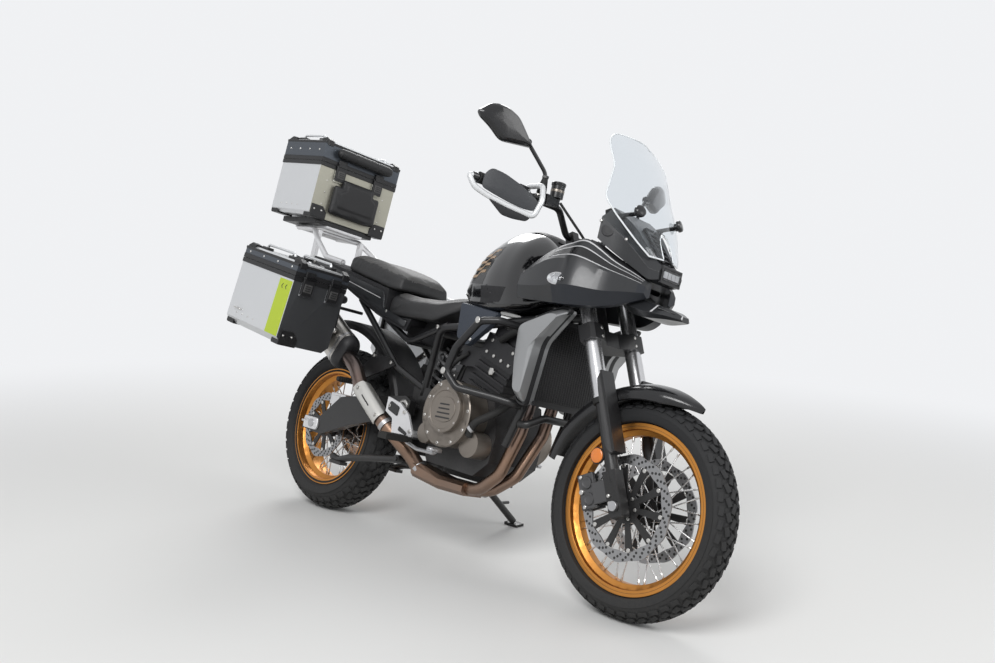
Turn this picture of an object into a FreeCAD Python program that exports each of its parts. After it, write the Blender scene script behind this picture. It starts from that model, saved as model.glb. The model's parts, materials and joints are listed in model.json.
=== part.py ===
import FreeCAD
import Part
import Sketcher
import math
import operator
import os
from FreeCAD import Placement, Rotation, Vector

# Adventure motorcycle with a tall screen, crash bars, two side cases and a top case.
# Lengths are millimetres and angles are degrees.
# Every sub-part is modelled on the upright machine: x points forward, y to the left, z up,
# and the origin lies on the ground under the rear axle.
# At the end each sub-part is leaned onto the side stand, and the origin moves to the
# middle of the machine's footprint.

doc = FreeCAD.newDocument("adventure_motorcycle")

# Driving sizes, one per row of the sheet
SIZES = {
    # Stance
    "wheelbase": 1505.0,
    "rake": 25.5,
    "trail": 115.0,
    "lean": 14.0,
    "running_gap": 0.3,
    # Tyres, 110/80-19 in front and 150/70-17 at the back
    "front_tyre_radius": 329.3,
    "front_tyre_width": 110.0,
    "front_seat_radius": 241.3,
    "front_crown": 58.3,
    "rear_tyre_radius": 320.9,
    "rear_tyre_width": 150.0,
    "rear_seat_radius": 215.9,
    "rear_crown": 80.1,
    # Wheels
    "front_rim_width": 76.0,
    "rear_rim_width": 122.0,
    "rim_flange_height": 15.5,
    "rim_wall": 4.0,
    "rim_well": 17.0,
    "spoke_radius": 2.2,
    "hub_radius": 26.0,
    "hub_flange_radius": 42.0,
    "front_hub_width": 116.0,
    "rear_hub_width": 150.0,
    "axle_radius": 9.0,
    # Brakes and final drive
    "front_disc_radius": 160.0,
    "front_disc_offset": 66.0,
    "rear_disc_radius": 130.0,
    "rear_disc_offset": 83.0,
    "disc_thickness": 5.0,
    "sprocket_radius": 95.0,
    "chain_offset": 92.0,
    "chain_height": 13.0,
    "chain_width": 14.0,
    # Fork and handlebar
    "fork_spacing": 210.0,
    "fork_tube_radius": 26.0,
    "stanchion_radius": 21.0,
    "clamp_margin": 8.5,
    "stem_radius": 14.0,
    "lower_clamp_height": 824.0,
    "upper_clamp_height": 1060.0,
    "fork_top_height": 1078.0,
    "fork_seal_height": 640.0,
    "bar_radius": 11.1,
    "bar_half_width": 455.0,
    "fender_gap": 28.0,
    # Frame and swingarm
    "head_tube_radius": 28.0,
    "frame_tube_radius": 14.0,
    "subframe_tube_radius": 12.0,
    "swingarm_pivot_x": 514.0,
    "swingarm_pivot_z": 469.0,
    "swingarm_arm_middle": 130.0,
    "swingarm_arm_width": 30.0,
    # Engine
    "crankcase_half_width": 118.0,
    "clutch_cover_depth": 92.0,
    "cylinder_half_width": 112.0,
    "cylinder_tilt": 18.0,
    "clutch_cover_radius": 112.0,
    "alternator_cover_radius": 84.0,
    # Exhaust
    "header_radius": 21.0,
    "mid_pipe_radius": 27.0,
    "silencer_half_height": 70.0,
    "silencer_half_width": 40.0,
    "silencer_length": 400.0,
    # Bars, stands and footrests
    "crash_bar_radius": 12.5,
    "rack_tube_radius": 7.0,
    "rack_offset": 237.7,
    "stand_tube_radius": 13.0,
    "side_stand_pivot_x": 590.0,
    "side_stand_pivot_y": 165.0,
    "side_stand_pivot_z": 300.0,
    "side_stand_foot_x": 641.0,
    "side_stand_foot_y": 423.0,
    "centre_stand_pivot_x": 540.0,
    "centre_stand_pivot_z": 281.0,
    "centre_stand_half_width": 140.0,
    "peg_length": 95.0,
    "foot_bracket_offset": 196.0,
    # Screen
    "screen_wall": 4.0,
    # Cases
    "case_wall": 3.0,
    "side_case_inner": 246.0,
    "side_case_width": 234.0,
    "side_case_length": 378.0,
    "side_case_height": 256.0,
    "side_case_lid": 52.0,
    "side_case_pitch": 7.9,
    "top_case_half_width": 200.0,
    "top_case_length": 290.0,
    "top_case_height": 230.0,
    "top_case_lid": 92.0,
    "top_case_pitch": 2.7,
    "lid_gap": 0.4,
}

sheet = doc.addObject("Spreadsheet::Sheet", "sizes")
for row, (alias, number) in enumerate(SIZES.items(), start=1):
    sheet.set(f"A{row}", alias)
    sheet.set(f"B{row}", str(number))
    sheet.setAlias(f"B{row}", alias)
doc.recompute()


# Sizes that carry their formula

class Size:
    """A number together with the sheet formula that gives it, so that it can drive a property."""

    def __init__(self, number, formula):
        self.number = number
        self.formula = formula

    def __float__(self):
        return float(self.number)

    def __add__(self, other):
        return combined(self, "+", other)

    def __radd__(self, other):
        return combined(other, "+", self)

    def __sub__(self, other):
        return combined(self, "-", other)

    def __rsub__(self, other):
        return combined(other, "-", self)

    def __mul__(self, other):
        return combined(self, "*", other)

    def __rmul__(self, other):
        return combined(other, "*", self)

    def __truediv__(self, other):
        return combined(self, "/", other)

    def __neg__(self):
        return combined(0, "-", self)


SIGNS = {"+": operator.add, "-": operator.sub, "*": operator.mul, "/": operator.truediv}


def combined(left, sign, right):
    """The sum, difference, product or quotient of two sizes or plain numbers."""
    number = SIGNS[sign](float(left), float(right))
    return Size(number, f"({formula_of(left)} {sign} {formula_of(right)})")


def formula_of(value):
    """The sheet formula of a size, or a plain number as text."""
    return value.formula if isinstance(value, Size) else repr(float(value))


def size(alias):
    """The size that the sheet holds under this alias."""
    return Size(SIZES[alias], f"sizes.{alias}")


def cosine(angle):
    """The cosine of an angle from the sheet."""
    return Size(math.cos(math.radians(float(angle))), f"cos({formula_of(angle)} * 1deg)")


def sine(angle):
    """The sine of an angle from the sheet."""
    return Size(math.sin(math.radians(float(angle))), f"sin({formula_of(angle)} * 1deg)")


def vector(x, y, z):
    """A FreeCAD vector from sizes or numbers."""
    return Vector(float(x), float(y), float(z))


def set_size(item, name, value):
    """Give a property its value, bound to the sheet where the value comes from there."""
    if isinstance(value, Size):
        item.setExpression(name, value.formula)
    else:
        setattr(item, name, float(value))


def place(item, corner, turn=None):
    """Put an item at a corner (x, y, z), each coordinate bound to the sheet where it can be."""
    item.Placement = Placement(vector(*corner), turn or Rotation())
    for letter, value in zip("xyz", corner):
        if isinstance(value, Size):
            item.setExpression(f"Placement.Base.{letter}", value.formula)
    return item


# Makers of simple solids

ALONG_X = Rotation(Vector(0, 1, 0), 90)
ALONG_Y = Rotation(Vector(1, 0, 0), -90)


def cylinder(name, radius, length, start, turn=None):
    """A round bar of the given radius and length that begins at start and runs along its own z."""
    item = doc.addObject("Part::Cylinder", name)
    set_size(item, "Radius", radius)
    set_size(item, "Height", length)
    return place(item, start, turn)


def cross_bar(name, radius, length, middle):
    """A round bar across the machine, centred on its middle point."""
    x, y, z = middle
    return cylinder(name, radius, length, (x, y - length / 2, z), ALONG_Y)


def bar_between(name, radius, start, end):
    """A straight round bar from one point to another."""
    path = vector(*end) - vector(*start)
    return cylinder(name, radius, path.Length, start, Rotation(Vector(0, 0, 1), path))


def box(name, extents, middle):
    """An upright box of length, width and height about its middle point."""
    item = doc.addObject("Part::Box", name)
    for side, value in zip(("Length", "Width", "Height"), extents):
        set_size(item, side, value)
    return place(item, [centre - extent / 2 for centre, extent in zip(middle, extents)])


def turned_box(name, extents, middle, turn):
    """A box about its middle point, turned about that point."""
    item = doc.addObject("Part::Box", name)
    for side, value in zip(("Length", "Width", "Height"), extents):
        set_size(item, side, value)
    half = vector(*extents) * 0.5
    return place(item, tuple(vector(*middle) - turn.multVec(half)), turn)


def rounded(name, item, radius, direction):
    """The item with its straight edges along one direction rounded."""
    doc.recompute()
    result = doc.addObject("Part::Fillet", name)
    result.Base = item
    chosen = []
    for number, edge in enumerate(item.Shape.Edges, start=1):
        if edge.Curve.TypeId == "Part::GeomLine" and edge.Curve.Direction.cross(direction).Length < 0.01:
            chosen.append((number, float(radius), float(radius)))
    result.Edges = chosen
    return result


def cut(name, base, tool):
    """The base with the tool's room taken out."""
    item = doc.addObject("Part::Cut", name)
    item.Base = base
    item.Tool = tool
    item.Refine = False
    return item


def fused(name, items):
    """Several overlapping items joined into one solid."""
    item = doc.addObject("Part::MultiFuse", name)
    item.Shapes = list(items)
    item.Refine = False
    return item


def common(name, items):
    """What several items share."""
    item = doc.addObject("Part::MultiCommon", name)
    item.Shapes = list(items)
    return item


def solid_feature(name, shape):
    """A solid whose shape is worked out in this file."""
    item = doc.addObject("Part::Feature", name)
    item.Shape = shape
    return item


# Makers that start from a sketch

def origin_plane(body, role):
    """One of a body's own base planes."""
    return next(item for item in body.Origin.OriginFeatures if item.Role == role)


def sketch_on(body, role, corners):
    """A closed outline of straight lines whose corners are held by the sheet or by plain numbers."""
    sketch = body.newObject("Sketcher::SketchObject", body.Name + "_outline")
    sketch.AttachmentSupport = (origin_plane(body, role), [""])
    sketch.MapMode = "FlatFace"
    points = [vector(*corner, 0) for corner in corners]
    following = points[1:] + points[:1]
    sketch.addGeometry([Part.LineSegment(a, b) for a, b in zip(points, following)], False)
    for index in range(len(points)):
        sketch.addConstraint(Sketcher.Constraint("Coincident", index, 2, (index + 1) % len(points), 1))
    for index, corner in enumerate(corners):
        for kind, value in zip(("DistanceX", "DistanceY"), corner):
            number = sketch.addConstraint(Sketcher.Constraint(kind, -1, 1, index, 1, float(value)))
            if isinstance(value, Size):
                sketch.setExpression(f"Constraints[{number}]", value.formula)
    return sketch


def plate(name, corners, thickness, middle_y):
    """A flat plate with a side-view outline of (x, z) corners, centred on one y."""
    body = doc.addObject("PartDesign::Body", name)
    pad = body.newObject("PartDesign::Pad", name + "_pad")
    pad.Profile = sketch_on(body, "XZ_Plane", corners)
    set_size(pad, "Length", thickness)
    pad.SideType = "Symmetric"
    return place(body, (0, middle_y, 0))


def slab(name, corners, thickness, base_z, turn=None, origin=(0, 0)):
    """A flat plate with a plan-view outline of (x, y) corners that rises from base_z."""
    body = doc.addObject("PartDesign::Body", name)
    pad = body.newObject("PartDesign::Pad", name + "_pad")
    pad.Profile = sketch_on(body, "XY_Plane", corners)
    set_size(pad, "Length", thickness)
    return place(body, (origin[0], origin[1], base_z), turn)


def turned(name, corners, axle):
    """A ring about an axle across the machine, from (y, radius) corners."""
    body = doc.addObject("PartDesign::Body", name)
    revolution = body.newObject("PartDesign::Revolution", name + "_turn")
    sketch = sketch_on(body, "YZ_Plane", corners)
    revolution.Profile = sketch
    revolution.ReferenceAxis = (sketch, ["H_Axis"])
    revolution.Angle = 360
    return place(body, axle)


# Makers of bent tubes and lofts

def bent_tube(name, radius, points, bend):
    """A round tube along straight runs joined by arcs of one bend radius, or less on a short run."""
    corners = [vector(*point) for point in points]
    edges = []
    start = corners[0]
    for before, corner, after in zip(corners, corners[1:], corners[2:]):
        entering = (corner - before).normalize()
        leaving = (after - corner).normalize()
        half_turn = entering.getAngle(leaving) / 2
        room = 0.48 * min((corner - before).Length, (after - corner).Length)
        reach = min(float(bend) * math.tan(half_turn), room)
        arc_start = corner - entering * reach
        arc_end = corner + leaving * reach
        toward = (leaving - entering).normalize()
        arc_radius = reach / math.tan(half_turn)
        middle = corner + toward * (arc_radius / math.cos(half_turn) - arc_radius)
        edges.append(Part.LineSegment(start, arc_start).toShape())
        edges.append(Part.Arc(arc_start, middle, arc_end).toShape())
        start = arc_end
    edges.append(Part.LineSegment(start, corners[-1]).toShape())
    path = Part.Wire(edges)
    first_run = corners[1] - corners[0]
    ring = Part.Wire([Part.makeCircle(float(radius), corners[0], first_run)])
    return solid_feature(name, path.makePipeShell([ring], True, True))


def polygon(points):
    """A closed wire through points."""
    return Part.makePolygon(list(points) + [points[0]])


def loft(name, wires):
    """A solid with straight sides through wires that have the same number of corners."""
    return solid_feature(name, Part.makeLoft(list(wires), True, True))


def hull_section(x, low, middle, top):
    """An eight-cornered section across the machine from (z, half width) at the bottom, middle and top."""
    bottom_shoulder = (low[0] * 0.65 + middle[0] * 0.35, low[1] * 0.15 + middle[1] * 0.85)
    top_shoulder = (top[0] * 0.6 + middle[0] * 0.4, top[1] * 0.35 + middle[1] * 0.65)
    right_side = [low, bottom_shoulder, middle, top_shoulder, top]
    left_side = list(reversed(right_side))
    return polygon([Vector(x, -half, z) for z, half in right_side] + [Vector(x, half, z) for z,
                                                                      half in left_side])


def long_hull(name, table):
    """A loft along the machine from rows of x, low, middle and top (z, half width) pairs."""
    return loft(name, [hull_section(*row) for row in table])


def side_shell(name, side, outline, inner_y, outer_y, inset):
    """A raised panel on one side: the (x, z) outline at inner_y narrows by inset towards outer_y."""
    middle_x = sum(x for x, z in outline) / len(outline)
    middle_z = sum(z for x, z in outline) / len(outline)
    reach = max(math.hypot(x - middle_x, z - middle_z) for x, z in outline)
    share = 1 - inset / reach
    inner = [Vector(x, side * inner_y, z) for x, z in outline]
    outer = []
    for x, z in outline:
        outer.append(Vector(middle_x + (x - middle_x) * share, side * outer_y,
                            middle_z + (z - middle_z) * share))
    return loft(name, [polygon(inner), polygon(outer)])


# The sub-parts, in the order in which they are added
nodes = {}


def node(label, items):
    """One sub-part: the items that it is made of, which don't touch each other or are already joined."""
    item = doc.addObject("Part::Compound", label)
    item.Links = list(items)
    item.Label = label
    nodes[label] = item
    return item


# Driving places that come from the sizes

running_gap = size("running_gap")
wheelbase = size("wheelbase")
rake = size("rake")
trail = size("trail")
front_radius = size("front_tyre_radius")
rear_radius = size("rear_tyre_radius")
front_axle = (wheelbase, 0, front_radius)
rear_axle = (0, 0, rear_radius)
steer_foot = wheelbase + trail
fork_offset = front_radius * sine(rake) - trail * cosine(rake)
axle_station = trail * sine(rake) + front_radius * cosine(rake)
half_fork = size("fork_spacing") / 2
SIDES = (("right", -1), ("left", 1))
STEERING = Rotation(Vector(0, 1, 0), -float(rake))


def steering_point(forward, across, station):
    """A place given from the steering axis: forward of it, across the machine, and along it from the ground."""
    return (
        steer_foot + forward * cosine(rake) - station * sine(rake),
        across,
        forward * sine(rake) + station * cosine(rake),
    )


def station_at(height):
    """How far along the steering axis the fork tubes reach a height above the ground."""
    return axle_station + (height - front_radius) / cosine(rake)


def lift_at(x):
    """How far the leaned machine stands up on the round crowns of its tyres, at x."""
    rise = 1 - math.cos(math.radians(float(size("lean"))))
    front_lift = float(size("front_crown")) * rise
    rear_lift = float(size("rear_crown")) * rise
    return rear_lift + (front_lift - rear_lift) * x / float(wheelbase)


# Wheels

def tyre(name, axle, radius, width, crown, seat, rim_width):
    """A tyre: round crown, upright side walls and two beads that sit in the rim."""
    r, w, c, s = float(radius), float(width) / 2, float(crown), float(seat + running_gap)
    bead = float(rim_width) / 2 - float(size("rim_wall")) - float(running_gap)
    shoulder = r - c + math.sqrt(c * c - w * w)
    side_wall = s + 0.42 * (r - s)
    points = [(-bead, s), (-bead, s + 18), (-w, side_wall), (-w, shoulder), (0, r), (w, shoulder),
              (w, side_wall)]
    points += [(bead, s + 18), (bead, s)]
    at = [Vector(0, across, height) for across, height in points]
    edges = [Part.LineSegment(at[0], at[1]).toShape(), Part.LineSegment(at[1], at[2]).toShape()]
    edges.append(Part.LineSegment(at[2], at[3]).toShape())
    edges.append(Part.Arc(at[3], at[4], at[5]).toShape())
    for first, second in ((5, 6), (6, 7), (7, 8), (8, 0)):
        edges.append(Part.LineSegment(at[first], at[second]).toShape())
    face = Part.Face(Part.Wire(edges))
    item = solid_feature(name + "_ring", face.revolve(Vector(0, 0, 0), Vector(0, 1, 0), 360))
    place(item, axle)
    node(name, [item])


def rim(name, axle, seat, width):
    """A drop-centre rim: two flanges, two bead seats and a well that takes the spokes."""
    wall = size("rim_wall")
    flange = seat + size("rim_flange_height")
    well = seat - size("rim_well")
    half = width / 2
    corners = [
        (-half, flange), (-half, seat - wall), (-half * 0.5 - wall, seat - wall),
        (-half * 0.3 - wall, well - wall),
        (half * 0.3 + wall, well - wall), (half * 0.5 + wall, seat - wall), (half, seat - wall),
        (half, flange),
        (half - wall, flange), (half - wall, seat), (half * 0.5, seat), (half * 0.3, well),
        (-half * 0.3, well), (-half * 0.5, seat), (wall - half, seat), (wall - half, flange),
    ]
    node(name, [turned(name + "_channel", corners, axle)])
    return well - wall


def spoked_hub(name, axle, hub_width, inner_radius):
    """A hub barrel with two flanges and four sets of nine crossed spokes that end at the rim's well."""
    hub_radius = size("hub_radius")
    flange_radius = size("hub_flange_radius")
    bore = size("axle_radius") + running_gap
    half = hub_width / 2
    flange_y = half * 0.62
    barrel = turned(
        name + "_barrel",
        [
            (-half, bore), (half, bore), (half, hub_radius), (flange_y, hub_radius),
            (flange_y, flange_radius), (flange_y - 6, flange_radius), (flange_y - 6, hub_radius),
            (6 - flange_y, hub_radius), (6 - flange_y, flange_radius), (-flange_y, flange_radius),
            (-flange_y, hub_radius), (-half, hub_radius),
        ],
        (0, 0, 0),
    )
    hole_radius = float(flange_radius) - 4
    tip_radius = float(inner_radius)
    spokes = []
    for side in (-1, 1):
        for lead in (-1, 1):
            for count in range(9):
                hub_angle = math.radians(40 * count + 10 * (side + 1) + 5 * (lead + 1))
                rim_angle = hub_angle + lead * math.radians(52)
                root_y = side * (float(flange_y) - 3)
                start = (hole_radius * math.cos(hub_angle), root_y, hole_radius * math.sin(hub_angle))
                end = (tip_radius * math.cos(rim_angle), side * 5 + lead * 3,
                       tip_radius * math.sin(rim_angle))
                spokes.append(bar_between(name + "_spoke", size("spoke_radius"), start, end))
    wheel = fused(name + "_wheel", [barrel] + spokes)
    limit = cross_bar(name + "_limit", inner_radius - running_gap, hub_width + 2, (0, 0, 0))
    item = common(name + "_trimmed", [wheel, limit])
    place(item, axle)
    return item


def brake_disc(name, radius, offset, hub_half_width, axle):
    """A steel ring on a carrier that sits against the hub's end."""
    half = size("disc_thickness") / 2
    side = 1 if float(offset) > 0 else -1
    carrier_inner = size("axle_radius") + 12
    face = side * (hub_half_width + running_gap)
    corners = [
        (offset - half, radius), (offset - half, radius * 0.74), (face, radius * 0.36),
        (face, carrier_inner), (face + side * 5, carrier_inner), (face + side * 5, radius * 0.34),
        (offset + half, radius * 0.72), (offset + half, radius),
    ]
    if side < 0:
        corners[0], corners[1], corners[6], corners[7] = corners[7], corners[6], corners[1], corners[0]
    return turned(name, corners, axle)


def front_wheel():
    """Tyre, rim, hub with spokes and two brake discs, all about the front axle."""
    seat = size("front_seat_radius")
    width = size("front_rim_width")
    tyre("front_tyre", front_axle, front_radius, size("front_tyre_width"), size("front_crown"), seat, width)
    inner = rim("front_rim", front_axle, seat, width)
    hub_width = size("front_hub_width")
    node("front_hub", [spoked_hub("front_hub_group", front_axle, hub_width, inner)])
    radius = size("front_disc_radius")
    discs = []
    for label, side in SIDES:
        offset = side * size("front_disc_offset")
        discs.append(brake_disc("front_disc_" + label, radius, offset, hub_width / 2, front_axle))
    node("front_discs", discs)


def rear_wheel():
    """Tyre, rim, hub with spokes, sprocket and brake disc, all about the rear axle."""
    seat = size("rear_seat_radius")
    width = size("rear_rim_width")
    tyre("rear_tyre", rear_axle, rear_radius, size("rear_tyre_width"), size("rear_crown"), seat, width)
    inner = rim("rear_rim", rear_axle, seat, width)
    hub_width = size("rear_hub_width")
    node("rear_hub", [spoked_hub("rear_hub_group", rear_axle, hub_width, inner)])
    disc = brake_disc("rear_disc_ring", size("rear_disc_radius"), -size("rear_disc_offset"), hub_width / 2,
                      rear_axle)
    node("rear_disc", [disc])
    chain_y = size("chain_offset")
    radius = size("sprocket_radius")
    face = hub_width / 2 + running_gap
    corners = [
        (face, size("axle_radius") + 12), (chain_y + 3, size("axle_radius") + 12), (chain_y + 3, radius),
        (chain_y - 3, radius), (chain_y - 3, radius * 0.6), (face, radius * 0.6),
    ]
    node("rear_sprocket", [turned("rear_sprocket_wheel", corners, rear_axle)])


front_wheel()
rear_wheel()


# Fork, clamps and handlebar: everything that turns with the steering

def fork():
    """Two outer tubes, two sliders with axle carriers and guards, two clamps on a stem, and the axle."""
    tube = size("fork_tube_radius")
    slider = size("stanchion_radius")
    top = station_at(size("fork_top_height"))
    seal = station_at(size("fork_seal_height"))
    carrier_top = axle_station + 105
    tubes = []
    legs = []
    for label, side in SIDES:
        across = side * half_fork
        start = steering_point(fork_offset, across, seal)
        tubes.append(cylinder("fork_tube_" + label, tube, top - seal, start, STEERING))
        slider_start = steering_point(fork_offset, across, carrier_top - 30)
        leg = [cylinder("slider_" + label, slider, seal - carrier_top + 30 - running_gap, slider_start,
                        STEERING)]
        middle = steering_point(fork_offset - 2, across, axle_station + 38)
        leg.append(turned_box("axle_carrier_" + label, (46, 40, 140), middle, STEERING))
        guard_length = station_at(700) - station_at(470)
        guard_middle = steering_point(fork_offset + tube + 9, across + side * 2, station_at(585))
        leg.append(turned_box("fork_guard_" + label, (8, 58, guard_length), guard_middle, STEERING))
        foot_middle = steering_point(fork_offset + 24, across, station_at(478))
        leg.append(turned_box("guard_foot_" + label, (30, 36, 20), foot_middle, STEERING))
        raw = fused("leg_raw_" + label, leg)
        hole = cross_bar("leg_hole_" + label, size("axle_radius") + running_gap, 80,
                         (wheelbase, across, front_radius))
        legs.append(cut("leg_" + label, raw, hole))
    node("fork_tubes", tubes)
    node("fork_legs", legs)
    axle = [cross_bar("front_axle_bar", size("axle_radius"), size("fork_spacing") + 50, front_axle)]
    for label, side in SIDES:
        across = side * (half_fork + 27)
        axle.append(cross_bar("front_axle_nut_" + label, 15, 12, (wheelbase, across, front_radius)))
    node("front_axle", [fused("front_axle_group", axle)])


BAR_SET_BACK = -18
BAR_RISE = 122


def fork_clamps():
    """The lower and upper clamp, joined by the stem inside the head tube."""
    margin = size("clamp_margin")
    reach = half_fork + size("fork_tube_radius") + margin
    front = fork_offset + size("fork_tube_radius") + margin - 4
    outline = [
        (fork_offset - 22, -reach), (front - 8, -reach), (front, -reach + 14), (front, -half_fork + 22),
        (fork_offset + 2, -34), (fork_offset + 2, 34), (front, half_fork - 22), (front, reach - 14),
        (front - 8, reach), (fork_offset - 22, reach), (-16, half_fork - 44), (-30, 26), (-30, -26),
        (-16, 44 - half_fork),
    ]
    lower_station = station_at(size("lower_clamp_height")) - 26
    upper_station = station_at(size("upper_clamp_height")) - 13
    solids = []
    for name, station, thickness in (("lower_clamp", lower_station, 52), ("upper_clamp", upper_station, 26)):
        body = slab(name, outline, thickness, 0)
        place(body, steering_point(0, 0, station), STEERING)
        solids.append(body)
    start = steering_point(0, 0, lower_station)
    solids.append(cylinder("stem", size("stem_radius"), upper_station - lower_station + 40, start, STEERING))
    for label, side in SIDES:
        low = steering_point(-2, side * 52, upper_station + 12)
        high = steering_point(BAR_SET_BACK, side * 52, upper_station + 92)
        solids.append(bar_between("riser_" + label, 14, low, high))
        seat = steering_point(BAR_SET_BACK, side * 52, upper_station + 80)
        solids.append(cylinder("riser_seat_" + label, 15, BAR_RISE - 17 - 80 - running_gap, seat, STEERING))
    raw = fused("clamps_raw", solids)
    holes = []
    for label, side in SIDES:
        start = steering_point(fork_offset, side * half_fork, lower_station - 20)
        length = upper_station - lower_station + 90
        holes.append(cylinder("clamp_hole_" + label, size("fork_tube_radius") + running_gap, length, start,
                              STEERING))
    node("fork_clamps", [cut("clamps_bored", raw, fused("clamp_holes", holes))])
    return upper_station + BAR_RISE


def bar_line(station):
    """The bar's middle, its bend beside the risers and its tip on the left, as points."""
    x, _, z = [float(value) for value in steering_point(BAR_SET_BACK, 0, station)]
    half = float(size("bar_half_width"))
    return Vector(x, 0, z), Vector(x + 4, 150, z + 76), Vector(x - 72, half, z + 88)


def on_side(point, side):
    """A point given for the left, moved to the side wanted."""
    return Vector(point.x, side * point.y, point.z)


def upright_plate(name, side, start, end, outline, layers):
    """A plate in the upright plane through start and end.

    outline holds corners as (distance from start, height), and each layer is (distance ahead of
    the plane, share of the outline's size about its middle).
    """
    along = (end - start).normalize()
    normal = Vector(along.y, -along.x, 0)
    middle_s = sum(corner[0] for corner in outline) / len(outline)
    middle_z = sum(corner[1] for corner in outline) / len(outline)
    wires = []
    for ahead, share in layers:
        row = []
        for distance, height in outline:
            point = start + along * (middle_s + (distance - middle_s) * share) + normal * ahead
            point.z = middle_z + (height - middle_z) * share
            row.append(on_side(point, side))
        wires.append(polygon(row))
    return loft(name, wires)


def handlebar(station):
    """A bent bar in two cups on the risers, with grips, control boxes, levers and the brake fluid pot."""
    middle, root, tip = bar_line(station)
    bar = size("bar_radius")
    points = [on_side(tip, -1), on_side(root, -1), middle - Vector(0, 84, 0), middle + Vector(0, 84, 0), root,
              tip]
    solids = [bent_tube("bar", bar, [tuple(point) for point in points], 40)]
    along = (tip - root).normalize()
    clamp_point = tip - along * 210
    for label, side in SIDES:
        grip = [on_side(point, side) for point in (tip - along * 128, tip)]
        solids.append(bar_between("grip_" + label, 17, tuple(grip[0]), tuple(grip[1])))
        solids.append(box("switch_box_" + label, (46, 40, 48), tuple(on_side(tip - along * 152, side))))
        lever = [on_side(clamp_point + Vector(34, 12, 0), side), on_side(tip + Vector(46, -55, -6), side)]
        solids.append(bar_between("lever_" + label, 6.5, tuple(lever[0]), tuple(lever[1])))
        solids.append(box("lever_clamp_" + label, (56, 30, 26),
                          tuple(on_side(clamp_point + Vector(18, 0, 0), side))))
        cup_place = (middle.x, side * 52, middle.z)
        solids.append(turned_box("bar_cup_" + label, (34, 30, 34), cup_place, STEERING))
    pot = Vector(clamp_point.x + 44, -clamp_point.y + 58, middle.z + 118)
    solids.append(bar_between("fluid_pot", 22, (pot.x, pot.y, pot.z - 20), (pot.x, pot.y, pot.z + 26)))
    foot_middle = (pot.x - 8, pot.y - 20, pot.z - 34)
    solids.append(box("fluid_pot_foot", (34, 62, 30), foot_middle))
    node("handlebar", [fused("handlebar_group", solids)])


def hand_guards(station):
    """A guard frame from each bar end round the front of the grip and back to the bar, with two shields."""
    middle, root, tip = bar_line(station)
    along = (tip - root).normalize()
    inner = tip - along * 184
    x, half, z = middle.x, tip.y, middle.z
    guards = []
    for label, side in SIDES:
        path = [
            tip + along * 0.3, tip + along * 36, Vector(x - 64, half + 17, z + 54),
            Vector(x - 36, half - 20, z + 36),
            Vector(x + 4, half - 74, z + 19), Vector(x + 56, half - 144, z + 4),
            Vector(x + 66, half - 158, z + 60),
            Vector(x + 44, half - 170, z + 112), Vector(inner.x, inner.y, z + 112),
            inner + Vector(0, 0, 11.4),
        ]
        frame = bent_tube("guard_frame_" + label, 8, [tuple(on_side(point, side)) for point in path], 14)
        solids = [frame]
        upper = [
            (4, z + 60), (7, z + 100), (27, z + 124), (122, z + 94), (190, z + 54), (184, z + 20),
            (101, z + 30),
        ]
        lower = [(32, z + 28), (101, z + 12), (176, z), (164, z - 16), (82, z - 14)]
        start, end = Vector(x - 50, half + 6, 0), Vector(x + 60, half - 152, 0)
        for part_name, outline in (("shield_", upper), ("low_shield_", lower)):
            solids.append(upright_plate(part_name + label, side, start, end, outline, ((-3, 1.0), (3, 1.0))))
        guards.append(fused("guard_" + label, solids))
    node("hand_guards", guards)


MIRROR_OUTLINE = (
    (203, 272), (213, 287), (177, 320), (150, 327), (117, 325), (75, 308), (52, 283), (24, 250), (6, 228),
    (41, 225), (119, 218), (165, 252),
)


def mirrors(station):
    """A kite-shaped mirror on a cranked stem on each side."""
    middle, root, tip = bar_line(station)
    along = (tip - root).normalize()
    clamp_point = tip - along * 210
    base = clamp_point + Vector(30, 0, 13.3)
    outline = [(distance, middle.z + height) for distance, height in MIRROR_OUTLINE]
    start, end = middle + Vector(-12, 305, 0), middle + Vector(-83, 506, 0)
    items = []
    for label, side in SIDES:
        path = [base, base + Vector(4, -2, 66), middle + Vector(-26, 322, 244)]
        stem = bent_tube("mirror_stem_" + label, 6, [tuple(on_side(point, side)) for point in path], 20)
        layers = ((-8, 0.94), (0, 1.0), (18, 0.8))
        head = upright_plate("mirror_head_" + label, side, start, end, outline, layers)
        items.append(fused("mirror_" + label, [stem, head]))
    node("mirrors", items)


def front_brakes():
    """A caliper on each axle carrier, behind the leg, over the disc's rear edge."""
    items = []
    for label, side in SIDES:
        disc_y = side * float(size("front_disc_offset"))
        middle = steering_point(fork_offset - 118, disc_y, axle_station + 76)
        body = turned_box("caliper_block_" + label, (58, 46, 108), middle, STEERING)
        slot_middle = (wheelbase, disc_y - side * 2, front_radius)
        slot = cross_bar("caliper_slot_" + label, size("front_disc_radius") + 5, size("disc_thickness") + 14,
                         slot_middle)
        opened = cut("caliper_open_" + label, body, slot)
        arm_middle = steering_point(fork_offset - 60.2, side * (half_fork - 15), axle_station + 62)
        arm = turned_box("caliper_arm_" + label, (69.6, 10, 66), arm_middle, STEERING)
        items.append(fused("caliper_" + label, [opened, arm]))
    node("front_calipers", items)


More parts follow.
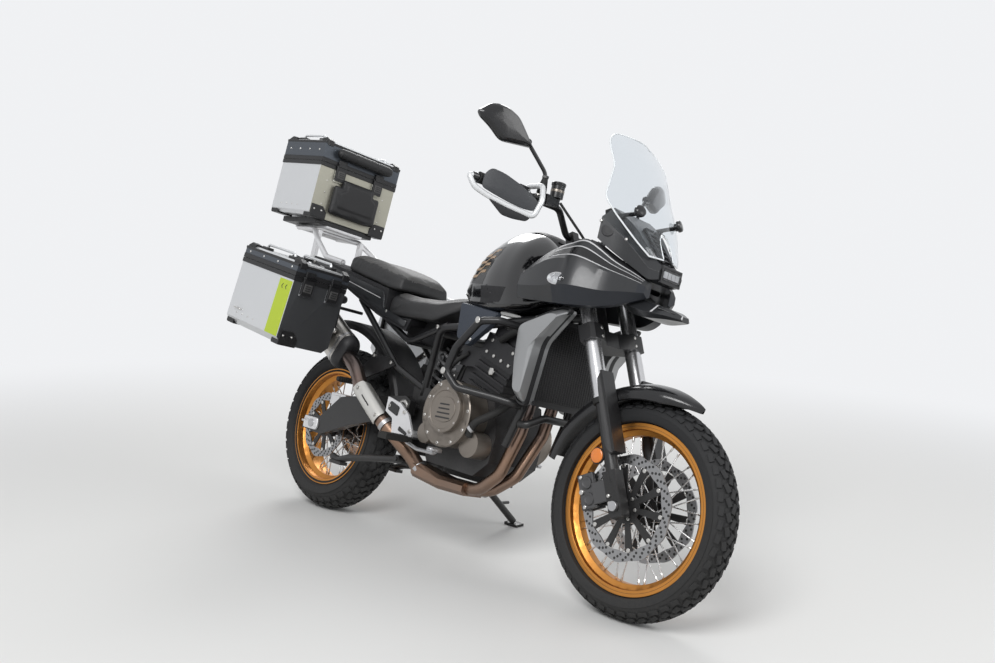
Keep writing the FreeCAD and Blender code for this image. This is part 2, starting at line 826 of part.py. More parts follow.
def front_fender():
    """A mudguard over the front tyre: an arched shell between two stays to the fork legs."""
    inner = float(front_radius + size("fender_gap"))
    half = 74.0
    shells = []
    for start, end, width in ((62, 112, half), (112, 164, half)):
        rows = []
        for angle in (start, (start + end) / 2, end):
            turn = math.radians(angle)
            narrow = 0.55 if angle == 62 else 1.0
            section = [(0, width * narrow), (26, width * 0.62 * narrow), (30, 0),
                       (26, -width * 0.62 * narrow),
                       (0, -width * narrow), (-22, -width * narrow), (-22, -(width - 4) * narrow),
                       (-4, -(width - 5) * narrow), (20, -width * 0.58 * narrow), (25, 0),
                       (20, width * 0.58 * narrow), (-4, (width - 5) * narrow), (-22, (width - 4) * narrow),
                       (-22, width * narrow)]
            row = []
            for rise, across in section:
                r = inner - 8 + rise
                row.append(Vector(float(wheelbase) + r * math.cos(turn), across,
                                  float(front_radius) + r * math.sin(turn)))
            rows.append(polygon(row))
        shells.append(loft(f"fender_shell_{start}", rows))
    stays = []
    for label, side in SIDES:
        stay_width = 9
        stay_y = half_fork - size("fork_tube_radius") - running_gap - stay_width / 2
        middle = steering_point(fork_offset, side * stay_y,
                                axle_station + front_radius + size("fender_gap") - 24)
        stays.append(turned_box("fender_stay_" + label, (60, stay_width, 54), middle, STEERING))
    node("front_fender", [fused("fender_group", shells + stays)])


fork()
bar_station = fork_clamps()
handlebar(bar_station)
hand_guards(bar_station)
mirrors(bar_station)
front_brakes()
front_fender()


# Frame, swingarm and rear end

PIVOT_BOLT_RADIUS = 14
STAND_PIN_RADIUS = 8
ARM_BEAM = (400, 0, 415)
ARM_BEAM_RADIUS = 30
SHOCK_TOP = (585, 0, 752)
SHOCK_MOUNT_RADIUS = 16


def side_stand_hinge():
    """The side stand's pivot, its foot, and the unit directions along its hinge and towards its bracket."""
    pivot = vector(size("side_stand_pivot_x"), size("side_stand_pivot_y"), size("side_stand_pivot_z"))
    foot_x, foot_y = float(size("side_stand_foot_x")), float(size("side_stand_foot_y"))
    lean = math.radians(float(size("lean")))
    foot = Vector(foot_x, foot_y, (foot_y * math.sin(lean) - lift_at(foot_x)) / math.cos(lean))
    down = (foot - pivot).normalize()
    stowed = Vector(-310, 60, -60).normalize()
    hinge = down.cross(stowed).normalize()
    return pivot, foot, hinge, -(down + stowed).normalize()


def side_stand_bracket():
    """Two ears round the side stand's head, with the pin, and the post that ties them to the frame."""
    pivot, _, hinge, back = side_stand_hinge()
    turn = Rotation(back, hinge.cross(back), hinge, "ZXY")
    items = []
    for shift in (-13, 13):
        items.append(turned_box("stand_ear", (58, 36, 9), tuple(pivot + hinge * shift + back * 14), turn))
    items.append(turned_box("stand_ear_web", (14, 36, 35), tuple(pivot + back * 36), turn))
    items.append(bar_between("stand_bolt", 7, tuple(pivot - hinge * 19), tuple(pivot + hinge * 19)))
    items.append(bar_between("stand_post", 13, tuple(pivot + back * 34), (548, 104, 330)))
    return items


def fairing_stay():
    """A flat stay from the head tube, out between the fork tubes, and a cross piece that holds the fairing."""
    station = station_at(950)
    low = steering_point(size("head_tube_radius") - 6, 0, station)
    high = steering_point(168, 0, station)
    middle = [(float(a) + float(b)) / 2 for a, b in zip(low, high)]
    arm = turned_box("stay_arm", (float(168 - size("head_tube_radius") + 6), 34, 18), middle, STEERING)
    x = high[0]
    post = box("stay_post", (20, 40, 118), (x, 0, 995.4))
    across = cross_bar("stay_cross", 9, 224.6, (x, 0, 1004))
    return [arm, post, across]


def seat_rail(name, side, radius):
    """The upper rail of the rear frame, from the spine under the seats to the tail."""
    points = [(640, side * 126, 785), (430, side * 112, 700), (120, side * 112, 850), (-292, side * 112, 968)]
    return bent_tube(name, radius, points, 90)


def frame():
    """The main frame: head tube, spine tubes, cradle tubes and the subframe that carries seat and cases."""
    tube = size("frame_tube_radius")
    head_low = station_at(size("lower_clamp_height")) + 28
    head_high = station_at(size("upper_clamp_height")) - 15
    head_radius = size("head_tube_radius")
    head = cylinder("head_tube", head_radius, head_high - head_low, steering_point(0, 0, head_low), STEERING)
    neck_x, _, neck_z = [float(value) for value in steering_point(-10, 0, (head_low + head_high) / 2)]
    pivot_x = float(size("swingarm_pivot_x"))
    pivot_z = float(size("swingarm_pivot_z"))
    groups = []
    for label, side in SIDES:
        solids = []
        spine = [
            (neck_x, 0, neck_z + 30), (1040, side * 100, 850), (820, side * 128, 800), (600, side * 126, 770),
            (544, side * 82, 650), (pivot_x + 4, side * 69, 520),
        ]
        solids.append(bent_tube("spine_" + label, tube, spine, 60))
        cradle = [
            (neck_x + 8, 0, neck_z - 40), (1066, side * 64, 858), (1062, side * 116, 560),
            (1020, side * 122, 420),
        ]
        solids.append(bent_tube("down_tube_" + label, tube, cradle, 60))
        solids.append(box("tank_rest_" + label, (30, 18, 52 - running_gap),
                          (850, side * 124, 824 - running_gap / 2)))
        solids.append(box("pivot_plate_" + label, (126, 14, 240), (pivot_x + 23, side * 73, pivot_z - 39)))
        solids.append(seat_rail("seat_rail_" + label, side, size("subframe_tube_radius")))
        lower = [(520, side * 74, 545), (392, side * 112, 603), (90, side * 112, 835)]
        solids.append(bent_tube("seat_strut_" + label, size("subframe_tube_radius"), lower, 60))
        stand_middle = (size("centre_stand_pivot_x"), side * 89, size("centre_stand_pivot_z") + 30)
        solids.append(box("stand_lug_" + label, (46, 46, 98), stand_middle))
        groups.append(fused("frame_side_" + label, solids))
    stand_pin = (size("centre_stand_pivot_x"), 0, size("centre_stand_pivot_z"))
    solids = [head]
    solids.append(cross_bar("stand_pin", STAND_PIN_RADIUS, size("centre_stand_half_width") * 2 + 30,
                            stand_pin))
    solids.append(cross_bar("pivot_bolt", PIVOT_BOLT_RADIUS, 304, (pivot_x, 0, pivot_z)))
    solids.append(cross_bar("pivot_cross", 18, 140, (pivot_x + 28, 0, pivot_z - 100)))
    solids.append(cross_bar("shock_mount", SHOCK_MOUNT_RADIUS, 232, SHOCK_TOP))
    solids.append(cross_bar("seat_cross_front", 10, 236, (430, 0, 702)))
    solids.append(cross_bar("seat_cross_rear", 10, 224, (-284, 0, 966)))
    groups.append(fused("frame_middle", solids))
    groups.append(fused("frame_stand_bracket", side_stand_bracket()))
    groups.append(fused("frame_stay", fairing_stay()))
    raw = fused("frame_raw", groups)
    start = steering_point(0, 0, head_low - 40)
    bore = cylinder("head_bore", size("stem_radius") + running_gap, head_high - head_low + 90, start,
                    STEERING)
    node("frame", [cut("frame_bored", raw, bore)])


def swingarm():
    """Two deep arms joined by a cross beam, on the pivot tube in front and the axle plates behind."""
    pivot_x = size("swingarm_pivot_x")
    pivot_z = size("swingarm_pivot_z")
    outline = [
        (pivot_x + 30, pivot_z + 24), (pivot_x, pivot_z + 38), (200, 458), (140, 446), (40, rear_radius + 36),
        (-58, rear_radius + 24), (-64, rear_radius - 26), (60, rear_radius - 34), (230, 352),
        (pivot_x, pivot_z - 40), (pivot_x + 30, pivot_z - 26),
    ]
    solids = []
    middle = size("swingarm_arm_middle")
    width = size("swingarm_arm_width")
    for label, side in SIDES:
        solids.append(plate("arm_" + label, outline, width, side * middle))
    solids.append(cross_bar("arm_cross", ARM_BEAM_RADIUS, middle * 2, ARM_BEAM))
    arms = fused("arms_raw", solids)
    pivot = (pivot_x, 0, pivot_z)
    holes = [
        cross_bar("axle_hole", size("axle_radius") + running_gap, middle * 3, rear_axle),
        cross_bar("pivot_hole", PIVOT_BOLT_RADIUS + running_gap, middle * 3, pivot),
    ]
    node("swingarm", [cut("arms_drilled", arms, fused("arm_holes", holes))])
    outer = middle + width / 2
    axle = [cross_bar("rear_axle_bar", size("axle_radius"), outer * 2 + 24, rear_axle)]
    for label, side in SIDES:
        axle.append(cross_bar("rear_axle_nut_" + label, 16, 11, (0, side * (outer + 6), rear_radius)))
    node("rear_axle", [fused("rear_axle_group", axle)])


def chain():
    """The chain as one closed band round the two sprockets."""
    inner = size("sprocket_radius") + running_gap
    front_x, front_z, front_r = 585.0, float(size("swingarm_pivot_z")) - 8, 38.0
    back_z, back_r = float(rear_radius), float(inner)
    height = float(size("chain_height"))
    slope = math.atan2(front_z - back_z, front_x)
    spread = math.acos((back_r - front_r) / math.hypot(front_x, front_z - back_z))

    def loop(grow):
        """The run round both sprockets, grown outwards."""
        back = Vector(0, 0, back_z)
        front = Vector(front_x, 0, front_z)

        def rim_point(middle, radius, angle):
            """A point on a sprocket's grown circle."""
            return middle + Vector(math.cos(angle), 0, math.sin(angle)) * (radius + grow)

        upper, lower = slope + spread, slope - spread
        a, b = rim_point(back, back_r, upper), rim_point(front, front_r, upper)
        c, e = rim_point(front, front_r, lower), rim_point(back, back_r, lower)
        nose = rim_point(front, front_r, slope)
        tail = rim_point(back, back_r, slope + math.pi)
        edges = [Part.LineSegment(a, b), Part.Arc(b, nose, c), Part.LineSegment(c, e), Part.Arc(e, tail, a)]
        return Part.Wire([edge.toShape() for edge in edges])

    face = Part.Face(loop(height)).cut(Part.Face(loop(0)))
    band = solid_feature("chain_band", face.Faces[0].extrude(Vector(0, float(size("chain_width")), 0)))
    place(band, (0, size("chain_offset") - size("chain_width") / 2, 0))
    node("chain", [band])


def rear_brake():
    """The rear caliper on its bracket above the swingarm's right end."""
    disc_y = -float(size("rear_disc_offset"))
    block = box("rear_caliper_block", (92, 44, 46), (70, disc_y, float(rear_radius) + 112))
    slot = box("rear_caliper_slot", (140, 9, 60), (70, disc_y, float(rear_radius) + 100))
    opened = cut("rear_caliper_open", block, slot)
    hanger = box("rear_caliper_hanger", (40, 14, 66), (70, -108, float(rear_radius) + 92))
    node("rear_caliper", [fused("rear_caliper_group", [opened, hanger])])


def shock():
    """The rear spring and damper, upright behind the engine."""
    beam, mount = Vector(*ARM_BEAM), Vector(*SHOCK_TOP)
    along = (mount - beam).normalize()
    low = beam + along * (ARM_BEAM_RADIUS + float(running_gap))
    high = mount - along * (SHOCK_MOUNT_RADIUS + float(running_gap))
    axis = high - low
    parts = [bar_between("damper", 20, tuple(low), tuple(high))]
    parts.append(bar_between("spring", 42, tuple(low + axis * 0.28), tuple(low + axis * 0.9)))
    node("shock", [fused("shock_group", parts)])


frame()
swingarm()
chain()
rear_brake()
shock()


# Engine and exhaust

def engine():
    """Crankcase, two cylinders in one leaning block with a head, and the intake behind it."""
    half = size("crankcase_half_width")
    outline = [
        (652, 316), (664, 300), (900, 296), (960, 350), (968, 440), (930, 560), (860, 590), (700, 575),
        (652, 550),
    ]
    rear_outline = [(600, 330), (660, 312), (660, 560), (590, 520), (568, 430)]
    case = plate("crankcase", outline, half * 2, 0)
    gearbox = plate("gearbox", rear_outline, 2 * (66 - running_gap), 0)
    tilt = Rotation(Vector(0, 1, 0), float(size("cylinder_tilt")))
    across = size("cylinder_half_width") * 2
    block = turned_box("cylinder_block", (150, float(across) * 0.9, 150), (872, 0, 625), tilt)
    head = turned_box("cylinder_head", (176, float(across), 84), (902, 0, 716), tilt)
    cover = turned_box("cam_cover", (140, float(across) * 0.92, 44), (920, 0, 770), tilt)
    fins = []
    for count in range(6):
        middle = (844 + 8.3 * count, 0, 560 + 24.0 * count)
        fins.append(turned_box("fin", (166, float(across), 7), middle, tilt))
    sump = box("sump", (210, 140, 40), (770, 45, 290))
    intake = box("intake", (110, 200, 70), (760, 0, 690))
    node("engine", [fused("engine_group", [case, gearbox, block, head, cover, sump, intake] + fins)])


def engine_covers():
    """The clutch cover with its raised cap on the right, and the alternator and sprocket covers on the left."""
    inner = size("crankcase_half_width") + running_gap
    depth = size("clutch_cover_depth")
    clutch = [cylinder("clutch_cover_base", size("clutch_cover_radius"), depth, (806, -inner - depth, 482),
                       ALONG_Y)]
    clutch.append(cylinder("clutch_cover_cap", 78, 22, (812, -inner - depth - 14, 492), ALONG_Y))
    clutch.append(cylinder("water_pump", 44, depth - 24, (918, 24 - inner - depth, 398), ALONG_Y))
    clutch.append(cylinder("filler_boss", 36, depth - 20, (702, 20 - inner - depth, 400), ALONG_Y))
    left = [cylinder("alternator_base", size("alternator_cover_radius"), 66, (868, inner, 440), ALONG_Y)]
    left.append(cylinder("alternator_cap", 52, 80, (868, inner, 440), ALONG_Y))
    left.append(cylinder("sprocket_cover", 58, 30, (622, inner, 470), ALONG_Y))
    left.append(box("sprocket_bridge", (200, 28, 90), (735, inner + 14, 450)))
    node("engine_covers", [fused("clutch_cover_group", clutch), fused("left_cover_group", left)])


def exhaust():
    """Two headers that meet in a flat collector under the engine, and the pipe up to the silencer."""
    radius = size("header_radius")
    parts = []
    for label, side in SIDES:
        path = [
            (986.1, side * 62, 688.8), (1030, side * 62, 674.5), (1038, side * 56, 600),
            (1022, side * 54 - 6, 470), (985, side * 40 - 40, 320),
            (925, side * 28 - 66, 258), (860, side * 20 - 78, 246),
        ]
        parts.append(bent_tube("header_" + label, radius, path, 70))
    collector = []
    for x, low, high, right, left in ((880, 224, 268, -134, -24), (760, 222, 268, -140, -40),
                                      (640, 240, 296, -158, -96)):
        collector.append(polygon([
            Vector(x, right, low + 12), Vector(x, right + 12, low), Vector(x, left - 12, low),
            Vector(x, left, low + 12), Vector(x, left, high - 12), Vector(x, left - 12, high),
            Vector(x, right + 12, high), Vector(x, right, high - 12),
        ]))
    parts.append(loft("collector", collector))
    back = [(650, -127, 266), (600, -138, 306), (455, -184, 404), (300, -190, 508), (246.7, -186, 567),
            (186.3, -186, 601.85)]
    parts.append(bent_tube("mid_pipe", size("mid_pipe_radius"), back, 110))
    node("exhaust", [fused("exhaust_group", parts)])


def silencer():
    """A tall oval silencer on the right that rises rearwards beside the wheel."""
    tall = size("silencer_half_height")
    wide = size("silencer_half_width")
    rise = math.degrees(math.atan2(99, 172))
    turn = Rotation(Vector(0, 1, 0), -90 + rise) * Rotation(Vector(0, 0, 1), 0)
    corners = []
    straight = float(tall) - float(wide)
    for count in range(12):
        angle = math.radians(15 + 30 * count)
        shift = straight if math.cos(angle) > 0 else -straight
        corners.append((shift + float(wide) * math.cos(angle), float(wide) * math.sin(angle)))
    body = slab("silencer_body", corners, size("silencer_length"), 0)
    place(body, (186, -186, 602), turn)
    return body


engine()
engine_covers()
exhaust()
silencer_body = silencer()
node("silencer", [silencer_body])


# Fairing and bodywork

def tank():
    """The fuel tank, broad in front of the knees and low at the seat."""
    node("tank", [long_hull("tank_hull", [
        (672, (905, 95), (925, 105), (950, 80)),
        (740, (862, 120), (960, 150), (1085, 80)),
        (850, (850, 135), (980, 182), (1152, 80)),
        (960, (860, 140), (985, 190), (1138, 84)),
        (1065, (900, 116), (960, 138), (1008, 80)),
    ])])


TAIL_STEP, TAIL_STEP_Z = 278, 886
TAIL_REAR, TAIL_REAR_Z = -66, 952


def tail_top(x):
    """The height of the tail unit's top face under the pillion seat, at x."""
    return TAIL_REAR_Z + (x - TAIL_REAR) * (TAIL_STEP_Z - TAIL_REAR_Z) / (TAIL_STEP - TAIL_REAR)


def seats():
    """The rider's seat and the higher pillion seat behind it."""
    node("rider_seat", [long_hull("rider_seat_hull", [
        (288, (784.3, 118), (826, 132), (884, 108)),
        (420, (784.3, 132), (825, 158), (872, 120)),
        (560, (788, 126), (830, 146), (880, 96)),
        (664, (850, 84), (872, 92), (902, 60)),
    ])])
    node("pillion_seat", [long_hull("pillion_seat_hull", [
        (-66, (tail_top(-66) + 0.3, 84), (985, 96), (1018, 74)),
        (100, (tail_top(100) + 0.3, 120), (952, 134), (1004, 108)),
        (TAIL_STEP, (TAIL_STEP_Z + 0.3, 128), (916, 142), (964, 110)),
        (330, (TAIL_STEP_Z + 3, 118), (912, 130), (950, 100)),
    ])])


def tail():
    """The tail unit under the seats, with the tail lamp and the blank plate holder behind it."""
    outline = [
        (445, 784), (286, 784), (TAIL_STEP, TAIL_STEP_Z), (TAIL_REAR, TAIL_REAR_Z), (-250, 988), (-264, 930),
        (20, 866), (240, 782), (425, 736),
    ]
    room_outline = [
        (430, 772), (266, 774), (266, 876), (-66, 940), (-300, 984), (-300, 900), (20, 800), (250, 700),
        (470, 700),
    ]
    shell = plate("tail_shell", outline, 280, 0)
    room = plate("tail_room", room_outline, 256, 0)
    rooms = [room]
    for label, side in SIDES:
        rooms.append(seat_rail("rail_room_" + label, side, size("subframe_tube_radius") + running_gap))
    node("tail_unit", [cut("tail_cut", shell, fused("tail_rooms", rooms))])


tank()
seats()
tail()


# Fairing in front

def mirrored(name, build):
    """The same piece built for the right and for the left side."""
    node(name, [build(label, side) for label, side in SIDES])


def half_section(x, rows):
    """A section across one side of the machine at x, from (y, z) corners in order."""
    return polygon([Vector(x, y, z) for y, z in rows])


def cowl(label, side):
    """A dark side cowl that runs from the tank past the fork to the nose."""
    table = [
        (1006, (174, 902), (196, 900), (208, 940), (202, 975), (186, 990), (174, 990)),
        (1120, (160, 896), (205, 894), (228, 940), (220, 1020), (186, 1068), (162, 1062)),
        (1244, (160, 894), (212, 893), (236, 950), (222, 1030), (176, 1108), (162, 1100)),
        (1330, (112, 912), (150, 908), (184, 950), (176, 1010), (138, 1052), (118, 1046)),
        (1418, (52, 962), (64, 958), (84, 970), (82, 992), (66, 1006), (52, 1004)),
    ]
    rows = [half_section(x, [(side * y, z) for y, z in corners]) for x, *corners in table]
    return loft("cowl_shape_" + label, rows)


def shroud(label, side):
    """A pale upright shroud beside the radiator."""
    outline = [(1052, 823), (1196, 884), (1241, 881), (1150, 770), (1128, 562), (1086, 572), (1062, 698)]
    return side_shell("shroud_shape_" + label, side, outline, 150.3, 226, 26)


def side_panel(label, side):
    """A textured panel under the tank."""
    outline = [(712, 868), (905, 846), (880, 800), (785, 717), (724, 742)]
    return side_shell("side_panel_shape_" + label, side, outline, 142.4, 166, 8)


SCREEN_ROWS = (
    (1090, 1428, 72, 1408), (1246, 1356, 188, 1287), (1357, 1300, 147, 1258), (1414, 1266, 150, 1230),
    (1499, 1208, 92, 1188),
)


def screen_layer(name, ahead, behind):
    """A bowed layer from so far ahead of the screen's outer face to so far behind it."""
    rows = []
    for z, front, half, edge in SCREEN_ROWS:
        ahead_edge, behind_edge = edge + float(ahead), edge - float(behind)
        ahead_front, behind_front = front + float(ahead), front - float(behind)
        outer = Part.Arc(Vector(ahead_edge, -half, z), Vector(ahead_front, 0, z), Vector(ahead_edge, half, z))
        inner = Part.Arc(Vector(behind_edge, half, z), Vector(behind_front, 0, z),
                         Vector(behind_edge, -half, z))
        left = Part.LineSegment(Vector(ahead_edge, half, z), Vector(behind_edge, half, z))
        right = Part.LineSegment(Vector(behind_edge, -half, z), Vector(ahead_edge, -half, z))
        rows.append(Part.Wire([piece.toShape() for piece in (outer, left, inner, right)]))
    return loft(name, rows)


def nose():
    """The black nose between the cowls, with two arms that carry the screen and the lamp in front."""
    shape = loft("nose_shape", [
        half_section(1250, [(-150, 1120), (-96, 1112), (96, 1112), (150, 1120), (148, 1190), (96, 1232),
                            (-96, 1232),
                            (-148, 1190)]),
        half_section(1330, [(-108, 1066), (-70, 1058), (70, 1058), (108, 1066), (116, 1130), (76, 1178),
                            (-76, 1178),
                            (-116, 1130)]),
        half_section(1416, [(-74, 1018), (-50, 1012), (50, 1012), (74, 1018), (80, 1052), (54, 1082),
                            (-54, 1082),
                            (-80, 1052)]),
        half_section(1444, [(-58, 1022), (-44, 1016), (44, 1016), (58, 1022), (62, 1046), (46, 1066),
                            (-46, 1066),
                            (-62, 1046)]),
    ])
    arms = [cylinder("screen_arm_" + label, 9, 110, (1262, side * 100, 1206), ALONG_X) for label,
            side in SIDES]
    room = screen_layer("screen_room", 90, size("screen_wall") + running_gap)
    node("nose", [cut("nose_cut", fused("nose_raw", [shape] + arms), room)])
    lens = box("headlamp_lens", (9, 92, 34), (1444 + running_gap + 4.5, 0, 1042))
    node("headlamp", [lens])


def beak():
    """The pointed beak over the front wheel."""
    node("beak", [loft("beak_shape", [
        half_section(1336.7, [(-56, 924), (56, 924), (76, 940), (60, 984), (-60, 984), (-76, 940)]),
        half_section(1410, [(-68, 900), (68, 900), (84, 918), (48, 950), (-48, 950), (-84, 918)]),
        half_section(1490, [(-44, 904), (44, 904), (60, 914), (36, 940), (-36, 940), (-60, 914)]),
        half_section(1532, [(-16, 904), (16, 904), (22, 910), (14, 922), (-14, 922), (-22, 910)]),
    ])])


def windscreen():
    """A tall clear screen, bowed across the machine, with a notch between two tongues at its foot."""
    sheet_shape = screen_layer("screen_sheet", 0, size("screen_wall"))
    notch = box("screen_notch", (140, 52, 90), (1420, 0, 1100))
    crown = cylinder("screen_notch_top", 26, 140, (1350, 0, 1145), ALONG_X)
    node("windscreen", [cut("screen_cut", sheet_shape, fused("screen_notches", [notch, crown]))])


def display():
    """The instrument display behind the screen, on a post from the nose."""
    parts = [turned_box("display_case", (22, 150, 92), (1214, 0, 1192), Rotation(Vector(0, 1, 0), -18))]
    parts.append(cylinder("display_post", 14, 34 - running_gap, (1216, 0, 1180), ALONG_X))
    node("display", [fused("display_group", parts)])


def radiator():
    """The radiator in front of the engine, on lugs that meet the frame's down tubes."""
    core = box("radiator_core", (34, 300, 270), (1110, 0, 712))
    lugs = [box("radiator_lug", (17, 14, 14), (1087.2, side * 91, 705)) for _, side in SIDES]
    node("radiator", [fused("radiator_group", [core] + lugs)])


# Bars, footrests and stands

def crash_bars():
    """A looped guard bar on each side, bolted to the frame, and the low bar across in front."""
    radius = size("crash_bar_radius")
    bars = []
    for label, side in SIDES:
        path = [
            (1064, side * 91, 800), (1062, side * 116, 801), (1028, side * 156, 806), (990, side * 232, 812),
            (936, side * 266, 800),
            (868, side * 284, 700), (846, side * 286, 618), (892, side * 268, 572), (1000, side * 204, 566),
            (1060, side * 168, 560), (1060, side * 131.2, 560),
        ]
        bars.append(bent_tube("guard_loop_" + label, radius, path, 34))
    across = [(1063.2, -119, 500), (1090, -119, 500), (1116, -70, 532), (1116, 70, 532), (1090, 119, 500),
              (1063.2, 119, 500)]
    bars.append(bent_tube("cross_guard_bar", radius, across, 30))
    node("crash_bars", bars)


def footrests():
    """On each side a cast bracket with the rider's peg, and the pedal in front of it."""
    outline = [(486, 492), (560, 478), (612, 446), (654, 384), (640, 352), (604, 352), (546, 354), (530, 420),
               (486, 440)]
    groups = []
    for label, side in SIDES:
        offset = size("foot_bracket_offset")
        parts = [plate("foot_bracket_" + label, outline, 9, side * offset)]
        parts.append(bar_between("foot_boss_" + label, 12, (566, side * 80.3, 380),
                                 (566, side * offset, 380)))
        start = side * offset
        length = size("peg_length") + 20
        middle = start + side * length / 2
        parts.append(box("peg_" + label, (44, length, 20), (630, middle, 362)))
        lever = [(640, side * 204, 352), (700, side * 208, 340), (800, side * 218, 342),
                 (832, side * 240, 352)]
        parts.append(bent_tube("pedal_" + label, 6.5, lever, 20))
        parts.append(box("pedal_pad_" + label, (28, 44, 12), (834, side * 250, 356)))
        groups.append(fused("footrest_group_" + label, parts))
    node("footrests", groups)


def peg_hangers():
    """The pillion footrests on hangers from the subframe."""
    outline = [(400, 606), (372, 628), (262, 640), (188, 532), (186, 500), (214, 498), (250, 540)]
    items = []
    for label, side in SIDES:
        hanger = plate("hanger_" + label, outline, 8, side * (124 + running_gap + 4))
        peg = bar_between("pillion_peg_" + label, 9, (203, side * 126, 514), (203, side * 226, 514))
        items.append(fused("hanger_group_" + label, [hanger, peg]))
    node("peg_hangers", items)


def side_stand():
    """The side stand: a head on the hinge bolt, a leg, and a foot that lies flat on the ground."""
    pivot, foot, hinge, _ = side_stand_hinge()
    down = (foot - pivot).normalize()
    radius = float(size("stand_tube_radius"))
    lean = float(size("lean"))
    lift = vector(0, -math.sin(math.radians(lean)), math.cos(math.radians(lean)))
    head = bar_between("stand_head", 19, tuple(pivot - hinge * 8), tuple(pivot + hinge * 8))
    neck = bar_between("stand_neck", 7.8, tuple(pivot), tuple(pivot + down * 44))
    leg = bar_between("stand_leg", radius, tuple(pivot + down * 38), tuple(foot + lift * 10 - down * 6))
    pad = turned_box("stand_pad", (66, 40, 10), tuple(foot + lift * 5), Rotation(Vector(1, 0, 0), lean))
    hook = bar_between("stand_hook", 6, tuple(pivot + down * 205),
                       tuple(pivot + down * 205 + Vector(-10, 70, 6)))
    bolt = bar_between("stand_bolt_hole", 7.4, tuple(pivot - hinge * 20), tuple(pivot + hinge * 20))
    node("side_stand", [cut("side_stand_cut", fused("side_stand_raw", [head, neck, leg, pad, hook]), bolt)])


def centre_stand():
    """The folded centre stand: two legs on the frame's pins, tied by a cross bar, with curved feet."""
    pivot_x, pivot_z = size("centre_stand_pivot_x"), size("centre_stand_pivot_z")
    half = float(size("centre_stand_half_width"))
    radius = size("stand_tube_radius")
    parts = [cross_bar("centre_stand_tie", 11, 2 * half, (466, 0, 268))]
    for label, side in SIDES:
        eye = bar_between("centre_eye_" + label, 15, (pivot_x, side * (half - 11), pivot_z),
                          (pivot_x, side * (half + 11), pivot_z))
        path = [(pivot_x, side * half, pivot_z), (262, side * half, 232), (208, side * half, 214),
                (165, side * half, 222)]
        parts += [eye, bent_tube("centre_leg_" + label, radius, path, 40)]
        parts.append(box("centre_foot_" + label, (70, 34, 12), (206, side * half, 204)))
    parts.append(bar_between("centre_tang", 7, (214, half, 218), (176, half + 46, 226)))
    hole = cross_bar("centre_stand_hole", STAND_PIN_RADIUS + running_gap, 2 * half + 60,
                     (pivot_x, 0, pivot_z))
    node("centre_stand", [cut("centre_stand_cut", fused("centre_stand_raw", parts), hole)])


# Luggage

def carrier():
    """The cast carrier with its grab rails over the tail, and the plate that holds the top case."""
    parts = []
    for label, side in SIDES:
        rail = [(-30, side * 152, 968), (-140, side * 160, 984), (-236, side * 150, 1050),
                (-330, side * 118, 1106),
                (-470, side * 104, 1112)]
        parts.append(bent_tube("grab_rail_" + label, 11, rail, 50))
        parts.append(bar_between("rail_boss_" + label, 11, (-40, side * (140 + 0.3), 968),
                                 (-40, side * 156, 968)))
        parts.append(box("carrier_post_" + label, (22, 18, 122), (-300, side * 112, 980 + 0.3 + 61)))
    parts.append(cross_bar("carrier_cross_front", 9, 250, (-322, 0, 1100)))
    parts.append(cross_bar("carrier_cross_rear", 9, 214, (-462, 0, 1112)))
    parts.append(box("carrier_top", (230, 190, 10), (-396, 0, 1121)))
    node("rear_carrier", [fused("carrier_group", parts)])


def case_frame(base, pitch):
    """The place of a case: its front lower edge at base, nose down by the pitch."""
    return Placement(vector(*base), Rotation(Vector(0, 1, 0), float(pitch)))


def profile_along(name, corners, length):
    """A bar of the given (y, z) outline that runs rearwards from x = 0."""
    body = doc.addObject("PartDesign::Body", name)
    pad = body.newObject("PartDesign::Pad", name + "_pad")
    pad.Profile = sketch_on(body, "YZ_Plane", corners)
    set_size(pad, "Length", length)
    pad.Reversed = True
    return body


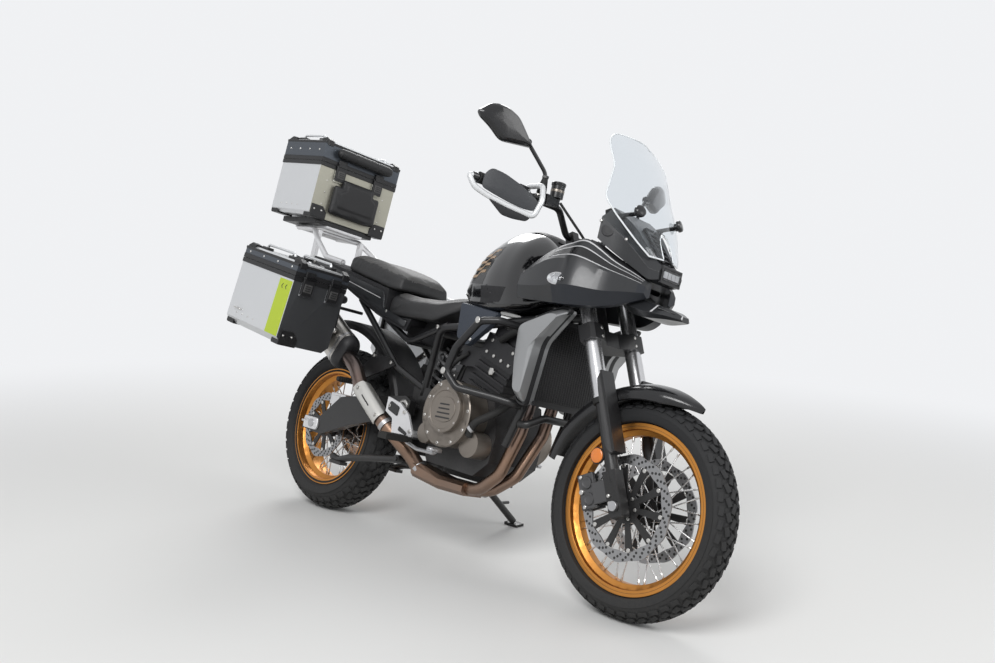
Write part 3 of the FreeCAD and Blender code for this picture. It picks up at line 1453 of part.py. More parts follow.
def case(name, where, half, length, height, lid_height, bevel):
    """A hollow case with a hinged hollow lid, two latches in front and hinges behind."""
    wall, gap = size("case_wall"), size("lid_gap")
    low = height + gap
    top = low + lid_height
    outer = [(-half, bevel), (bevel - half, 0), (half - bevel, 0), (half, bevel), (half, height),
             (-half, height)]
    inner = [(wall - half, bevel), (bevel - half + wall, wall), (half - bevel - wall, wall),
             (half - wall, bevel),
             (half - wall, height + 5), (wall - half, height + 5)]
    shell = profile_along(name + "_outside", outer, length)
    room = profile_along(name + "_inside", inner, length - wall * 2)
    place(room, (-wall, 0, 0))
    shell_parts = [cut(name + "_walls", shell, room)]
    lid_outer = [(-half, low), (half, low), (half, top - 14), (half - 14, top), (14 - half, top),
                 (-half, top - 14)]
    lid_inner = [(wall - half, low - 5), (half - wall, low - 5), (half - wall, top - 14 - wall),
                 (half - 14, top - wall),
                 (14 - half, top - wall), (wall - half, top - 14 - wall)]
    lid = profile_along(name + "_lid_outside", lid_outer, length)
    lid_room = profile_along(name + "_lid_inside", lid_inner, length - wall * 2)
    place(lid_room, (-wall, 0, 0))
    lid_parts = [cut(name + "_lid_walls", lid, lid_room)]
    rear = -length
    hinge_x = rear - 7
    for side in (-1, 1):
        middle_y = side * half * 0.6
        shell_parts.append(box(name + "_latch", (9, 44, 66), (4, side * half * 0.5, height - 34)))
        lid_parts.append(box(name + "_latch_hook", (9, 40, 20), (4, side * half * 0.5, low + 10)))
        shell_parts.append(box(name + "_hinge_leaf", (10, 36, 14), (rear - 3, middle_y, height - 8)))
        shell_parts.append(cross_bar(name + "_hinge_knuckle", 5, 14, (hinge_x, middle_y - side * 11, height)))
        shell_parts.append(cross_bar(name + "_hinge_knuckle", 5, 14, (hinge_x, middle_y + side * 11, height)))
        shell_parts.append(cross_bar(name + "_hinge_pin", 2, 34, (hinge_x, middle_y, height)))
        lid_parts.append(box(name + "_lid_leaf", (9, 7, 5), (rear - 3, middle_y, low + 2.5)))
        lid_parts.append(cross_bar(name + "_lid_knuckle", 5, 7, (hinge_x, middle_y, height)))
    handle = [(-length * 0.24, 0, top - 2), (-length * 0.24, 0, top + 22), (-length * 0.76, 0, top + 22),
              (-length * 0.76, 0, top - 2)]
    for side in (-1, 1):
        path = [(x, side * (half - 34), z) for x, _, z in handle]
        lid_parts.append(bent_tube(name + "_lid_handle", 5, path, 16))
    shell_room = fused(name + "_knuckle_rooms", [
        box(name + "_knuckle_room", (14, 8, 13), (hinge_x + 1, side * half * 0.6, height)) for side in (-1, 1)
    ])
    pins = fused(name + "_pins", [cross_bar(name + "_pin", 2, 34,
                                            (hinge_x, side * half * 0.6, height)) for side in (-1, 1)])
    body_raw = cut(name + "_body_open", fused(name + "_body_raw", shell_parts), shell_room)
    body = fused(name + "_body", [body_raw, pins])
    bores = fused(name + "_bores", [
        cross_bar(name + "_bore", 2 + running_gap, 60, (hinge_x, side * half * 0.6, height)) for side in (-1,
                                                                                                          1)
    ])
    cover = cut(name + "_cover", fused(name + "_lid_raw", lid_parts), bores)
    body.Placement = where
    cover.Placement = where
    hinge_places[name] = where.multVec(vector(hinge_x, 0, height))
    return body, cover


hinge_places = {}


def luggage():
    """Two side cases on their racks and the top case with its backrest pad and roll."""
    length, height = size("side_case_length"), size("side_case_height")
    pitch = size("side_case_pitch")
    half = size("side_case_width") / 2
    middle = size("side_case_inner") + half
    for label, side in SIDES:
        where = case_frame((125, side * middle, 593), pitch)
        body, cover = case("side_case_" + label, where, half, length, height, size("side_case_lid"), 24)
        node("side_case_" + label, [body])
        node("side_case_lid_" + label, [cover])
    where = case_frame((-276, 0, 1148), size("top_case_pitch"))
    top_half, top_height = size("top_case_half_width"), size("top_case_height")
    body, cover = case("top_case", where, top_half, size("top_case_length"), top_height, size("top_case_lid"),
                       14)
    node("top_case", [body])
    node("top_case_lid", [cover])
    base = box("top_case_base", (250, 300, 22), (-411, 0, 1126 + 0.3 + 11))
    base_cut = box("top_case_base_room", (420, 420, 60), (-150, 0, 0))
    base_cut.Placement = where.multiply(Placement(vector(-400, -210, -0.3), Rotation()))
    node("top_case_plate", [cut("top_case_base_cut", base, base_cut)])
    pad = box("backrest_block", (26, 250, 170), (0, 0, 0))
    pad.Placement = where.multiply(Placement(vector(9.3, -125, 22), Rotation()))
    node("backrest_pad", [pad])
    roll_start = where.multVec(vector(24.3, -150, float(top_height) + 52))
    node("roll_cushion", [cylinder("roll", 24, 300, tuple(roll_start), ALONG_Y)])


def rack():
    """A tube loop behind each side case, held to the subframe."""
    radius = size("rack_tube_radius")
    y = float(size("rack_offset"))
    items = []
    for label, side in SIDES:
        loop = [(-188, side * y, 864), (90, side * y, 826), (128, side * y, 796), (128, side * y, 690),
                (60, side * y, 640), (-188, side * y, 654)]
        parts = [bent_tube("rack_loop_" + label, radius, loop, 30)]
        parts.append(bar_between("rack_upright_" + label, radius + 1, (-188, side * y, 644),
                                 (-188, side * y, 874)))
        parts.append(bar_between("rack_front_" + label, radius - 1, (128, side * (124 + 0.3), 778),
                                 (128, side * y, 778)))
        rear = [(-188, side * y, 860), (-250, side * 215, 920), (-284, side * 180, 966),
                (-284, side * 124.3, 966)]
        parts.append(bent_tube("rack_rear_" + label, radius - 1, rear, 30))
        items.append(fused("rack_group_" + label, parts))
    node("case_racks", items)


def rear_lights():
    """The plate holder under the tail with a blank plate, and the lamps."""
    arm = bent_tube("plate_arm", 9, [(-294.3, 0, 966), (-326, 0, 966), (-345, 0, 770), (-350, 0, 700)], 30)
    holder = turned_box("plate_backing", (6, 190, 150), (-356, 0, 730), Rotation(Vector(0, 1, 0), 9))
    node("plate_holder", [fused("plate_holder_group", [arm, holder])])


mirrored("side_cowls", cowl)
mirrored("shrouds", shroud)
mirrored("side_panels", side_panel)
nose()
beak()
windscreen()
display()
radiator()
crash_bars()
footrests()
peg_hangers()
side_stand()
centre_stand()
carrier()
luggage()
rack()
rear_lights()


# Check every object before it is placed

doc.recompute()
faults = [item.Label for item in doc.Objects if "Invalid" in item.State or "Error" in item.State]
for label, item in nodes.items():
    if item.Shape.isNull() or not item.Shape.isValid():
        faults.append(label)
if faults:
    raise RuntimeError("these objects failed: " + ", ".join(faults))


# Park the machine: lean it onto its side stand and move the origin under its middle

def lean_onto_stand():
    """Lean every sub-part to the left about the line where the tyres meet the ground."""
    span = float(wheelbase)
    pitch = math.degrees(math.asin((lift_at(0) - lift_at(span)) / span))
    turn = Rotation(Vector(0, 1, 0), pitch) * Rotation(Vector(1, 0, 0), -float(size("lean")))
    return Placement(Vector(0, 0, lift_at(0)), turn)


parked = lean_onto_stand()
for item in nodes.values():
    item.Placement = parked
doc.recompute()
boxes = [item.Shape.optimalBoundingBox(False) for item in nodes.values()]
middle_x = (min(b.XMin for b in boxes) + max(b.XMax for b in boxes)) / 2
middle_y = (min(b.YMin for b in boxes) + max(b.YMax for b in boxes)) / 2
lowest = min(b.ZMin for b in boxes)
parked = Placement(Vector(-middle_x, -middle_y, -lowest), Rotation()).multiply(parked)
for item in nodes.values():
    item.Placement = parked
doc.recompute()


# Write the sub-parts

os.makedirs("parts", exist_ok=True)
for label, item in nodes.items():
    item.Shape.exportStep(f"parts/{label}.step")
    extent = item.Shape.BoundBox
    volume = item.Shape.Volume / 1000
    print(f"{label}: {len(item.Shape.Solids)} solids, {volume:.0f} cm3, lowest {extent.ZMin:.1f} mm")


# The places of the joints, in metres

def report_place(name, point):
    """Print where a joint lies on the parked machine."""
    at = parked.multVec(point)
    print(f"joint {name} at {at.x / 1000:.5f} {at.y / 1000:.5f} {at.z / 1000:.5f}")


def report_direction(name, direction):
    """Print the direction of a joint's axis on the parked machine."""
    along = parked.Rotation.multVec(direction)
    print(f"axis {name} along {along.x:.6f} {along.y:.6f} {along.z:.6f}")


pivot, _, hinge, _ = side_stand_hinge()
report_place("steering", vector(*steering_point(0, 0, station_at(size("upper_clamp_height")))))
report_direction("steering", STEERING.multVec(Vector(0, 0, 1)))
report_place("front_wheel", vector(*front_axle))
report_place("rear_wheel", vector(*rear_axle))
report_direction("across", Vector(0, 1, 0))
report_place("side_stand", pivot)
report_direction("side_stand", hinge)
report_place("centre_stand", vector(size("centre_stand_pivot_x"), 0, size("centre_stand_pivot_z")))
for name, point in hinge_places.items():
    report_place(name, point)
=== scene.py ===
# %% [markdown]
# An adventure motorcycle, parked on its side stand, dressed for rendering.
# The solid model already exists: every sub-part sits at its real place and belongs to a body that may turn.
# This notebook gives those sub-parts their surfaces, edges and finishes, one piece of the machine at a time.

# %% Load the solid model
import json
import math
import bmesh
import bpy
import numpy as np
from mathutils import Matrix, Vector


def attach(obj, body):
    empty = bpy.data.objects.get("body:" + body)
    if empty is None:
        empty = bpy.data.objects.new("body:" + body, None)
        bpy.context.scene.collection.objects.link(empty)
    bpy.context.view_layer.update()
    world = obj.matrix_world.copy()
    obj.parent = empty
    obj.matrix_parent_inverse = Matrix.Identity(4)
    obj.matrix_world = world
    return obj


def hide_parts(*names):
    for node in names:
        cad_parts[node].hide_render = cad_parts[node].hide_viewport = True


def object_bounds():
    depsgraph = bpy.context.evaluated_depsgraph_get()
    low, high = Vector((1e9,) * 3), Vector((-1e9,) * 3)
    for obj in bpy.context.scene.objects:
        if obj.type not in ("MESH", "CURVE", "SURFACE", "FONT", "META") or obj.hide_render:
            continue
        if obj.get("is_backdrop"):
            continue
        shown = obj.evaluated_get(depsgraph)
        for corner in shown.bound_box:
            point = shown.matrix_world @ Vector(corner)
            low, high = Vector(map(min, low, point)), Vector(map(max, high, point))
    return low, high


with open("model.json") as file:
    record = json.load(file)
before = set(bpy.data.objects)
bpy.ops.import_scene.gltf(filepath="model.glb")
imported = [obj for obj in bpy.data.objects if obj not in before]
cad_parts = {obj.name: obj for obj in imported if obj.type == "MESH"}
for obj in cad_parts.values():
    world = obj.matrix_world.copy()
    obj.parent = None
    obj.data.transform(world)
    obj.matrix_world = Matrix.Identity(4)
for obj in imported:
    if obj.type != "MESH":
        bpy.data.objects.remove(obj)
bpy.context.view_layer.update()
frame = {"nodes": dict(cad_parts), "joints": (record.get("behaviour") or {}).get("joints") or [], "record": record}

# %% [markdown]
# The machine leans by 14 degrees, which makes every table of numbers hard to read.
# So each piece is worked out on the upright machine, in millimetres, with the origin on the ground
# under the rear axle, x forward, y to the rider's left and z up. One matrix then parks it.
# The matrix could be typed in, but taking it from the two wheel joints keeps it true to the model.

# %% From the upright machine to the parked one
joints = {joint["name"]: joint for joint in frame["joints"]}
across = np.array(joints["rear_wheel_spin"]["axis"])
rear_centre = np.array(joints["rear_wheel_spin"]["pos_m"])
span = np.array(joints["front_wheel_spin"]["pos_m"]) - rear_centre
WHEELBASE, FRONT_RADIUS, REAR_RADIUS, RAKE = 1505.0, 329.3, 320.9, 25.5
tilt = math.atan2(FRONT_RADIUS - REAR_RADIUS, WHEELBASE)
span = span / np.linalg.norm(span)
square = np.cross(span, across)
forward = span * math.cos(tilt) - square * math.sin(tilt)
upward = span * math.sin(tilt) + square * math.cos(tilt)
UPRIGHT = np.column_stack([forward, across, upward])
GROUND = rear_centre - upward * REAR_RADIUS / 1000
FRONT_AXLE = np.array([WHEELBASE, 0, FRONT_RADIUS])
REAR_AXLE = np.array([0, 0, REAR_RADIUS])
SIDES = (("right", -1), ("left", 1))


def parked(points):
    """Upright millimetres to parked metres: p / 1000 turned by UPRIGHT, then moved to GROUND."""
    return np.asarray(points, float) / 1000 @ UPRIGHT.T + GROUND


def unit(vector):
    """The vector divided by its length."""
    vector = np.asarray(vector, float)
    return vector / np.linalg.norm(vector, axis=-1, keepdims=True)


def turn_about(axis, degrees):
    """The rotation matrix about an axis by Rodrigues' formula: I + sin(a) K + (1 - cos(a)) K K."""
    x, y, z = unit(axis)
    k = np.array([[0, -z, y], [z, 0, -x], [-y, x, 0]])
    a = math.radians(degrees)
    return np.eye(3) + math.sin(a) * k + (1 - math.cos(a)) * k @ k


ALONG_FORK = turn_about((0, 1, 0), -RAKE)
STEER_FOOT = WHEELBASE + 115.0
FORK_AHEAD = FRONT_RADIUS * math.sin(math.radians(RAKE)) - 115 * math.cos(math.radians(RAKE))
AXLE_STATION = 115 * math.sin(math.radians(RAKE)) + FRONT_RADIUS * math.cos(math.radians(RAKE))


def fork_point(ahead, aside, station):
    """A place from the steering axis: ahead of it, aside of it, and along it from the ground."""
    return ALONG_FORK @ np.array([ahead, aside, station]) + np.array([STEER_FOOT, 0, 0])


print("lean, degrees:", round(math.degrees(math.asin(upward[1])), 2))

# %% [markdown]
# A shape here is a pair: an array of points, and a list of face arrays (one array for quads, one for triangles
# and so on). Almost every piece is a grid of points over two parameters, such as the angle round a wheel
# and the place along its profile, so one function turns any grid into faces.

# %% Grids of points into shapes
def grid(points, wrap_u=False, wrap_v=False, cap=False):
    """Quads between neighbours of a (u, v) grid. With cap, each end row closes on its middle point."""
    rows, columns, _ = points.shape
    u = np.arange(rows if wrap_u else rows - 1)[:, None]
    v = np.arange(columns if wrap_v else columns - 1)[None, :]
    after_u, after_v = (u + 1) % rows, (v + 1) % columns
    corners = [u * columns + v, after_u * columns + v, after_u * columns + after_v, u * columns + after_v]
    faces = [np.stack(np.broadcast_arrays(*corners), -1).reshape(-1, 4)]
    verts = points.reshape(-1, 3)
    if cap:
        ring = np.arange(columns)
        first, last = len(verts), len(verts) + 1
        base = (rows - 1) * columns
        faces.append(np.stack([np.roll(ring, -1), ring, np.full(columns, first)], -1))
        faces.append(np.stack([base + ring, base + np.roll(ring, -1), np.full(columns, last)], -1))
        verts = np.vstack([verts, points[0].mean(0), points[-1].mean(0)])
    return outward((verts, faces))


def loft(rows):
    """A closed skin through rings of points, with both ends capped."""
    return grid(np.asarray(rows, float), wrap_v=True, cap=True)


def outward(shape):
    """The shape with its faces turned outwards, by the sign of its volume: the sum of a . (b x c) / 6."""
    verts, faces = shape
    volume = 0.0
    for block in faces:
        for k in range(1, block.shape[1] - 1):
            a, b, c = verts[block[:, 0]], verts[block[:, k]], verts[block[:, k + 1]]
            volume += (a * np.cross(b, c)).sum()
    return (verts, [block[:, ::-1] for block in faces]) if volume < 0 else shape


def joined(shapes):
    """Several shapes as one: the points one after another, the faces renumbered."""
    verts, faces, start = [], [], 0
    for points, blocks in shapes:
        verts.append(points)
        faces += [block + start for block in blocks]
        start += len(points)
    return np.vstack(verts), faces


def moved(shape, turn=np.eye(3), shift=(0, 0, 0)):
    """The shape turned by a matrix and then shifted: p = turn p + shift."""
    return shape[0] @ np.asarray(turn).T + np.asarray(shift, float), shape[1]


def mirrored(shape):
    """The shape on the other side of the machine: y changes sign and every face is turned over."""
    return shape[0] * np.array([1, -1, 1]), [block[:, ::-1] for block in shape[1]]


def squashed(shape, factors):
    """The shape stretched by a positive factor along each axis."""
    return shape[0] * np.array(factors), shape[1]


def copies(shape, shifts, turns=None):
    """One small shape repeated: p = turn_i p + shift_i for every i, all at once."""
    shifts = np.asarray(shifts, float)
    count = len(shifts)
    turns = np.broadcast_to(np.eye(3), (count, 3, 3)) if turns is None else np.asarray(turns)
    verts = np.einsum("nij,pj->npi", turns, shape[0]) + shifts[:, None]
    steps = np.arange(count)[:, None, None] * len(shape[0])
    return verts.reshape(-1, 3), [(block[None] + steps).reshape(-1, block.shape[1]) for block in shape[1]]


# %% Lathes, tubes, bars and plates
def lathe(profile, centre=(0, 0, 0), turn=np.eye(3), count=64, closed=False):
    """A profile of (along, radius) pairs turned about y: (r cos t, along, r sin t), then turned and moved."""
    profile = np.asarray(profile, float)
    angle = np.linspace(0, 2 * math.pi, count, endpoint=False)
    along, radius = profile[:, 0, None], profile[:, 1, None]
    points = np.stack(np.broadcast_arrays(radius * np.cos(angle), along, radius * np.sin(angle)), -1)
    return moved(grid(points, wrap_u=closed, wrap_v=True, cap=not closed), turn, centre)


def aim(direction):
    """A turn that takes the y axis to a direction."""
    y = unit(direction)
    x = unit(np.cross(y, (0, 0, 1) if abs(y[2]) < 0.9 else (1, 0, 0)))
    return np.column_stack([x, y, np.cross(x, y)])


def corner_curve(before, corner, after, bend, steps):
    """A corner as a parabola: (1-t)^2 a + 2t(1-t) c + t^2 b, with a and b at the bend's ends."""
    t = np.linspace(0, 1, steps)[:, None]
    reach = min(bend, 0.45 * np.linalg.norm(before - corner), 0.45 * np.linalg.norm(after - corner))
    a, b = corner + unit(before - corner) * reach, corner + unit(after - corner) * reach
    return (1 - t) ** 2 * a + 2 * t * (1 - t) * corner + t ** 2 * b


def rounded_path(points, bend=30.0, steps=6):
    """A polyline whose corners become parabolas."""
    points = np.asarray(points, float)
    corners = [corner_curve(*three, bend, steps) for three in zip(points, points[1:], points[2:])]
    return np.vstack([points[:1], *corners, points[-1:]])


def tube(path, radius, sides=16, flat=1.0):
    """Rings carried along a path: p + r (cos t a + flat sin t b), a and b square to the path's direction."""
    path = np.asarray(path, float)
    ahead = unit(np.gradient(path, axis=0))
    normal = np.linalg.svd(path - path.mean(0))[2][-1] if len(path) > 2 else aim(ahead[0])[:, 0]
    a = unit(np.cross(ahead, normal))
    b = np.cross(a, ahead)
    angle = np.linspace(0, 2 * math.pi, sides, endpoint=False)[None, :, None]
    radius = np.broadcast_to(np.asarray(radius, float), (len(path),))[:, None, None]
    rings = path[:, None] + radius * (np.cos(angle) * a[:, None] + flat * np.sin(angle) * b[:, None])
    return loft(rings)


def bar(start, end, radius, sides=16, edge=1.0):
    """A straight round bar with a small chamfer at both ends."""
    start, end = np.asarray(start, float), np.asarray(end, float)
    long = np.linalg.norm(end - start)
    profile = [(0, radius - edge), (edge, radius), (long - edge, radius), (long, radius - edge)]
    return lathe(profile, start, aim(end - start), sides)


def plate(outline, low, high, centre=(0, 0, 0), turn=np.eye(3), edge=1.5):
    """A flat plate: an (x, z) outline between two y values, its rim narrowed by the edge at both faces."""
    outline = np.asarray(outline, float)
    after, before = np.roll(outline, -1, 0) - outline, outline - np.roll(outline, 1, 0)
    winding = np.sign((outline[:, 0] * np.roll(outline[:, 1], -1) - np.roll(outline[:, 0], -1) * outline[:, 1]).sum())
    out_a = unit(np.stack([after[:, 1], -after[:, 0]], -1)) * winding
    out_b = unit(np.stack([before[:, 1], -before[:, 0]], -1)) * winding
    inset = unit(out_a + out_b) * edge
    rows = []
    for y, shape in ((low, outline - inset), (low + edge, outline), (high - edge, outline), (high, outline - inset)):
        rows.append(np.stack([shape[:, 0], np.full(len(shape), y), shape[:, 1]], -1))
    verts, faces = grid(np.array(rows), wrap_v=True)
    count = len(outline)
    faces += [np.arange(count)[None, :], (3 * count + np.arange(count))[None, ::-1]]
    side = faces[0][0]
    first = faces[1]
    if (side[0] in first[0]) and not _opposed(side, first[0]):
        faces[1:] = [faces[1][:, ::-1], faces[2][:, ::-1]]
    return moved(outward((verts, faces)), turn, centre)


def _opposed(side, cap):
    """Whether a side face and an end face run along their shared edge in opposite directions."""
    shared = [corner for corner in side if corner in cap]
    a, b = shared[0], shared[1]
    in_side = (list(side).index(b) - list(side).index(a)) % len(side) == 1
    in_cap = (list(cap).index(b) - list(cap).index(a)) % len(cap) == 1
    return in_side != in_cap


def block(size, centre=(0, 0, 0), turn=np.eye(3), edge=2.0):
    """A box of (x, y, z) size with chamfered rims."""
    x, y, z = np.asarray(size, float) / 2
    return plate([(-x, -z), (x, -z), (x, z), (-x, z)], -y, y, centre, turn, edge)


def waves(table, count, closed):
    """Cubic (Catmull-Rom) interpolation of the rows of a table, at count evenly spaced places."""
    table = np.asarray(table, float)
    size = len(table)
    t = np.linspace(0, size if closed else size - 1, count, endpoint=not closed)
    k = np.minimum(t.astype(int), size - (1 if closed else 2))
    f = (t - k).reshape(-1, *[1] * (table.ndim - 1))
    at = [(k + d) % size if closed else np.clip(k + d, 0, size - 1) for d in (-1, 0, 1, 2)]
    a, b, c, d = [table[index] for index in at]
    return 0.5 * (2 * b + (c - a) * f + (2 * a - 5 * b + 4 * c - d) * f ** 2 + (3 * b - a - 3 * c + d) * f ** 3)


def skin(rows, along=40, around=48, ends=0.0):
    """A smooth hull through rows of corners: cubic waves along the rows and round them, with domed ends."""
    points = waves(rows, along, False)
    points = waves(points.transpose(1, 0, 2), around, True).transpose(1, 0, 2)
    if ends:
        bulge = np.sin(np.linspace(0.2, 1, 5) * math.pi / 2)[:, None, None]
        depth = np.cos(np.linspace(0.2, 1, 5) * math.pi / 2)[:, None, None] * ends
        first, last = points[0], points[-1]
        lean_a, lean_b = unit(points[0].mean(0) - points[1].mean(0)), unit(points[-1].mean(0) - points[-2].mean(0))
        head = first.mean(0) + (first - first.mean(0)) * bulge + lean_a * depth
        foot = last.mean(0) + (last - last.mean(0)) * bulge + lean_b * depth
        points = np.concatenate([head[:-1], points, foot[:-1][::-1]])
    return loft(points)

# %% [markdown]
# Finishes. Real painted metal, moulded plastic and cast parts are never one flat colour: they carry faint
# blotches, a fine bump and some dust low down. Those effects are shared, so each is one node group that reads
# the object's own coordinates, and every material places it with its own values.

# %% Node groups that several finishes share
def new_group(name, inputs, outputs):
    """An empty shader node group with named sockets."""
    group = bpy.data.node_groups.new(name, "ShaderNodeTree")
    for kind, socket, value in inputs:
        item = group.interface.new_socket(socket, in_out="INPUT", socket_type=kind)
        item.default_value = value
    for kind, socket in outputs:
        group.interface.new_socket(socket, in_out="OUTPUT", socket_type=kind)
    return group, group.nodes.new("NodeGroupInput"), group.nodes.new("NodeGroupOutput")


def add(tree, kind, links=(), **values):
    """A node with some values set and some sockets linked."""
    node = tree.nodes.new(kind)
    for name, value in values.items():
        setattr(node, name, value)
    for socket, source in links:
        if hasattr(source, "is_output"):
            tree.links.new(source, node.inputs[socket])
        else:
            node.inputs[socket].default_value = source
    return node


def surface_group():
    """Blotches and dust: colour times (1 + spread (noise - 0.5)), then mixed towards dust low on the machine."""
    group, given, out = new_group(
        "blotches and dust",
        [("NodeSocketColor", "Color", (0.5, 0.5, 0.5, 1)), ("NodeSocketFloat", "Spread", 0.2),
         ("NodeSocketFloat", "Scale", 9.0), ("NodeSocketFloat", "Dust", 0.1), ("NodeSocketFloat", "Rough", 0.4),
         ("NodeSocketFloat", "Rough spread", 0.15)],
        [("NodeSocketColor", "Color"), ("NodeSocketFloat", "Roughness")])
    place = add(group, "ShaderNodeTexCoord").outputs["Object"]
    broad = add(group, "ShaderNodeTexNoise", [("Vector", place), ("Scale", given.outputs["Scale"]), ("Detail", 4.0)])
    fine = add(group, "ShaderNodeTexNoise", [("Vector", place), ("Scale", 140.0), ("Detail", 3.0)])
    centred = add(group, "ShaderNodeMath", [(0, broad.outputs["Fac"]), (1, 0.5)], operation="SUBTRACT")
    scaled = add(group, "ShaderNodeMath", [(0, centred.outputs[0]), (1, given.outputs["Spread"]), (2, 1.0)],
                 operation="MULTIPLY_ADD")
    tinted = add(group, "ShaderNodeVectorMath", [(0, given.outputs["Color"])], operation="SCALE")
    group.links.new(scaled.outputs[0], tinted.inputs["Scale"])
    height = add(group, "ShaderNodeSeparateXYZ", [(0, place)])
    low = add(group, "ShaderNodeMapRange", [("Value", height.outputs["Z"]), ("From Min", 0.75), ("From Max", 0.0)])
    patchy = add(group, "ShaderNodeMath", [(0, low.outputs[0]), (1, fine.outputs["Fac"])], operation="MULTIPLY")
    amount = add(group, "ShaderNodeMath", [(0, patchy.outputs[0]), (1, given.outputs["Dust"])], operation="MULTIPLY")
    amount.use_clamp = True
    dusty = add(group, "ShaderNodeMix", [(0, amount.outputs[0]), (6, tinted.outputs[0]), (7, (0.34, 0.32, 0.28, 1))],
                data_type="RGBA")
    rough_noise = add(group, "ShaderNodeMath", [(0, fine.outputs["Fac"]), (1, 0.5)], operation="SUBTRACT")
    rough = add(group, "ShaderNodeMath", [(0, rough_noise.outputs[0]), (1, given.outputs["Rough spread"]),
                                          (2, given.outputs["Rough"])], operation="MULTIPLY_ADD")
    rough_dusty = add(group, "ShaderNodeMath", [(0, amount.outputs[0]), (1, 0.5), (2, rough.outputs[0])],
                      operation="MULTIPLY_ADD")
    rough_dusty.use_clamp = True
    group.links.new(dusty.outputs[2], out.inputs["Color"])
    group.links.new(rough_dusty.outputs[0], out.inputs["Roughness"])
    return group


def texture_group(kind):
    """A height for the bump node: cast pits, brushed streaks, leather grain or dimples."""
    group, given, out = new_group(kind + " height", [("NodeSocketFloat", "Scale", 300.0)],
                                  [("NodeSocketFloat", "Height")])
    place = add(group, "ShaderNodeTexCoord").outputs["Object"]
    if kind == "brushed":
        place = add(group, "ShaderNodeMapping", [("Vector", place), ("Scale", (0.04, 1.0, 1.0))]).outputs[0]
    if kind in ("grain", "dimples"):
        source = add(group, "ShaderNodeTexVoronoi", [("Vector", place), ("Scale", given.outputs["Scale"])],
                     feature="SMOOTH_F1" if kind == "grain" else "F1")
        value = source.outputs["Distance"]
    else:
        source = add(group, "ShaderNodeTexNoise", [("Vector", place), ("Scale", given.outputs["Scale"]),
                                                   ("Detail", 2.0)])
        value = source.outputs["Fac"]
    group.links.new(value, out.inputs["Height"])
    return group


SURFACE = surface_group()
TEXTURES = {kind: texture_group(kind) for kind in ("cast", "brushed", "grain", "dimples")}


def finish(name, color, rough, metal=0.0, spread=0.25, dust=0.12, texture="cast", scale=420.0, bump=0.1, coat=0.0,
           patch=9.0, rough_spread=0.15, shine=0.5):
    """A material: the surface group feeds colour and roughness, a texture group feeds the bump."""
    material = bpy.data.materials.new(name)
    material.use_nodes = True
    tree = material.node_tree
    shader = tree.nodes["Principled BSDF"]
    surface = add(tree, "ShaderNodeGroup", node_tree=SURFACE)
    for socket, value in (("Color", (*color, 1)), ("Spread", spread), ("Scale", patch), ("Dust", dust),
                          ("Rough", rough),
                          ("Rough spread", rough_spread)):
        surface.inputs[socket].default_value = value
    tree.links.new(surface.outputs["Color"], shader.inputs["Base Color"])
    tree.links.new(surface.outputs["Roughness"], shader.inputs["Roughness"])
    shader.inputs["Metallic"].default_value = metal
    shader.inputs["Specular IOR Level"].default_value = shine
    shader.inputs["Coat Weight"].default_value = coat
    shader.inputs["Coat Roughness"].default_value = 0.06
    relief = add(tree, "ShaderNodeGroup", node_tree=TEXTURES[texture])
    relief.inputs["Scale"].default_value = scale
    raised = add(tree, "ShaderNodeBump", [("Height", relief.outputs["Height"]), ("Strength", bump),
                                          ("Distance", 0.001)])
    tree.links.new(raised.outputs["Normal"], shader.inputs["Normal"])
    return material


def clear(name, color, rough=0.02, ior=1.45):
    """Clear plastic: transmission with a plain weight."""
    material = bpy.data.materials.new(name)
    material.use_nodes = True
    shader = material.node_tree.nodes["Principled BSDF"]
    shader.inputs["Base Color"].default_value = (*color, 1)
    shader.inputs["Roughness"].default_value = rough
    shader.inputs["Transmission Weight"].default_value = 1.0
    shader.inputs["IOR"].default_value = ior
    return material


# %% The finishes of this machine
TYRE = finish("tyre rubber", (0.013, 0.0135, 0.015), 0.72, dust=0.1, scale=500, bump=0.25, patch=30, shine=0.35)
GOLD = finish("gold anodised rim", (0.55, 0.235, 0.05), 0.36, metal=1.0, spread=0.2, dust=0.1, bump=0.03)
HUB_BLACK = finish("hub black", (0.014, 0.014, 0.015), 0.4, dust=0.1, shine=0.4)
SPOKE = finish("spoke steel", (0.62, 0.62, 0.62), 0.25, metal=1.0, dust=0.15, bump=0.02)
DISC = finish("ground disc steel", (0.3, 0.3, 0.305), 0.3, metal=1.0, texture="brushed", scale=900, bump=0.12)
STEEL = finish("bare steel", (0.45, 0.45, 0.46), 0.33, metal=1.0, bump=0.05)
BOLT = finish("zinc bolt", (0.55, 0.54, 0.52), 0.3, metal=1.0, bump=0.04)
CHAIN = finish("oiled chain", (0.16, 0.15, 0.13), 0.42, metal=0.9, dust=0.5)
FORK_SILVER = finish("fork tube alloy", (0.6, 0.6, 0.61), 0.26, metal=0.95, spread=0.06, dust=0.03, bump=0.004,
                     rough_spread=0.04)
FORK_BLACK = finish("satin black alloy", (0.011, 0.011, 0.012), 0.38, spread=0.4, dust=0.08, shine=0.4)
BLACK = finish("satin black paint", (0.01, 0.01, 0.011), 0.36, spread=0.4, dust=0.1, coat=0.08, bump=0.05, shine=0.4)
PLASTIC = finish("black moulded plastic", (0.013, 0.013, 0.0145), 0.5, dust=0.1, texture="grain", scale=900,
                 bump=0.22, shine=0.35)
GLOSS = finish("gloss black plastic", (0.008, 0.008, 0.009), 0.22, spread=0.3, dust=0.05, coat=0.25, bump=0.02,
               shine=0.4)
CALIPER = finish("dark caliper", (0.075, 0.075, 0.078), 0.42, metal=0.5, spread=0.3, dust=0.08)
ENGINE = finish("engine black", (0.015, 0.015, 0.017), 0.46, spread=0.4, dust=0.16, bump=0.25, shine=0.4)
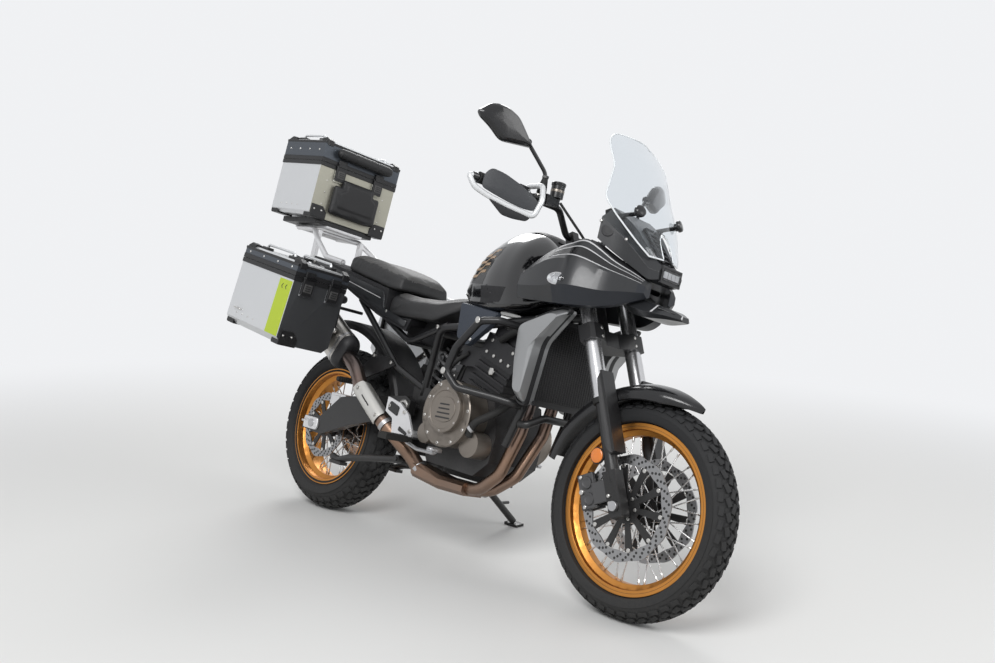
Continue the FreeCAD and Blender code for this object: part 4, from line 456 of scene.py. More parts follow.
BRONZE = finish("bronze grey cover", (0.215, 0.19, 0.165), 0.36, metal=0.75, spread=0.2, dust=0.15, bump=0.1)
TANK = finish("gloss black tank", (0.005, 0.005, 0.006), 0.12, spread=0.15, dust=0.02, coat=0.8, bump=0.004,
              shine=0.45)
CHARCOAL = finish("charcoal cowl", (0.019, 0.02, 0.022), 0.32, metal=0.1, spread=0.12, dust=0.05, coat=0.2, bump=0.03,
                  shine=0.45)
SKIRT = finish("blue black skirt", (0.012, 0.014, 0.019), 0.42, spread=0.12, dust=0.05, bump=0.06, shine=0.4)
SILVER = finish("silver shroud", (0.31, 0.315, 0.32), 0.32, metal=0.6, spread=0.12, dust=0.08, coat=0.3, bump=0.04)
STRIPE = finish("pale silver line", (0.55, 0.55, 0.56), 0.35, metal=0.3, spread=0.08, dust=0.05, bump=0.02)
BROWN = finish("brown knee stripe", (0.36, 0.25, 0.16), 0.4, spread=0.1, dust=0.03, bump=0.03)
BLUE_GREY = finish("dimpled blue grey", (0.034, 0.041, 0.055), 0.5, texture="dimples", scale=210, bump=0.7,
                   spread=0.1,
                   shine=0.4)
VINYL = finish("seat vinyl", (0.022, 0.022, 0.023), 0.56, spread=0.2, dust=0.06, texture="grain", scale=480, bump=0.4,
               shine=0.4)
VINYL_GREY = finish("grey seat vinyl", (0.075, 0.074, 0.073), 0.58, spread=0.15, dust=0.05, texture="grain",
                    scale=480,
                    bump=0.4, shine=0.4)
PAD = finish("black pad vinyl", (0.013, 0.013, 0.014), 0.52, spread=0.2, dust=0.05, texture="grain", scale=380,
             bump=0.4,
             shine=0.4)
CASE = finish("brushed case panel", (0.66, 0.67, 0.68), 0.4, metal=0.75, spread=0.05, dust=0.06, texture="brushed",
              scale=800, bump=0.08)
CASE_FRONT = finish("dark grey case front", (0.06, 0.062, 0.066), 0.45, metal=0.4, spread=0.1, dust=0.08)
TOP_FRONT = finish("olive beige case front", (0.37, 0.36, 0.3), 0.42, metal=0.6, spread=0.08, dust=0.05)
CASE_BAND = finish("blue grey case band", (0.07, 0.08, 0.095), 0.35, metal=0.5, spread=0.1, dust=0.05)
CASE_BLACK = finish("black case trim", (0.012, 0.012, 0.013), 0.42, spread=0.3, dust=0.08, texture="grain", scale=700,
                    bump=0.2, shine=0.4)
CAST_SILVER = finish("cast silver", (0.68, 0.68, 0.69), 0.4, metal=0.5, spread=0.1, dust=0.12, bump=0.12)
NICKEL = finish("brushed nickel", (0.52, 0.5, 0.47), 0.3, metal=1.0, spread=0.12, dust=0.1, texture="brushed",
                scale=900, bump=0.08)
SHIELD = finish("pale heat shield", (0.6, 0.59, 0.56), 0.33, metal=0.9, spread=0.1, dust=0.15, bump=0.05)
RUBBER = finish("soft black rubber", (0.012, 0.012, 0.012), 0.68, spread=0.3, dust=0.08, bump=0.2, shine=0.35)
RADIATOR = finish("radiator black", (0.012, 0.012, 0.013), 0.5, metal=0.3, dust=0.1)
LIME = finish("lime reflective film", (0.44, 0.56, 0.02), 0.35, spread=0.05, dust=0.03, bump=0.02)
AMBER = finish("amber reflector", (0.72, 0.19, 0.008), 0.18, spread=0.1, dust=0.02, coat=0.8, texture="dimples",
               scale=900, bump=0.3)
RED = finish("red tail lens", (0.45, 0.012, 0.012), 0.15, spread=0.1, dust=0.02, coat=0.8, texture="dimples",
             scale=700, bump=0.2)
MIRROR = finish("mirror glass", (0.8, 0.82, 0.84), 0.03, metal=1.0, spread=0.02, dust=0.0, bump=0.0)
DARK_GLASS = finish("dark display glass", (0.01, 0.012, 0.014), 0.08, spread=0.05, dust=0.0, coat=1.0, bump=0.0)
LENS = clear("clear lens", (0.92, 0.94, 0.96))
SCREEN = clear("clear screen", (0.8, 0.84, 0.87), ior=1.4)


def tinted_pipe():
    """Header steel with heat colours: straw, copper, then blue grey, in bands that follow height and noise."""
    material = finish("heat tinted pipe", (0.4, 0.2, 0.1), 0.3, metal=1.0, spread=0.3, dust=0.25, bump=0.05)
    tree = material.node_tree
    place = add(tree, "ShaderNodeTexCoord").outputs["Object"]
    height = add(tree, "ShaderNodeSeparateXYZ", [(0, place)])
    noise = add(tree, "ShaderNodeTexNoise", [("Vector", place), ("Scale", 14.0)])
    mixed = add(tree, "ShaderNodeMath", [(0, noise.outputs["Fac"]), (1, 0.22), (2, height.outputs["Z"])],
                operation="MULTIPLY_ADD")
    ramp = add(tree, "ShaderNodeValToRGB", [(0, mixed.outputs[0])])
    colors = [(0.2, (0.13, 0.105, 0.09, 1)), (0.34, (0.2, 0.14, 0.11, 1)), (0.5, (0.25, 0.155, 0.105, 1)),
              (0.66, (0.17, 0.125, 0.11, 1)), (0.8, (0.12, 0.11, 0.11, 1))]
    while len(ramp.color_ramp.elements) < len(colors):
        ramp.color_ramp.elements.new(0.5)
    for element, (place_at, color) in zip(ramp.color_ramp.elements, colors):
        element.position, element.color = place_at, color
    group = next(node for node in tree.nodes if node.type == "GROUP" and node.node_tree == SURFACE)
    tree.links.new(ramp.outputs["Color"], group.inputs["Color"])
    return material


HEADER = tinted_pipe()
print("finishes:", len(bpy.data.materials))

# %% [markdown]
# A shape becomes a piece of the machine in one place: its points are parked, its mesh is filled in by whole
# arrays, and it rides on the body that really carries it. A sub-part whose solid is already right keeps its form:
# a copy of it is welded, its hard edges get a small bevel, and it takes its finish. Editing the solid itself
# would move the collision away from the looks, so it is only hidden behind the piece.

# %% Pieces from shapes and from sub-parts
BODY_OF = {node: body for body, members in frame["record"]["behaviour"]["bodies"].items() for node in members}


def placed(name, data):
    """A new object in the scene that shows a mesh, a camera or a lamp."""
    item = bpy.data.objects.new(name, data)
    bpy.context.scene.collection.objects.link(item)
    return item


def smooth_by_angle(mesh, degrees):
    """Smooth faces, with edges sharper than the angle kept hard."""
    mesh.polygons.foreach_set("use_smooth", np.ones(len(mesh.polygons), bool))
    mesh.set_sharp_from_angle(angle=math.radians(degrees))


def piece(name, parts, like, replaces=(), angle=35.0, bevel=0.0, body=None):
    """One object from (shape, material) pairs. like names the sub-part whose body it shares."""
    mesh = bpy.data.meshes.new(name)
    verts, faces = joined([shape for shape, _ in parts])
    sizes = np.concatenate([np.full(len(block), block.shape[1]) for block in faces])
    corners = np.concatenate([block.ravel() for block in faces])
    materials = list(dict.fromkeys(material for _, material in parts))
    index = np.concatenate([np.full(sum(len(block) for block in shape[1]), materials.index(material))
                            for shape, material in parts])
    mesh.vertices.add(len(verts))
    mesh.vertices.foreach_set("co", parked(verts).ravel())
    mesh.loops.add(len(corners))
    mesh.loops.foreach_set("vertex_index", corners.astype(np.int32))
    mesh.polygons.add(len(sizes))
    mesh.polygons.foreach_set("loop_start", np.concatenate([[0], np.cumsum(sizes)[:-1]]).astype(np.int32))
    mesh.polygons.foreach_set("material_index", index.astype(np.int32))
    mesh.update(calc_edges=True)
    mesh.validate()
    for material in materials:
        mesh.materials.append(material)
    smooth_by_angle(mesh, angle)
    return settle(placed(name, mesh), like, replaces, bevel, body=body)


def settle(item, like, replaces, bevel=0.0, levels=0, body=None):
    """Edges rounded, ridden on its body, and the sub-parts it replaces hidden."""
    if bevel:
        rounding = item.modifiers.new("rounded edges", "BEVEL")
        rounding.width, rounding.segments, rounding.limit_method = bevel / 1000, 2, "ANGLE"
        rounding.angle_limit, rounding.harden_normals = math.radians(28), True
    if levels:
        rounding = item.modifiers.new("rounded form", "SUBSURF")
        rounding.levels = rounding.render_levels = levels
    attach(item, body or BODY_OF[like])
    if replaces:
        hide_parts(*replaces)
    return item


def welded(node, name, *materials, bevel=1.5):
    """A copy of a sub-part with its doubles merged and its edges bevelled, in the first of its materials."""
    work = bmesh.new()
    work.from_mesh(frame["nodes"][node].data)
    bmesh.ops.remove_doubles(work, verts=work.verts, dist=0.00002)
    bmesh.ops.dissolve_limit(work, angle_limit=math.radians(0.6), verts=work.verts, edges=work.edges)
    mesh = bpy.data.meshes.new(name)
    work.to_mesh(mesh)
    work.free()
    mesh.materials.clear()
    for material in materials:
        mesh.materials.append(material)
    mesh.polygons.foreach_set("material_index", np.zeros(len(mesh.polygons), np.int32))
    smooth_by_angle(mesh, 32.0)
    return settle(placed(name, mesh), node, (node,), bevel)


def repaint(item, rule):
    """Chooses each face's material by a rule on the faces' middle points (upright millimetres) and normals.

    Where the rule gives -1, the face keeps the material it has.
    """
    mesh = item.data
    count = len(mesh.polygons)
    middles, normals = np.zeros(count * 3), np.zeros(count * 3)
    mesh.polygons.foreach_get("center", middles)
    mesh.polygons.foreach_get("normal", normals)
    upright = (middles.reshape(-1, 3) - GROUND) @ UPRIGHT * 1000
    chosen = rule(upright, normals.reshape(-1, 3) @ UPRIGHT)
    kept = np.zeros(count, np.int32)
    mesh.polygons.foreach_get("material_index", kept)
    chosen = np.where(chosen < 0, kept, chosen)
    mesh.polygons.foreach_set("material_index", chosen.astype(np.int32))
    return item

# %% [markdown]
# The photograph was taken from the machine's front right, at chest height. The camera below was found by
# matching wheel rims, axles and cases, so its place, turn, roll and lens are numbers, not guesses.

# %% Camera, floor and light
def camera():
    """The camera looks along (cos yaw cos pitch, sin yaw cos pitch, -sin pitch), with a small roll."""
    data = bpy.data.cameras.new("camera")
    data.lens, data.sensor_width = 37.26, 36.0
    item = placed("camera", data)
    yaw, pitch, roll = math.radians(135.37), math.radians(6.05), math.radians(2.23)
    ahead = np.array([math.cos(yaw) * math.cos(pitch), math.sin(yaw) * math.cos(pitch), -math.sin(pitch)])
    right = np.array([math.sin(yaw), -math.cos(yaw), 0])
    up = np.cross(right, ahead)
    right, up = right * math.cos(roll) + up * math.sin(roll), up * math.cos(roll) - right * math.sin(roll)
    place = np.array([3.339, -2.358, 1.161]) + [GROUND[0], GROUND[1], 0]
    matrix = np.eye(4)
    matrix[:3, 0], matrix[:3, 1], matrix[:3, 2], matrix[:3, 3] = right, up, -ahead, place
    item.matrix_world = Matrix(matrix.tolist())
    bpy.context.scene.camera = item
    print("camera at", place.round(3))


def seen_rays(tree):
    """1 for what the camera, a gloss or clear plastic sees, 0 for the light that falls on the machine."""
    rays = add(tree, "ShaderNodeLightPath")
    direct = add(tree, "ShaderNodeMath", [(0, rays.outputs["Is Camera Ray"]), (1, rays.outputs["Is Glossy Ray"])],
                 operation="MAXIMUM")
    through = rays.outputs["Is Transmission Ray"]
    return add(tree, "ShaderNodeMath", [(0, direct.outputs[0]), (1, through)], operation="MAXIMUM").outputs[0]


def studio():
    """A pale floor, a pale world that camera, gloss and glass see as near white, and three soft lamps."""
    mesh = bpy.data.meshes.new("floor")
    mesh.from_pydata([(-14, -14, 0), (14, -14, 0), (14, 14, 0), (-14, 14, 0)], [], [(0, 1, 2, 3)])
    floor = placed("floor", mesh)
    material = bpy.data.materials.new("pale floor")
    material.use_nodes = True
    shader = material.node_tree.nodes["Principled BSDF"]
    shader.inputs["Roughness"].default_value = 0.85
    shader.inputs["Specular IOR Level"].default_value = 0.0
    tree = material.node_tree
    place = add(tree, "ShaderNodeTexCoord").outputs["Object"]
    away = add(tree, "ShaderNodeVectorMath", [(0, place)], operation="LENGTH")
    far = add(tree, "ShaderNodeMapRange", [("Value", away.outputs["Value"]), ("From Min", 1.6), ("From Max", 5.0)],
              interpolation_type="SMOOTHSTEP")
    glow = add(tree, "ShaderNodeMath", [(0, far.outputs[0]), (1, seen_rays(tree))], operation="MULTIPLY")
    near_color = add(tree, "ShaderNodeMix", [(0, glow.outputs[0]), (6, (0.72, 0.72, 0.71, 1)), (7, (0, 0, 0, 1))],
                     data_type="RGBA")
    glow_color = add(tree, "ShaderNodeMix", [(0, glow.outputs[0]), (6, (0, 0, 0, 1)), (7, (0.873, 0.882, 0.9, 1))],
                     data_type="RGBA")
    tree.links.new(near_color.outputs[2], shader.inputs["Base Color"])
    tree.links.new(glow_color.outputs[2], shader.inputs["Emission Color"])
    shader.inputs["Emission Strength"].default_value = 1.0
    mesh.materials.append(material)
    floor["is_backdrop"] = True
    world = bpy.data.worlds.new("pale room")
    bpy.context.scene.world = world
    world.use_nodes = True
    tree = world.node_tree
    background = tree.nodes["Background"]
    strength = add(tree, "ShaderNodeMapRange", [("Value", seen_rays(tree)), ("To Min", 0.42), ("To Max", 0.9)])
    background.inputs["Color"].default_value = (0.97, 0.98, 1.0, 1)
    tree.links.new(strength.outputs[0], background.inputs["Strength"])
    for name, place, size, power in (("key", (2.2, -4.2, 4.6), 3.0, 230), ("fill", (4.8, 1.6, 2.6), 3.0, 80),
                                     ("back", (-3.6, 3.2, 4.2), 3.2, 150)):
        data = bpy.data.lights.new(name, "AREA")
        data.size, data.energy, data.shape = size, power, "DISK"
        lamp = placed(name, data)
        lamp.location = place
        lamp.rotation_euler = (Vector((0, 0, 0.6)) - Vector(place)).to_track_quat("-Z", "Y").to_euler()
    bpy.context.scene.view_settings.view_transform = "Standard"


camera()
studio()

# %% [markdown]
# The bodywork is moulded plastic panels and a steel tank. Panels are drawn the way a modeller would spline them:
# a few sections across the machine, each a row of corners, joined by smooth curves along it. Straight lines
# between the corners keep the crisp creases that such panels have, and a bevel rounds them.

# %% Helpers for panels
def creased(table, side, along=36):
    """A closed panel from (x, corners...) rows: smooth along x, straight from corner to corner."""
    rows = np.array([[(x, side * y, z) for y, z in corners] for x, *corners in table], float)
    return loft(waves(rows, along, False))


def rounded_loop(points, bend, steps=5):
    """A closed outline whose corners become parabolas."""
    points = np.asarray(points, float)
    neighbours = zip(np.roll(points, 1, 0), points, np.roll(points, -1, 0))
    return np.vstack([corner_curve(*three, bend, steps) for three in neighbours])


def scaled(outline, share):
    """The outline grown or shrunk about its middle: m + (p - m) share."""
    middle = outline.mean(0)
    return middle + (outline - middle) * share


def side_rings(outline, side, layers):
    """The (x, z) outline at each (y, share) layer, on one side of the machine."""
    rings = [(scaled(outline, share), side * y) for y, share in layers]
    return np.array([np.stack([ring[:, 0], np.full(len(ring), y), ring[:, 1]], -1) for ring, y in rings])


def panel(outline, side, layers, bend=22, dome=6):
    """A raised side panel: the (x, z) outline at each (y, share) layer, with a slightly domed face."""
    last_y, last_share = layers[-1]
    face = [(last_y + dome * (1 - step * step), last_share * step) for step in (0.8, 0.5, 0.2)]
    return loft(side_rings(rounded_loop(outline, bend), side, layers + face))


def shell(outer, inner, keep=None):
    """A thin closed sheet between two (r, c) grids of points. keep marks the cells that stay; others are holes."""
    rows, columns, _ = outer.shape
    keep = np.ones((rows - 1, columns - 1), bool) if keep is None else keep
    count = rows * columns
    r, c = np.nonzero(keep)
    a, b, d, e = r * columns + c, r * columns + c + 1, (r + 1) * columns + c + 1, (r + 1) * columns + c
    faces = [np.stack([a, b, d, e], -1), np.stack([a, e, d, b], -1) + count]
    wide = np.pad(keep, 1)
    for shift, first, last in (((-1, 0), a, b), ((0, 1), b, d), ((1, 0), d, e), ((0, -1), e, a)):
        open_side = ~wide[r + 1 + shift[0], c + 1 + shift[1]]
        p, q = first[open_side], last[open_side]
        faces.append(np.stack([q, p, p + count, q + count], -1))
    return outward((np.vstack([outer.reshape(-1, 3), inner.reshape(-1, 3)]), faces))


def hoop(x_range, y_range, z_range, wall):
    """A square band round a box: an outer and an inner rectangle between two heights, wrapped both ways."""
    (x0, x1), (y0, y1), (z0, z1) = x_range, y_range, z_range
    rows = []
    for z, inset in ((z0, 0.8), (z0 + 0.8, 0), (z1 - 0.8, 0), (z1, 0.8), (z1, wall), (z0, wall)):
        corners = [(x0 + inset, y0 + inset), (x1 - inset, y0 + inset), (x1 - inset, y1 - inset),
                   (x0 + inset, y1 - inset)]
        rows.append([(x, y, z) for x, y in corners])
    return grid(np.array(rows, float), wrap_u=True, wrap_v=True)


def rivets(places, direction, radius=4.2, height=2.2):
    """Domed rivet heads at some places, all facing one direction."""
    head = lathe([(-0.5, radius), (0.4, radius), (height * 0.7, radius * 0.8), (height, radius * 0.35)], count=12)
    return copies(head, places, [aim(direction)] * len(places))

# %% [markdown]
# The wheels. A tyre of this class is a smooth round carcass with a separate block tread standing out of it.
# Carving the grooves out of one solid would cost a great many faces, so the carcass is turned on a lathe
# and one small block is repeated round it, row by row, each one tilted to follow the crown.

# %% Tyres with block tread
def crown_place(radius, crown, y):
    """Height and tilt of the tread at y: r = R - c + sqrt(c^2 - y^2), tilt = asin(y / c)."""
    return radius - crown + math.sqrt(crown * crown - y * y), math.degrees(math.asin(y / crown))


def carcass(axle, radius, width, crown, seat, rim_width, depth):
    """The tyre's body: beads, side walls and a crown that lies one tread depth under the blocks."""
    half, bead = width / 2, rim_width / 2 - 4.3
    shoulder, _ = crown_place(radius, crown, half * 0.97)
    wall = seat + 0.42 * (radius - seat)
    arc = [(y, crown_place(radius, crown, y)[0] - depth) for y in np.linspace(half * 0.9, -half * 0.9, 13)]
    right = [(bead, seat + 0.5), (bead + 0.5, seat + 18), (half * 0.93, wall - 16), (half, wall + 8),
             (half * 0.985, shoulder - depth - 4)]
    profile = right + arc + [(-y, r) for y, r in right[::-1]]
    return lathe(waves(profile + profile[:1], 72, False), axle, count=96, closed=True)


def tread(axle, radius, crown, rows, pitch_count, depth):
    """Rows of blocks: each row is (y, length, width, skew, phase) and is repeated round the tyre."""
    shapes = []
    for y, length, width, skew, phase in rows:
        height, tilt = crown_place(radius, crown, y)
        knob = block((length, width, depth + 3), (0, 0, -(depth + 3) / 2), edge=1.2)
        lean = turn_about((1, 0, 0), -tilt) @ turn_about((0, 0, 1), skew)
        angles = (np.arange(pitch_count) + phase) * 360 / pitch_count
        turns = np.array([turn_about((0, 1, 0), angle) @ lean for angle in angles])
        shifts = np.array([turn_about((0, 1, 0), angle) @ (0, y, height) for angle in angles])
        shapes.append(moved(copies(knob, shifts, turns), shift=axle))
    return joined(shapes)


FRONT_SEAT, REAR_SEAT, TREAD_DEPTH = 241.3, 215.9, 7.0
front_rows = [(s * 9, 30, 15, s * 24, 0.25 * s) for s in (-1, 1)]
front_rows += [(s * 27, 26, 15, -s * 18, 0.5 + 0.2 * s) for s in (-1, 1)]
front_rows += [(s * 45, 27, 15, s * 8, 0.1 * s) for s in (-1, 1)]
rear_rows = [(0, 34, 15, 0, 0.5)] + [(s * 18, 33, 16, s * 24, 0.2 * s) for s in (-1, 1)]
rear_rows += [(s * 38, 30, 18, -s * 16, 0.5 + 0.2 * s) for s in (-1, 1)]
rear_rows += [(s * 60, 31, 19, s * 8, 0.1 * s) for s in (-1, 1)]
FRONT_PITCHES, REAR_PITCHES = 50, 44
for label, axle, radius, width, crown, rim_seat, rim_width, rows, pitches in (
        ("front", FRONT_AXLE, FRONT_RADIUS, 110.0, 58.3, FRONT_SEAT, 76.0, front_rows, FRONT_PITCHES),
        ("rear", REAR_AXLE, REAR_RADIUS, 150.0, 80.1, REAR_SEAT, 122.0, rear_rows, REAR_PITCHES)):
    shapes = [(carcass(axle, radius, width, crown, rim_seat, rim_width, TREAD_DEPTH), TYRE),
              (tread(axle, radius, crown, rows, pitches, TREAD_DEPTH), TYRE)]
    piece(label + "_tyre_tread", shapes, label + "_tyre", (label + "_tyre",), angle=40)
print("tread blocks:", FRONT_PITCHES * len(front_rows) + REAR_PITCHES * len(rear_rows))

# %% [markdown]
# The rims are gold anodised channels laced with 36 crossed spokes to black hubs. The spokes exist as solids
# already, so the wheel only needs its finishes split by distance from the axle, and the nipples that pull each
# spoke into the rim.

# %% Rims, spokes and nipples
def lace(axle, half_width, radius_in):
    """A nipple at each spoke's end: the root at the hub flange and the tip at the rim's well give its direction."""
    flange_y = half_width * 0.62
    starts, ends = [], []
    for side in (-1, 1):
        for lead in (-1, 1):
            hub_angle = np.radians(40 * np.arange(SPOKES // 4) + 10 * (side + 1) + 5 * (lead + 1))
            rim_angle = hub_angle + lead * math.radians(52)
            root_y = np.full(len(hub_angle), side * (flange_y - 3))
            starts.append(np.stack([38 * np.cos(hub_angle), root_y, 38 * np.sin(hub_angle)], -1))
            tip_y = np.full(len(hub_angle), side * 5.0 + lead * 3)
            ends.append(np.stack([radius_in * np.cos(rim_angle), tip_y, radius_in * np.sin(rim_angle)], -1))
    starts, ends = np.vstack(starts), np.vstack(ends)
    nipple = lathe([(0, 2.6), (2, 3.6), (15, 3.2), (17, 2.4)], count=8)
    turns = np.array([aim(start - end) for start, end in zip(starts, ends)])
    return moved(copies(nipple, ends + unit(starts - ends) * 1.0, turns), shift=axle)


def by_radius(axle, limit):
    """Face rule: 0 within the limit of the wheel's axle, 1 beyond it."""
    return lambda middles, normals: (np.hypot(middles[:, 0] - axle[0], middles[:, 2] - axle[2]) > limit).astype(int)


HUB_RADIUS, RIM_DEPTH, SPOKES = 44.0, 21.3, 36
for label, axle, half_width, rim_seat in (("front", FRONT_AXLE, 58.0, FRONT_SEAT),
                                          ("rear", REAR_AXLE, 75.0, REAR_SEAT)):
    welded(label + "_rim", label + "_rim_gold", GOLD, bevel=1.2)
    hub = welded(label + "_hub", label + "_hub_and_spokes", HUB_BLACK, SPOKE, bevel=0.8)
    repaint(hub, by_radius(axle, HUB_RADIUS))
    nipples = lace(axle, half_width, rim_seat - RIM_DEPTH)
    piece(label + "_nipples", [(nipples, BOLT)], label + "_hub")
    ribs = [(lathe([(y - 1.5, 26.4), (y - 1, 33), (y + 1, 33), (y + 1.5, 26.4)], axle, count=40), HUB_BLACK)
            for y in (-14, 0, 14)]
    piece(label + "_hub_ribs", ribs, label + "_hub")
print("spokes laced:", 2 * SPOKES)

# %% [markdown]
# A wave disc is a thin steel ring whose edge swings in and out, drilled all over and held on a light black
# carrier by floating bobbins. The ring is one wrapped grid; the drilling is a dark plug in every hole, because
# real holes would multiply the faces for no visible gain at this distance.

# %% Brake discs
def wave_ring(axle, y, outer, inner, lobes, depth):
    """A ring with r_out = R - d (1 + cos(n t)) / 2 and r_in = r + d (1 + cos(n t)) / 2."""
    angle = np.linspace(0, 2 * math.pi, lobes * 16, endpoint=False)
    swing = depth * (1 + np.cos(lobes * angle)) / 2
    rows = []
    for along, radius in ((y - 2.5, outer - swing), (y + 2.5, outer - swing), (y + 2.5, inner + swing),
                          (y - 2.5, inner + swing)):
        rows.append(np.stack([radius * np.cos(angle), np.full(len(angle), along), radius * np.sin(angle)], -1))
    return moved(grid(np.array(rows), wrap_u=True, wrap_v=True), shift=axle)


def ring_of(shape, axle, radius, count, phase=0.0):
    """A small shape repeated on a circle about an axle."""
    angles = (np.arange(count) + phase) * 360 / count
    turns = np.array([turn_about((0, 1, 0), angle) for angle in angles])
    return moved(copies(shape, radius * turns[:, :, 0], turns), shift=axle)


def star(axle, low, high, inner, outer, arms):
    """A carrier with arms: an outline whose radius jumps between the hub and the bobbins."""
    outline = []
    for arm in range(arms):
        for share, radius in ((-0.3, inner + 8), (-0.16, outer), (0.16, outer), (0.3, inner + 8)):
            angle = (arm + share) * 2 * math.pi / arms
            outline.append((radius * math.cos(angle), radius * math.sin(angle)))
    return plate(outline, low, high, axle, edge=0.8)


def disc_parts(axle, y, outer, inner, lobes, face):
    """Ring, drilled holes, carrier with arms, hub ring and bobbins."""
    side = 1 if y > 0 else -1
    low, high = sorted((y - side * 4, y + side * 1.5))
    hole = lathe([(y - 2.8, 4.0), (y - 2.79, 4.2), (y + 2.79, 4.2), (y + 2.8, 4.0)], count=10)
    holes = [ring_of(hole, axle, inner + (outer - inner) * share, lobes * 3, phase)
             for share, phase in ((0.3, 0.0), (0.52, 0.33), (0.74, 0.66))]
    bobbin = lathe([(y - 3.6, 5.5), (y - 3.2, 6.5), (y + 3.2, 6.5), (y + 3.6, 5.5)], count=14)
    hub_low, hub_high = sorted((face, y + side * 2))
    collar = lathe([(hub_low, 21.5), (hub_low, 46), (hub_high, 42), (hub_high, 21.5)], axle, count=48, closed=True)
    bolt = lathe([(y + side * 2, 3), (y + side * 2.1, 5.5), (y + side * 5.5, 5.5), (y + side * 6, 4)], count=8)
    return [(wave_ring(axle, y, outer, inner, lobes, 6.0), DISC), (joined(holes), HUB_BLACK),
            (star(axle, low, high, 38, inner + 3, lobes), FORK_BLACK), (collar, FORK_BLACK),
            (ring_of(bobbin, axle, inner - 1, lobes), BOLT), (ring_of(bolt, axle, 34, 6), BOLT)]


FRONT_DISC_Y = 66.0
front_discs = [part for side in (1, -1)
               for part in disc_parts(FRONT_AXLE, side * FRONT_DISC_Y, outer=160, inner=125, lobes=10,
                                      face=side * 58.3)]
piece("front_wave_discs", front_discs, "front_discs", ("front_discs",), angle=30)
rear_disc = disc_parts(REAR_AXLE, -83.0, outer=130, inner=98, lobes=9, face=-75.3)
piece("rear_wave_disc", rear_disc, "rear_disc", ("rear_disc",), angle=30)

# %% [markdown]
# The chain drive. A chain is two kinds of link taken in turn over pins one pitch apart. The pins are placed
# by walking the closed path round both sprockets in equal steps, which also keeps the pitch true on the bends.

# %% Sprocket and chain
def toothed(radius, teeth, depth):
    """An outline with rounded gaps: r = R - d (0.5 - 0.5 cos(n t))^2."""
    angle = np.linspace(0, 2 * math.pi, teeth * 6, endpoint=False)
    r = radius - depth * (0.5 - 0.5 * np.cos(teeth * angle)) ** 2
    return np.stack([r * np.cos(angle), r * np.sin(angle)], -1)


def chain_path(step):
    """Pin places in (x, z): two straight runs and two arcs, walked in steps of nearly one pitch."""
    front_x, front_z, front_r, back_r = 585.0, 461.0, 44.5, 101.8
    slope = math.atan2(front_z - REAR_RADIUS, front_x)
    spread = math.acos((back_r - front_r) / math.hypot(front_x, front_z - REAR_RADIUS))
    front_arc = np.linspace(slope + spread, slope - spread, 30)
    back_arc = np.linspace(slope - spread, slope + spread - 2 * math.pi, 60)
    path = np.vstack([
        np.stack([front_x + front_r * np.cos(front_arc), front_z + front_r * np.sin(front_arc)], -1),
        np.stack([back_r * np.cos(back_arc), REAR_RADIUS + back_r * np.sin(back_arc)], -1)])
    path = np.vstack([path, path[:1]])
    length = np.concatenate([[0], np.cumsum(np.linalg.norm(np.diff(path, axis=0), axis=1))])
    count = int(length[-1] / step / 2) * 2
    at = np.linspace(0, length[-1], count, endpoint=False)
    return np.stack([np.interp(at, length, path[:, 0]), np.interp(at, length, path[:, 1])], -1)


CHAIN_PITCH, CHAIN_Y = 15.875, 92.0
pins = chain_path(CHAIN_PITCH)
after = np.roll(pins, -1, 0)
middles, heads = (pins + after) / 2, after - pins
link_turns = np.array([turn_about((0, 1, 0), -math.degrees(math.atan2(z, x))) for x, z in heads])
link_outline = [(-11.5, -3), (-9, -5.5), (-3, -4.2), (3, -4.2), (9, -5.5), (11.5, -3), (11.5, 3), (9, 5.5), (3, 4.2),
                (-3, 4.2), (-9, 5.5), (-11.5, 3)]
shifts = np.stack([middles[:, 0], np.full(len(pins), CHAIN_Y), middles[:, 1]], -1)
links = []
for first, offset in ((0, 4.3), (1, 6.2)):
    for side in (-1, 1):
        low, high = sorted((side * offset, side * (offset + 1.7)))
        links.append(copies(plate(link_outline, low, high, edge=0.3), shifts[first::2], link_turns[first::2]))
pin_shifts = np.stack([pins[:, 0], np.full(len(pins), CHAIN_Y), pins[:, 1]], -1)
links.append(copies(lathe([(-8.2, 2.2), (-8, 2.6), (8, 2.6), (8.2, 2.2)], count=8), pin_shifts))
links.append(copies(lathe([(-4.2, 4.6), (-4.1, 5.1), (4.1, 5.1), (4.2, 4.6)], count=8), pin_shifts))
piece("chain_links", [(joined(links), CHAIN)], "chain", ("chain",), angle=30)
ring = lathe([(89.2, 62), (89.2, 90), (94.8, 90), (94.8, 62)], REAR_AXLE, count=64, closed=True)
tooth_ring = plate(toothed(99.5, 40, 6.5), 89.5, 94.5, REAR_AXLE, edge=0.6)
sprocket = [(tooth_ring, DISC), (star(REAR_AXLE, 86, 96, 36, 74, 6), FORK_BLACK),
            (lathe([(75.3, 21.5), (75.3, 50), (95.5, 46), (95.5, 21.5)], REAR_AXLE, count=48, closed=True),
             FORK_BLACK),
            (ring_of(lathe([(96, 4), (96.1, 7), (101, 7), (101.5, 5)], count=6), REAR_AXLE, 62, 6), BOLT)]
piece("rear_sprocket_teeth", sprocket, "rear_sprocket", ("rear_sprocket",), angle=30)
for label in ("front", "rear"):
    welded(label + "_axle", label + "_axle_bar", STEEL, bevel=1.0)
print("chain links:", len(pins))

# %% [markdown]
# The fork is upside down: thick bright tubes above, held by black clamps, and thin sliders below that carry the
# axle. Each is a turned part, so a profile spun about the leg makes tube, seal and cap in one surface. A curved
# plastic guard covers the front of each slider.

# %% Fork tubes, sliders and guards
def station_of(height):
    """The distance along the steering axis at which the fork tubes reach a height above the ground."""
    return AXLE_STATION + (height - FRONT_RADIUS) / math.cos(math.radians(RAKE))


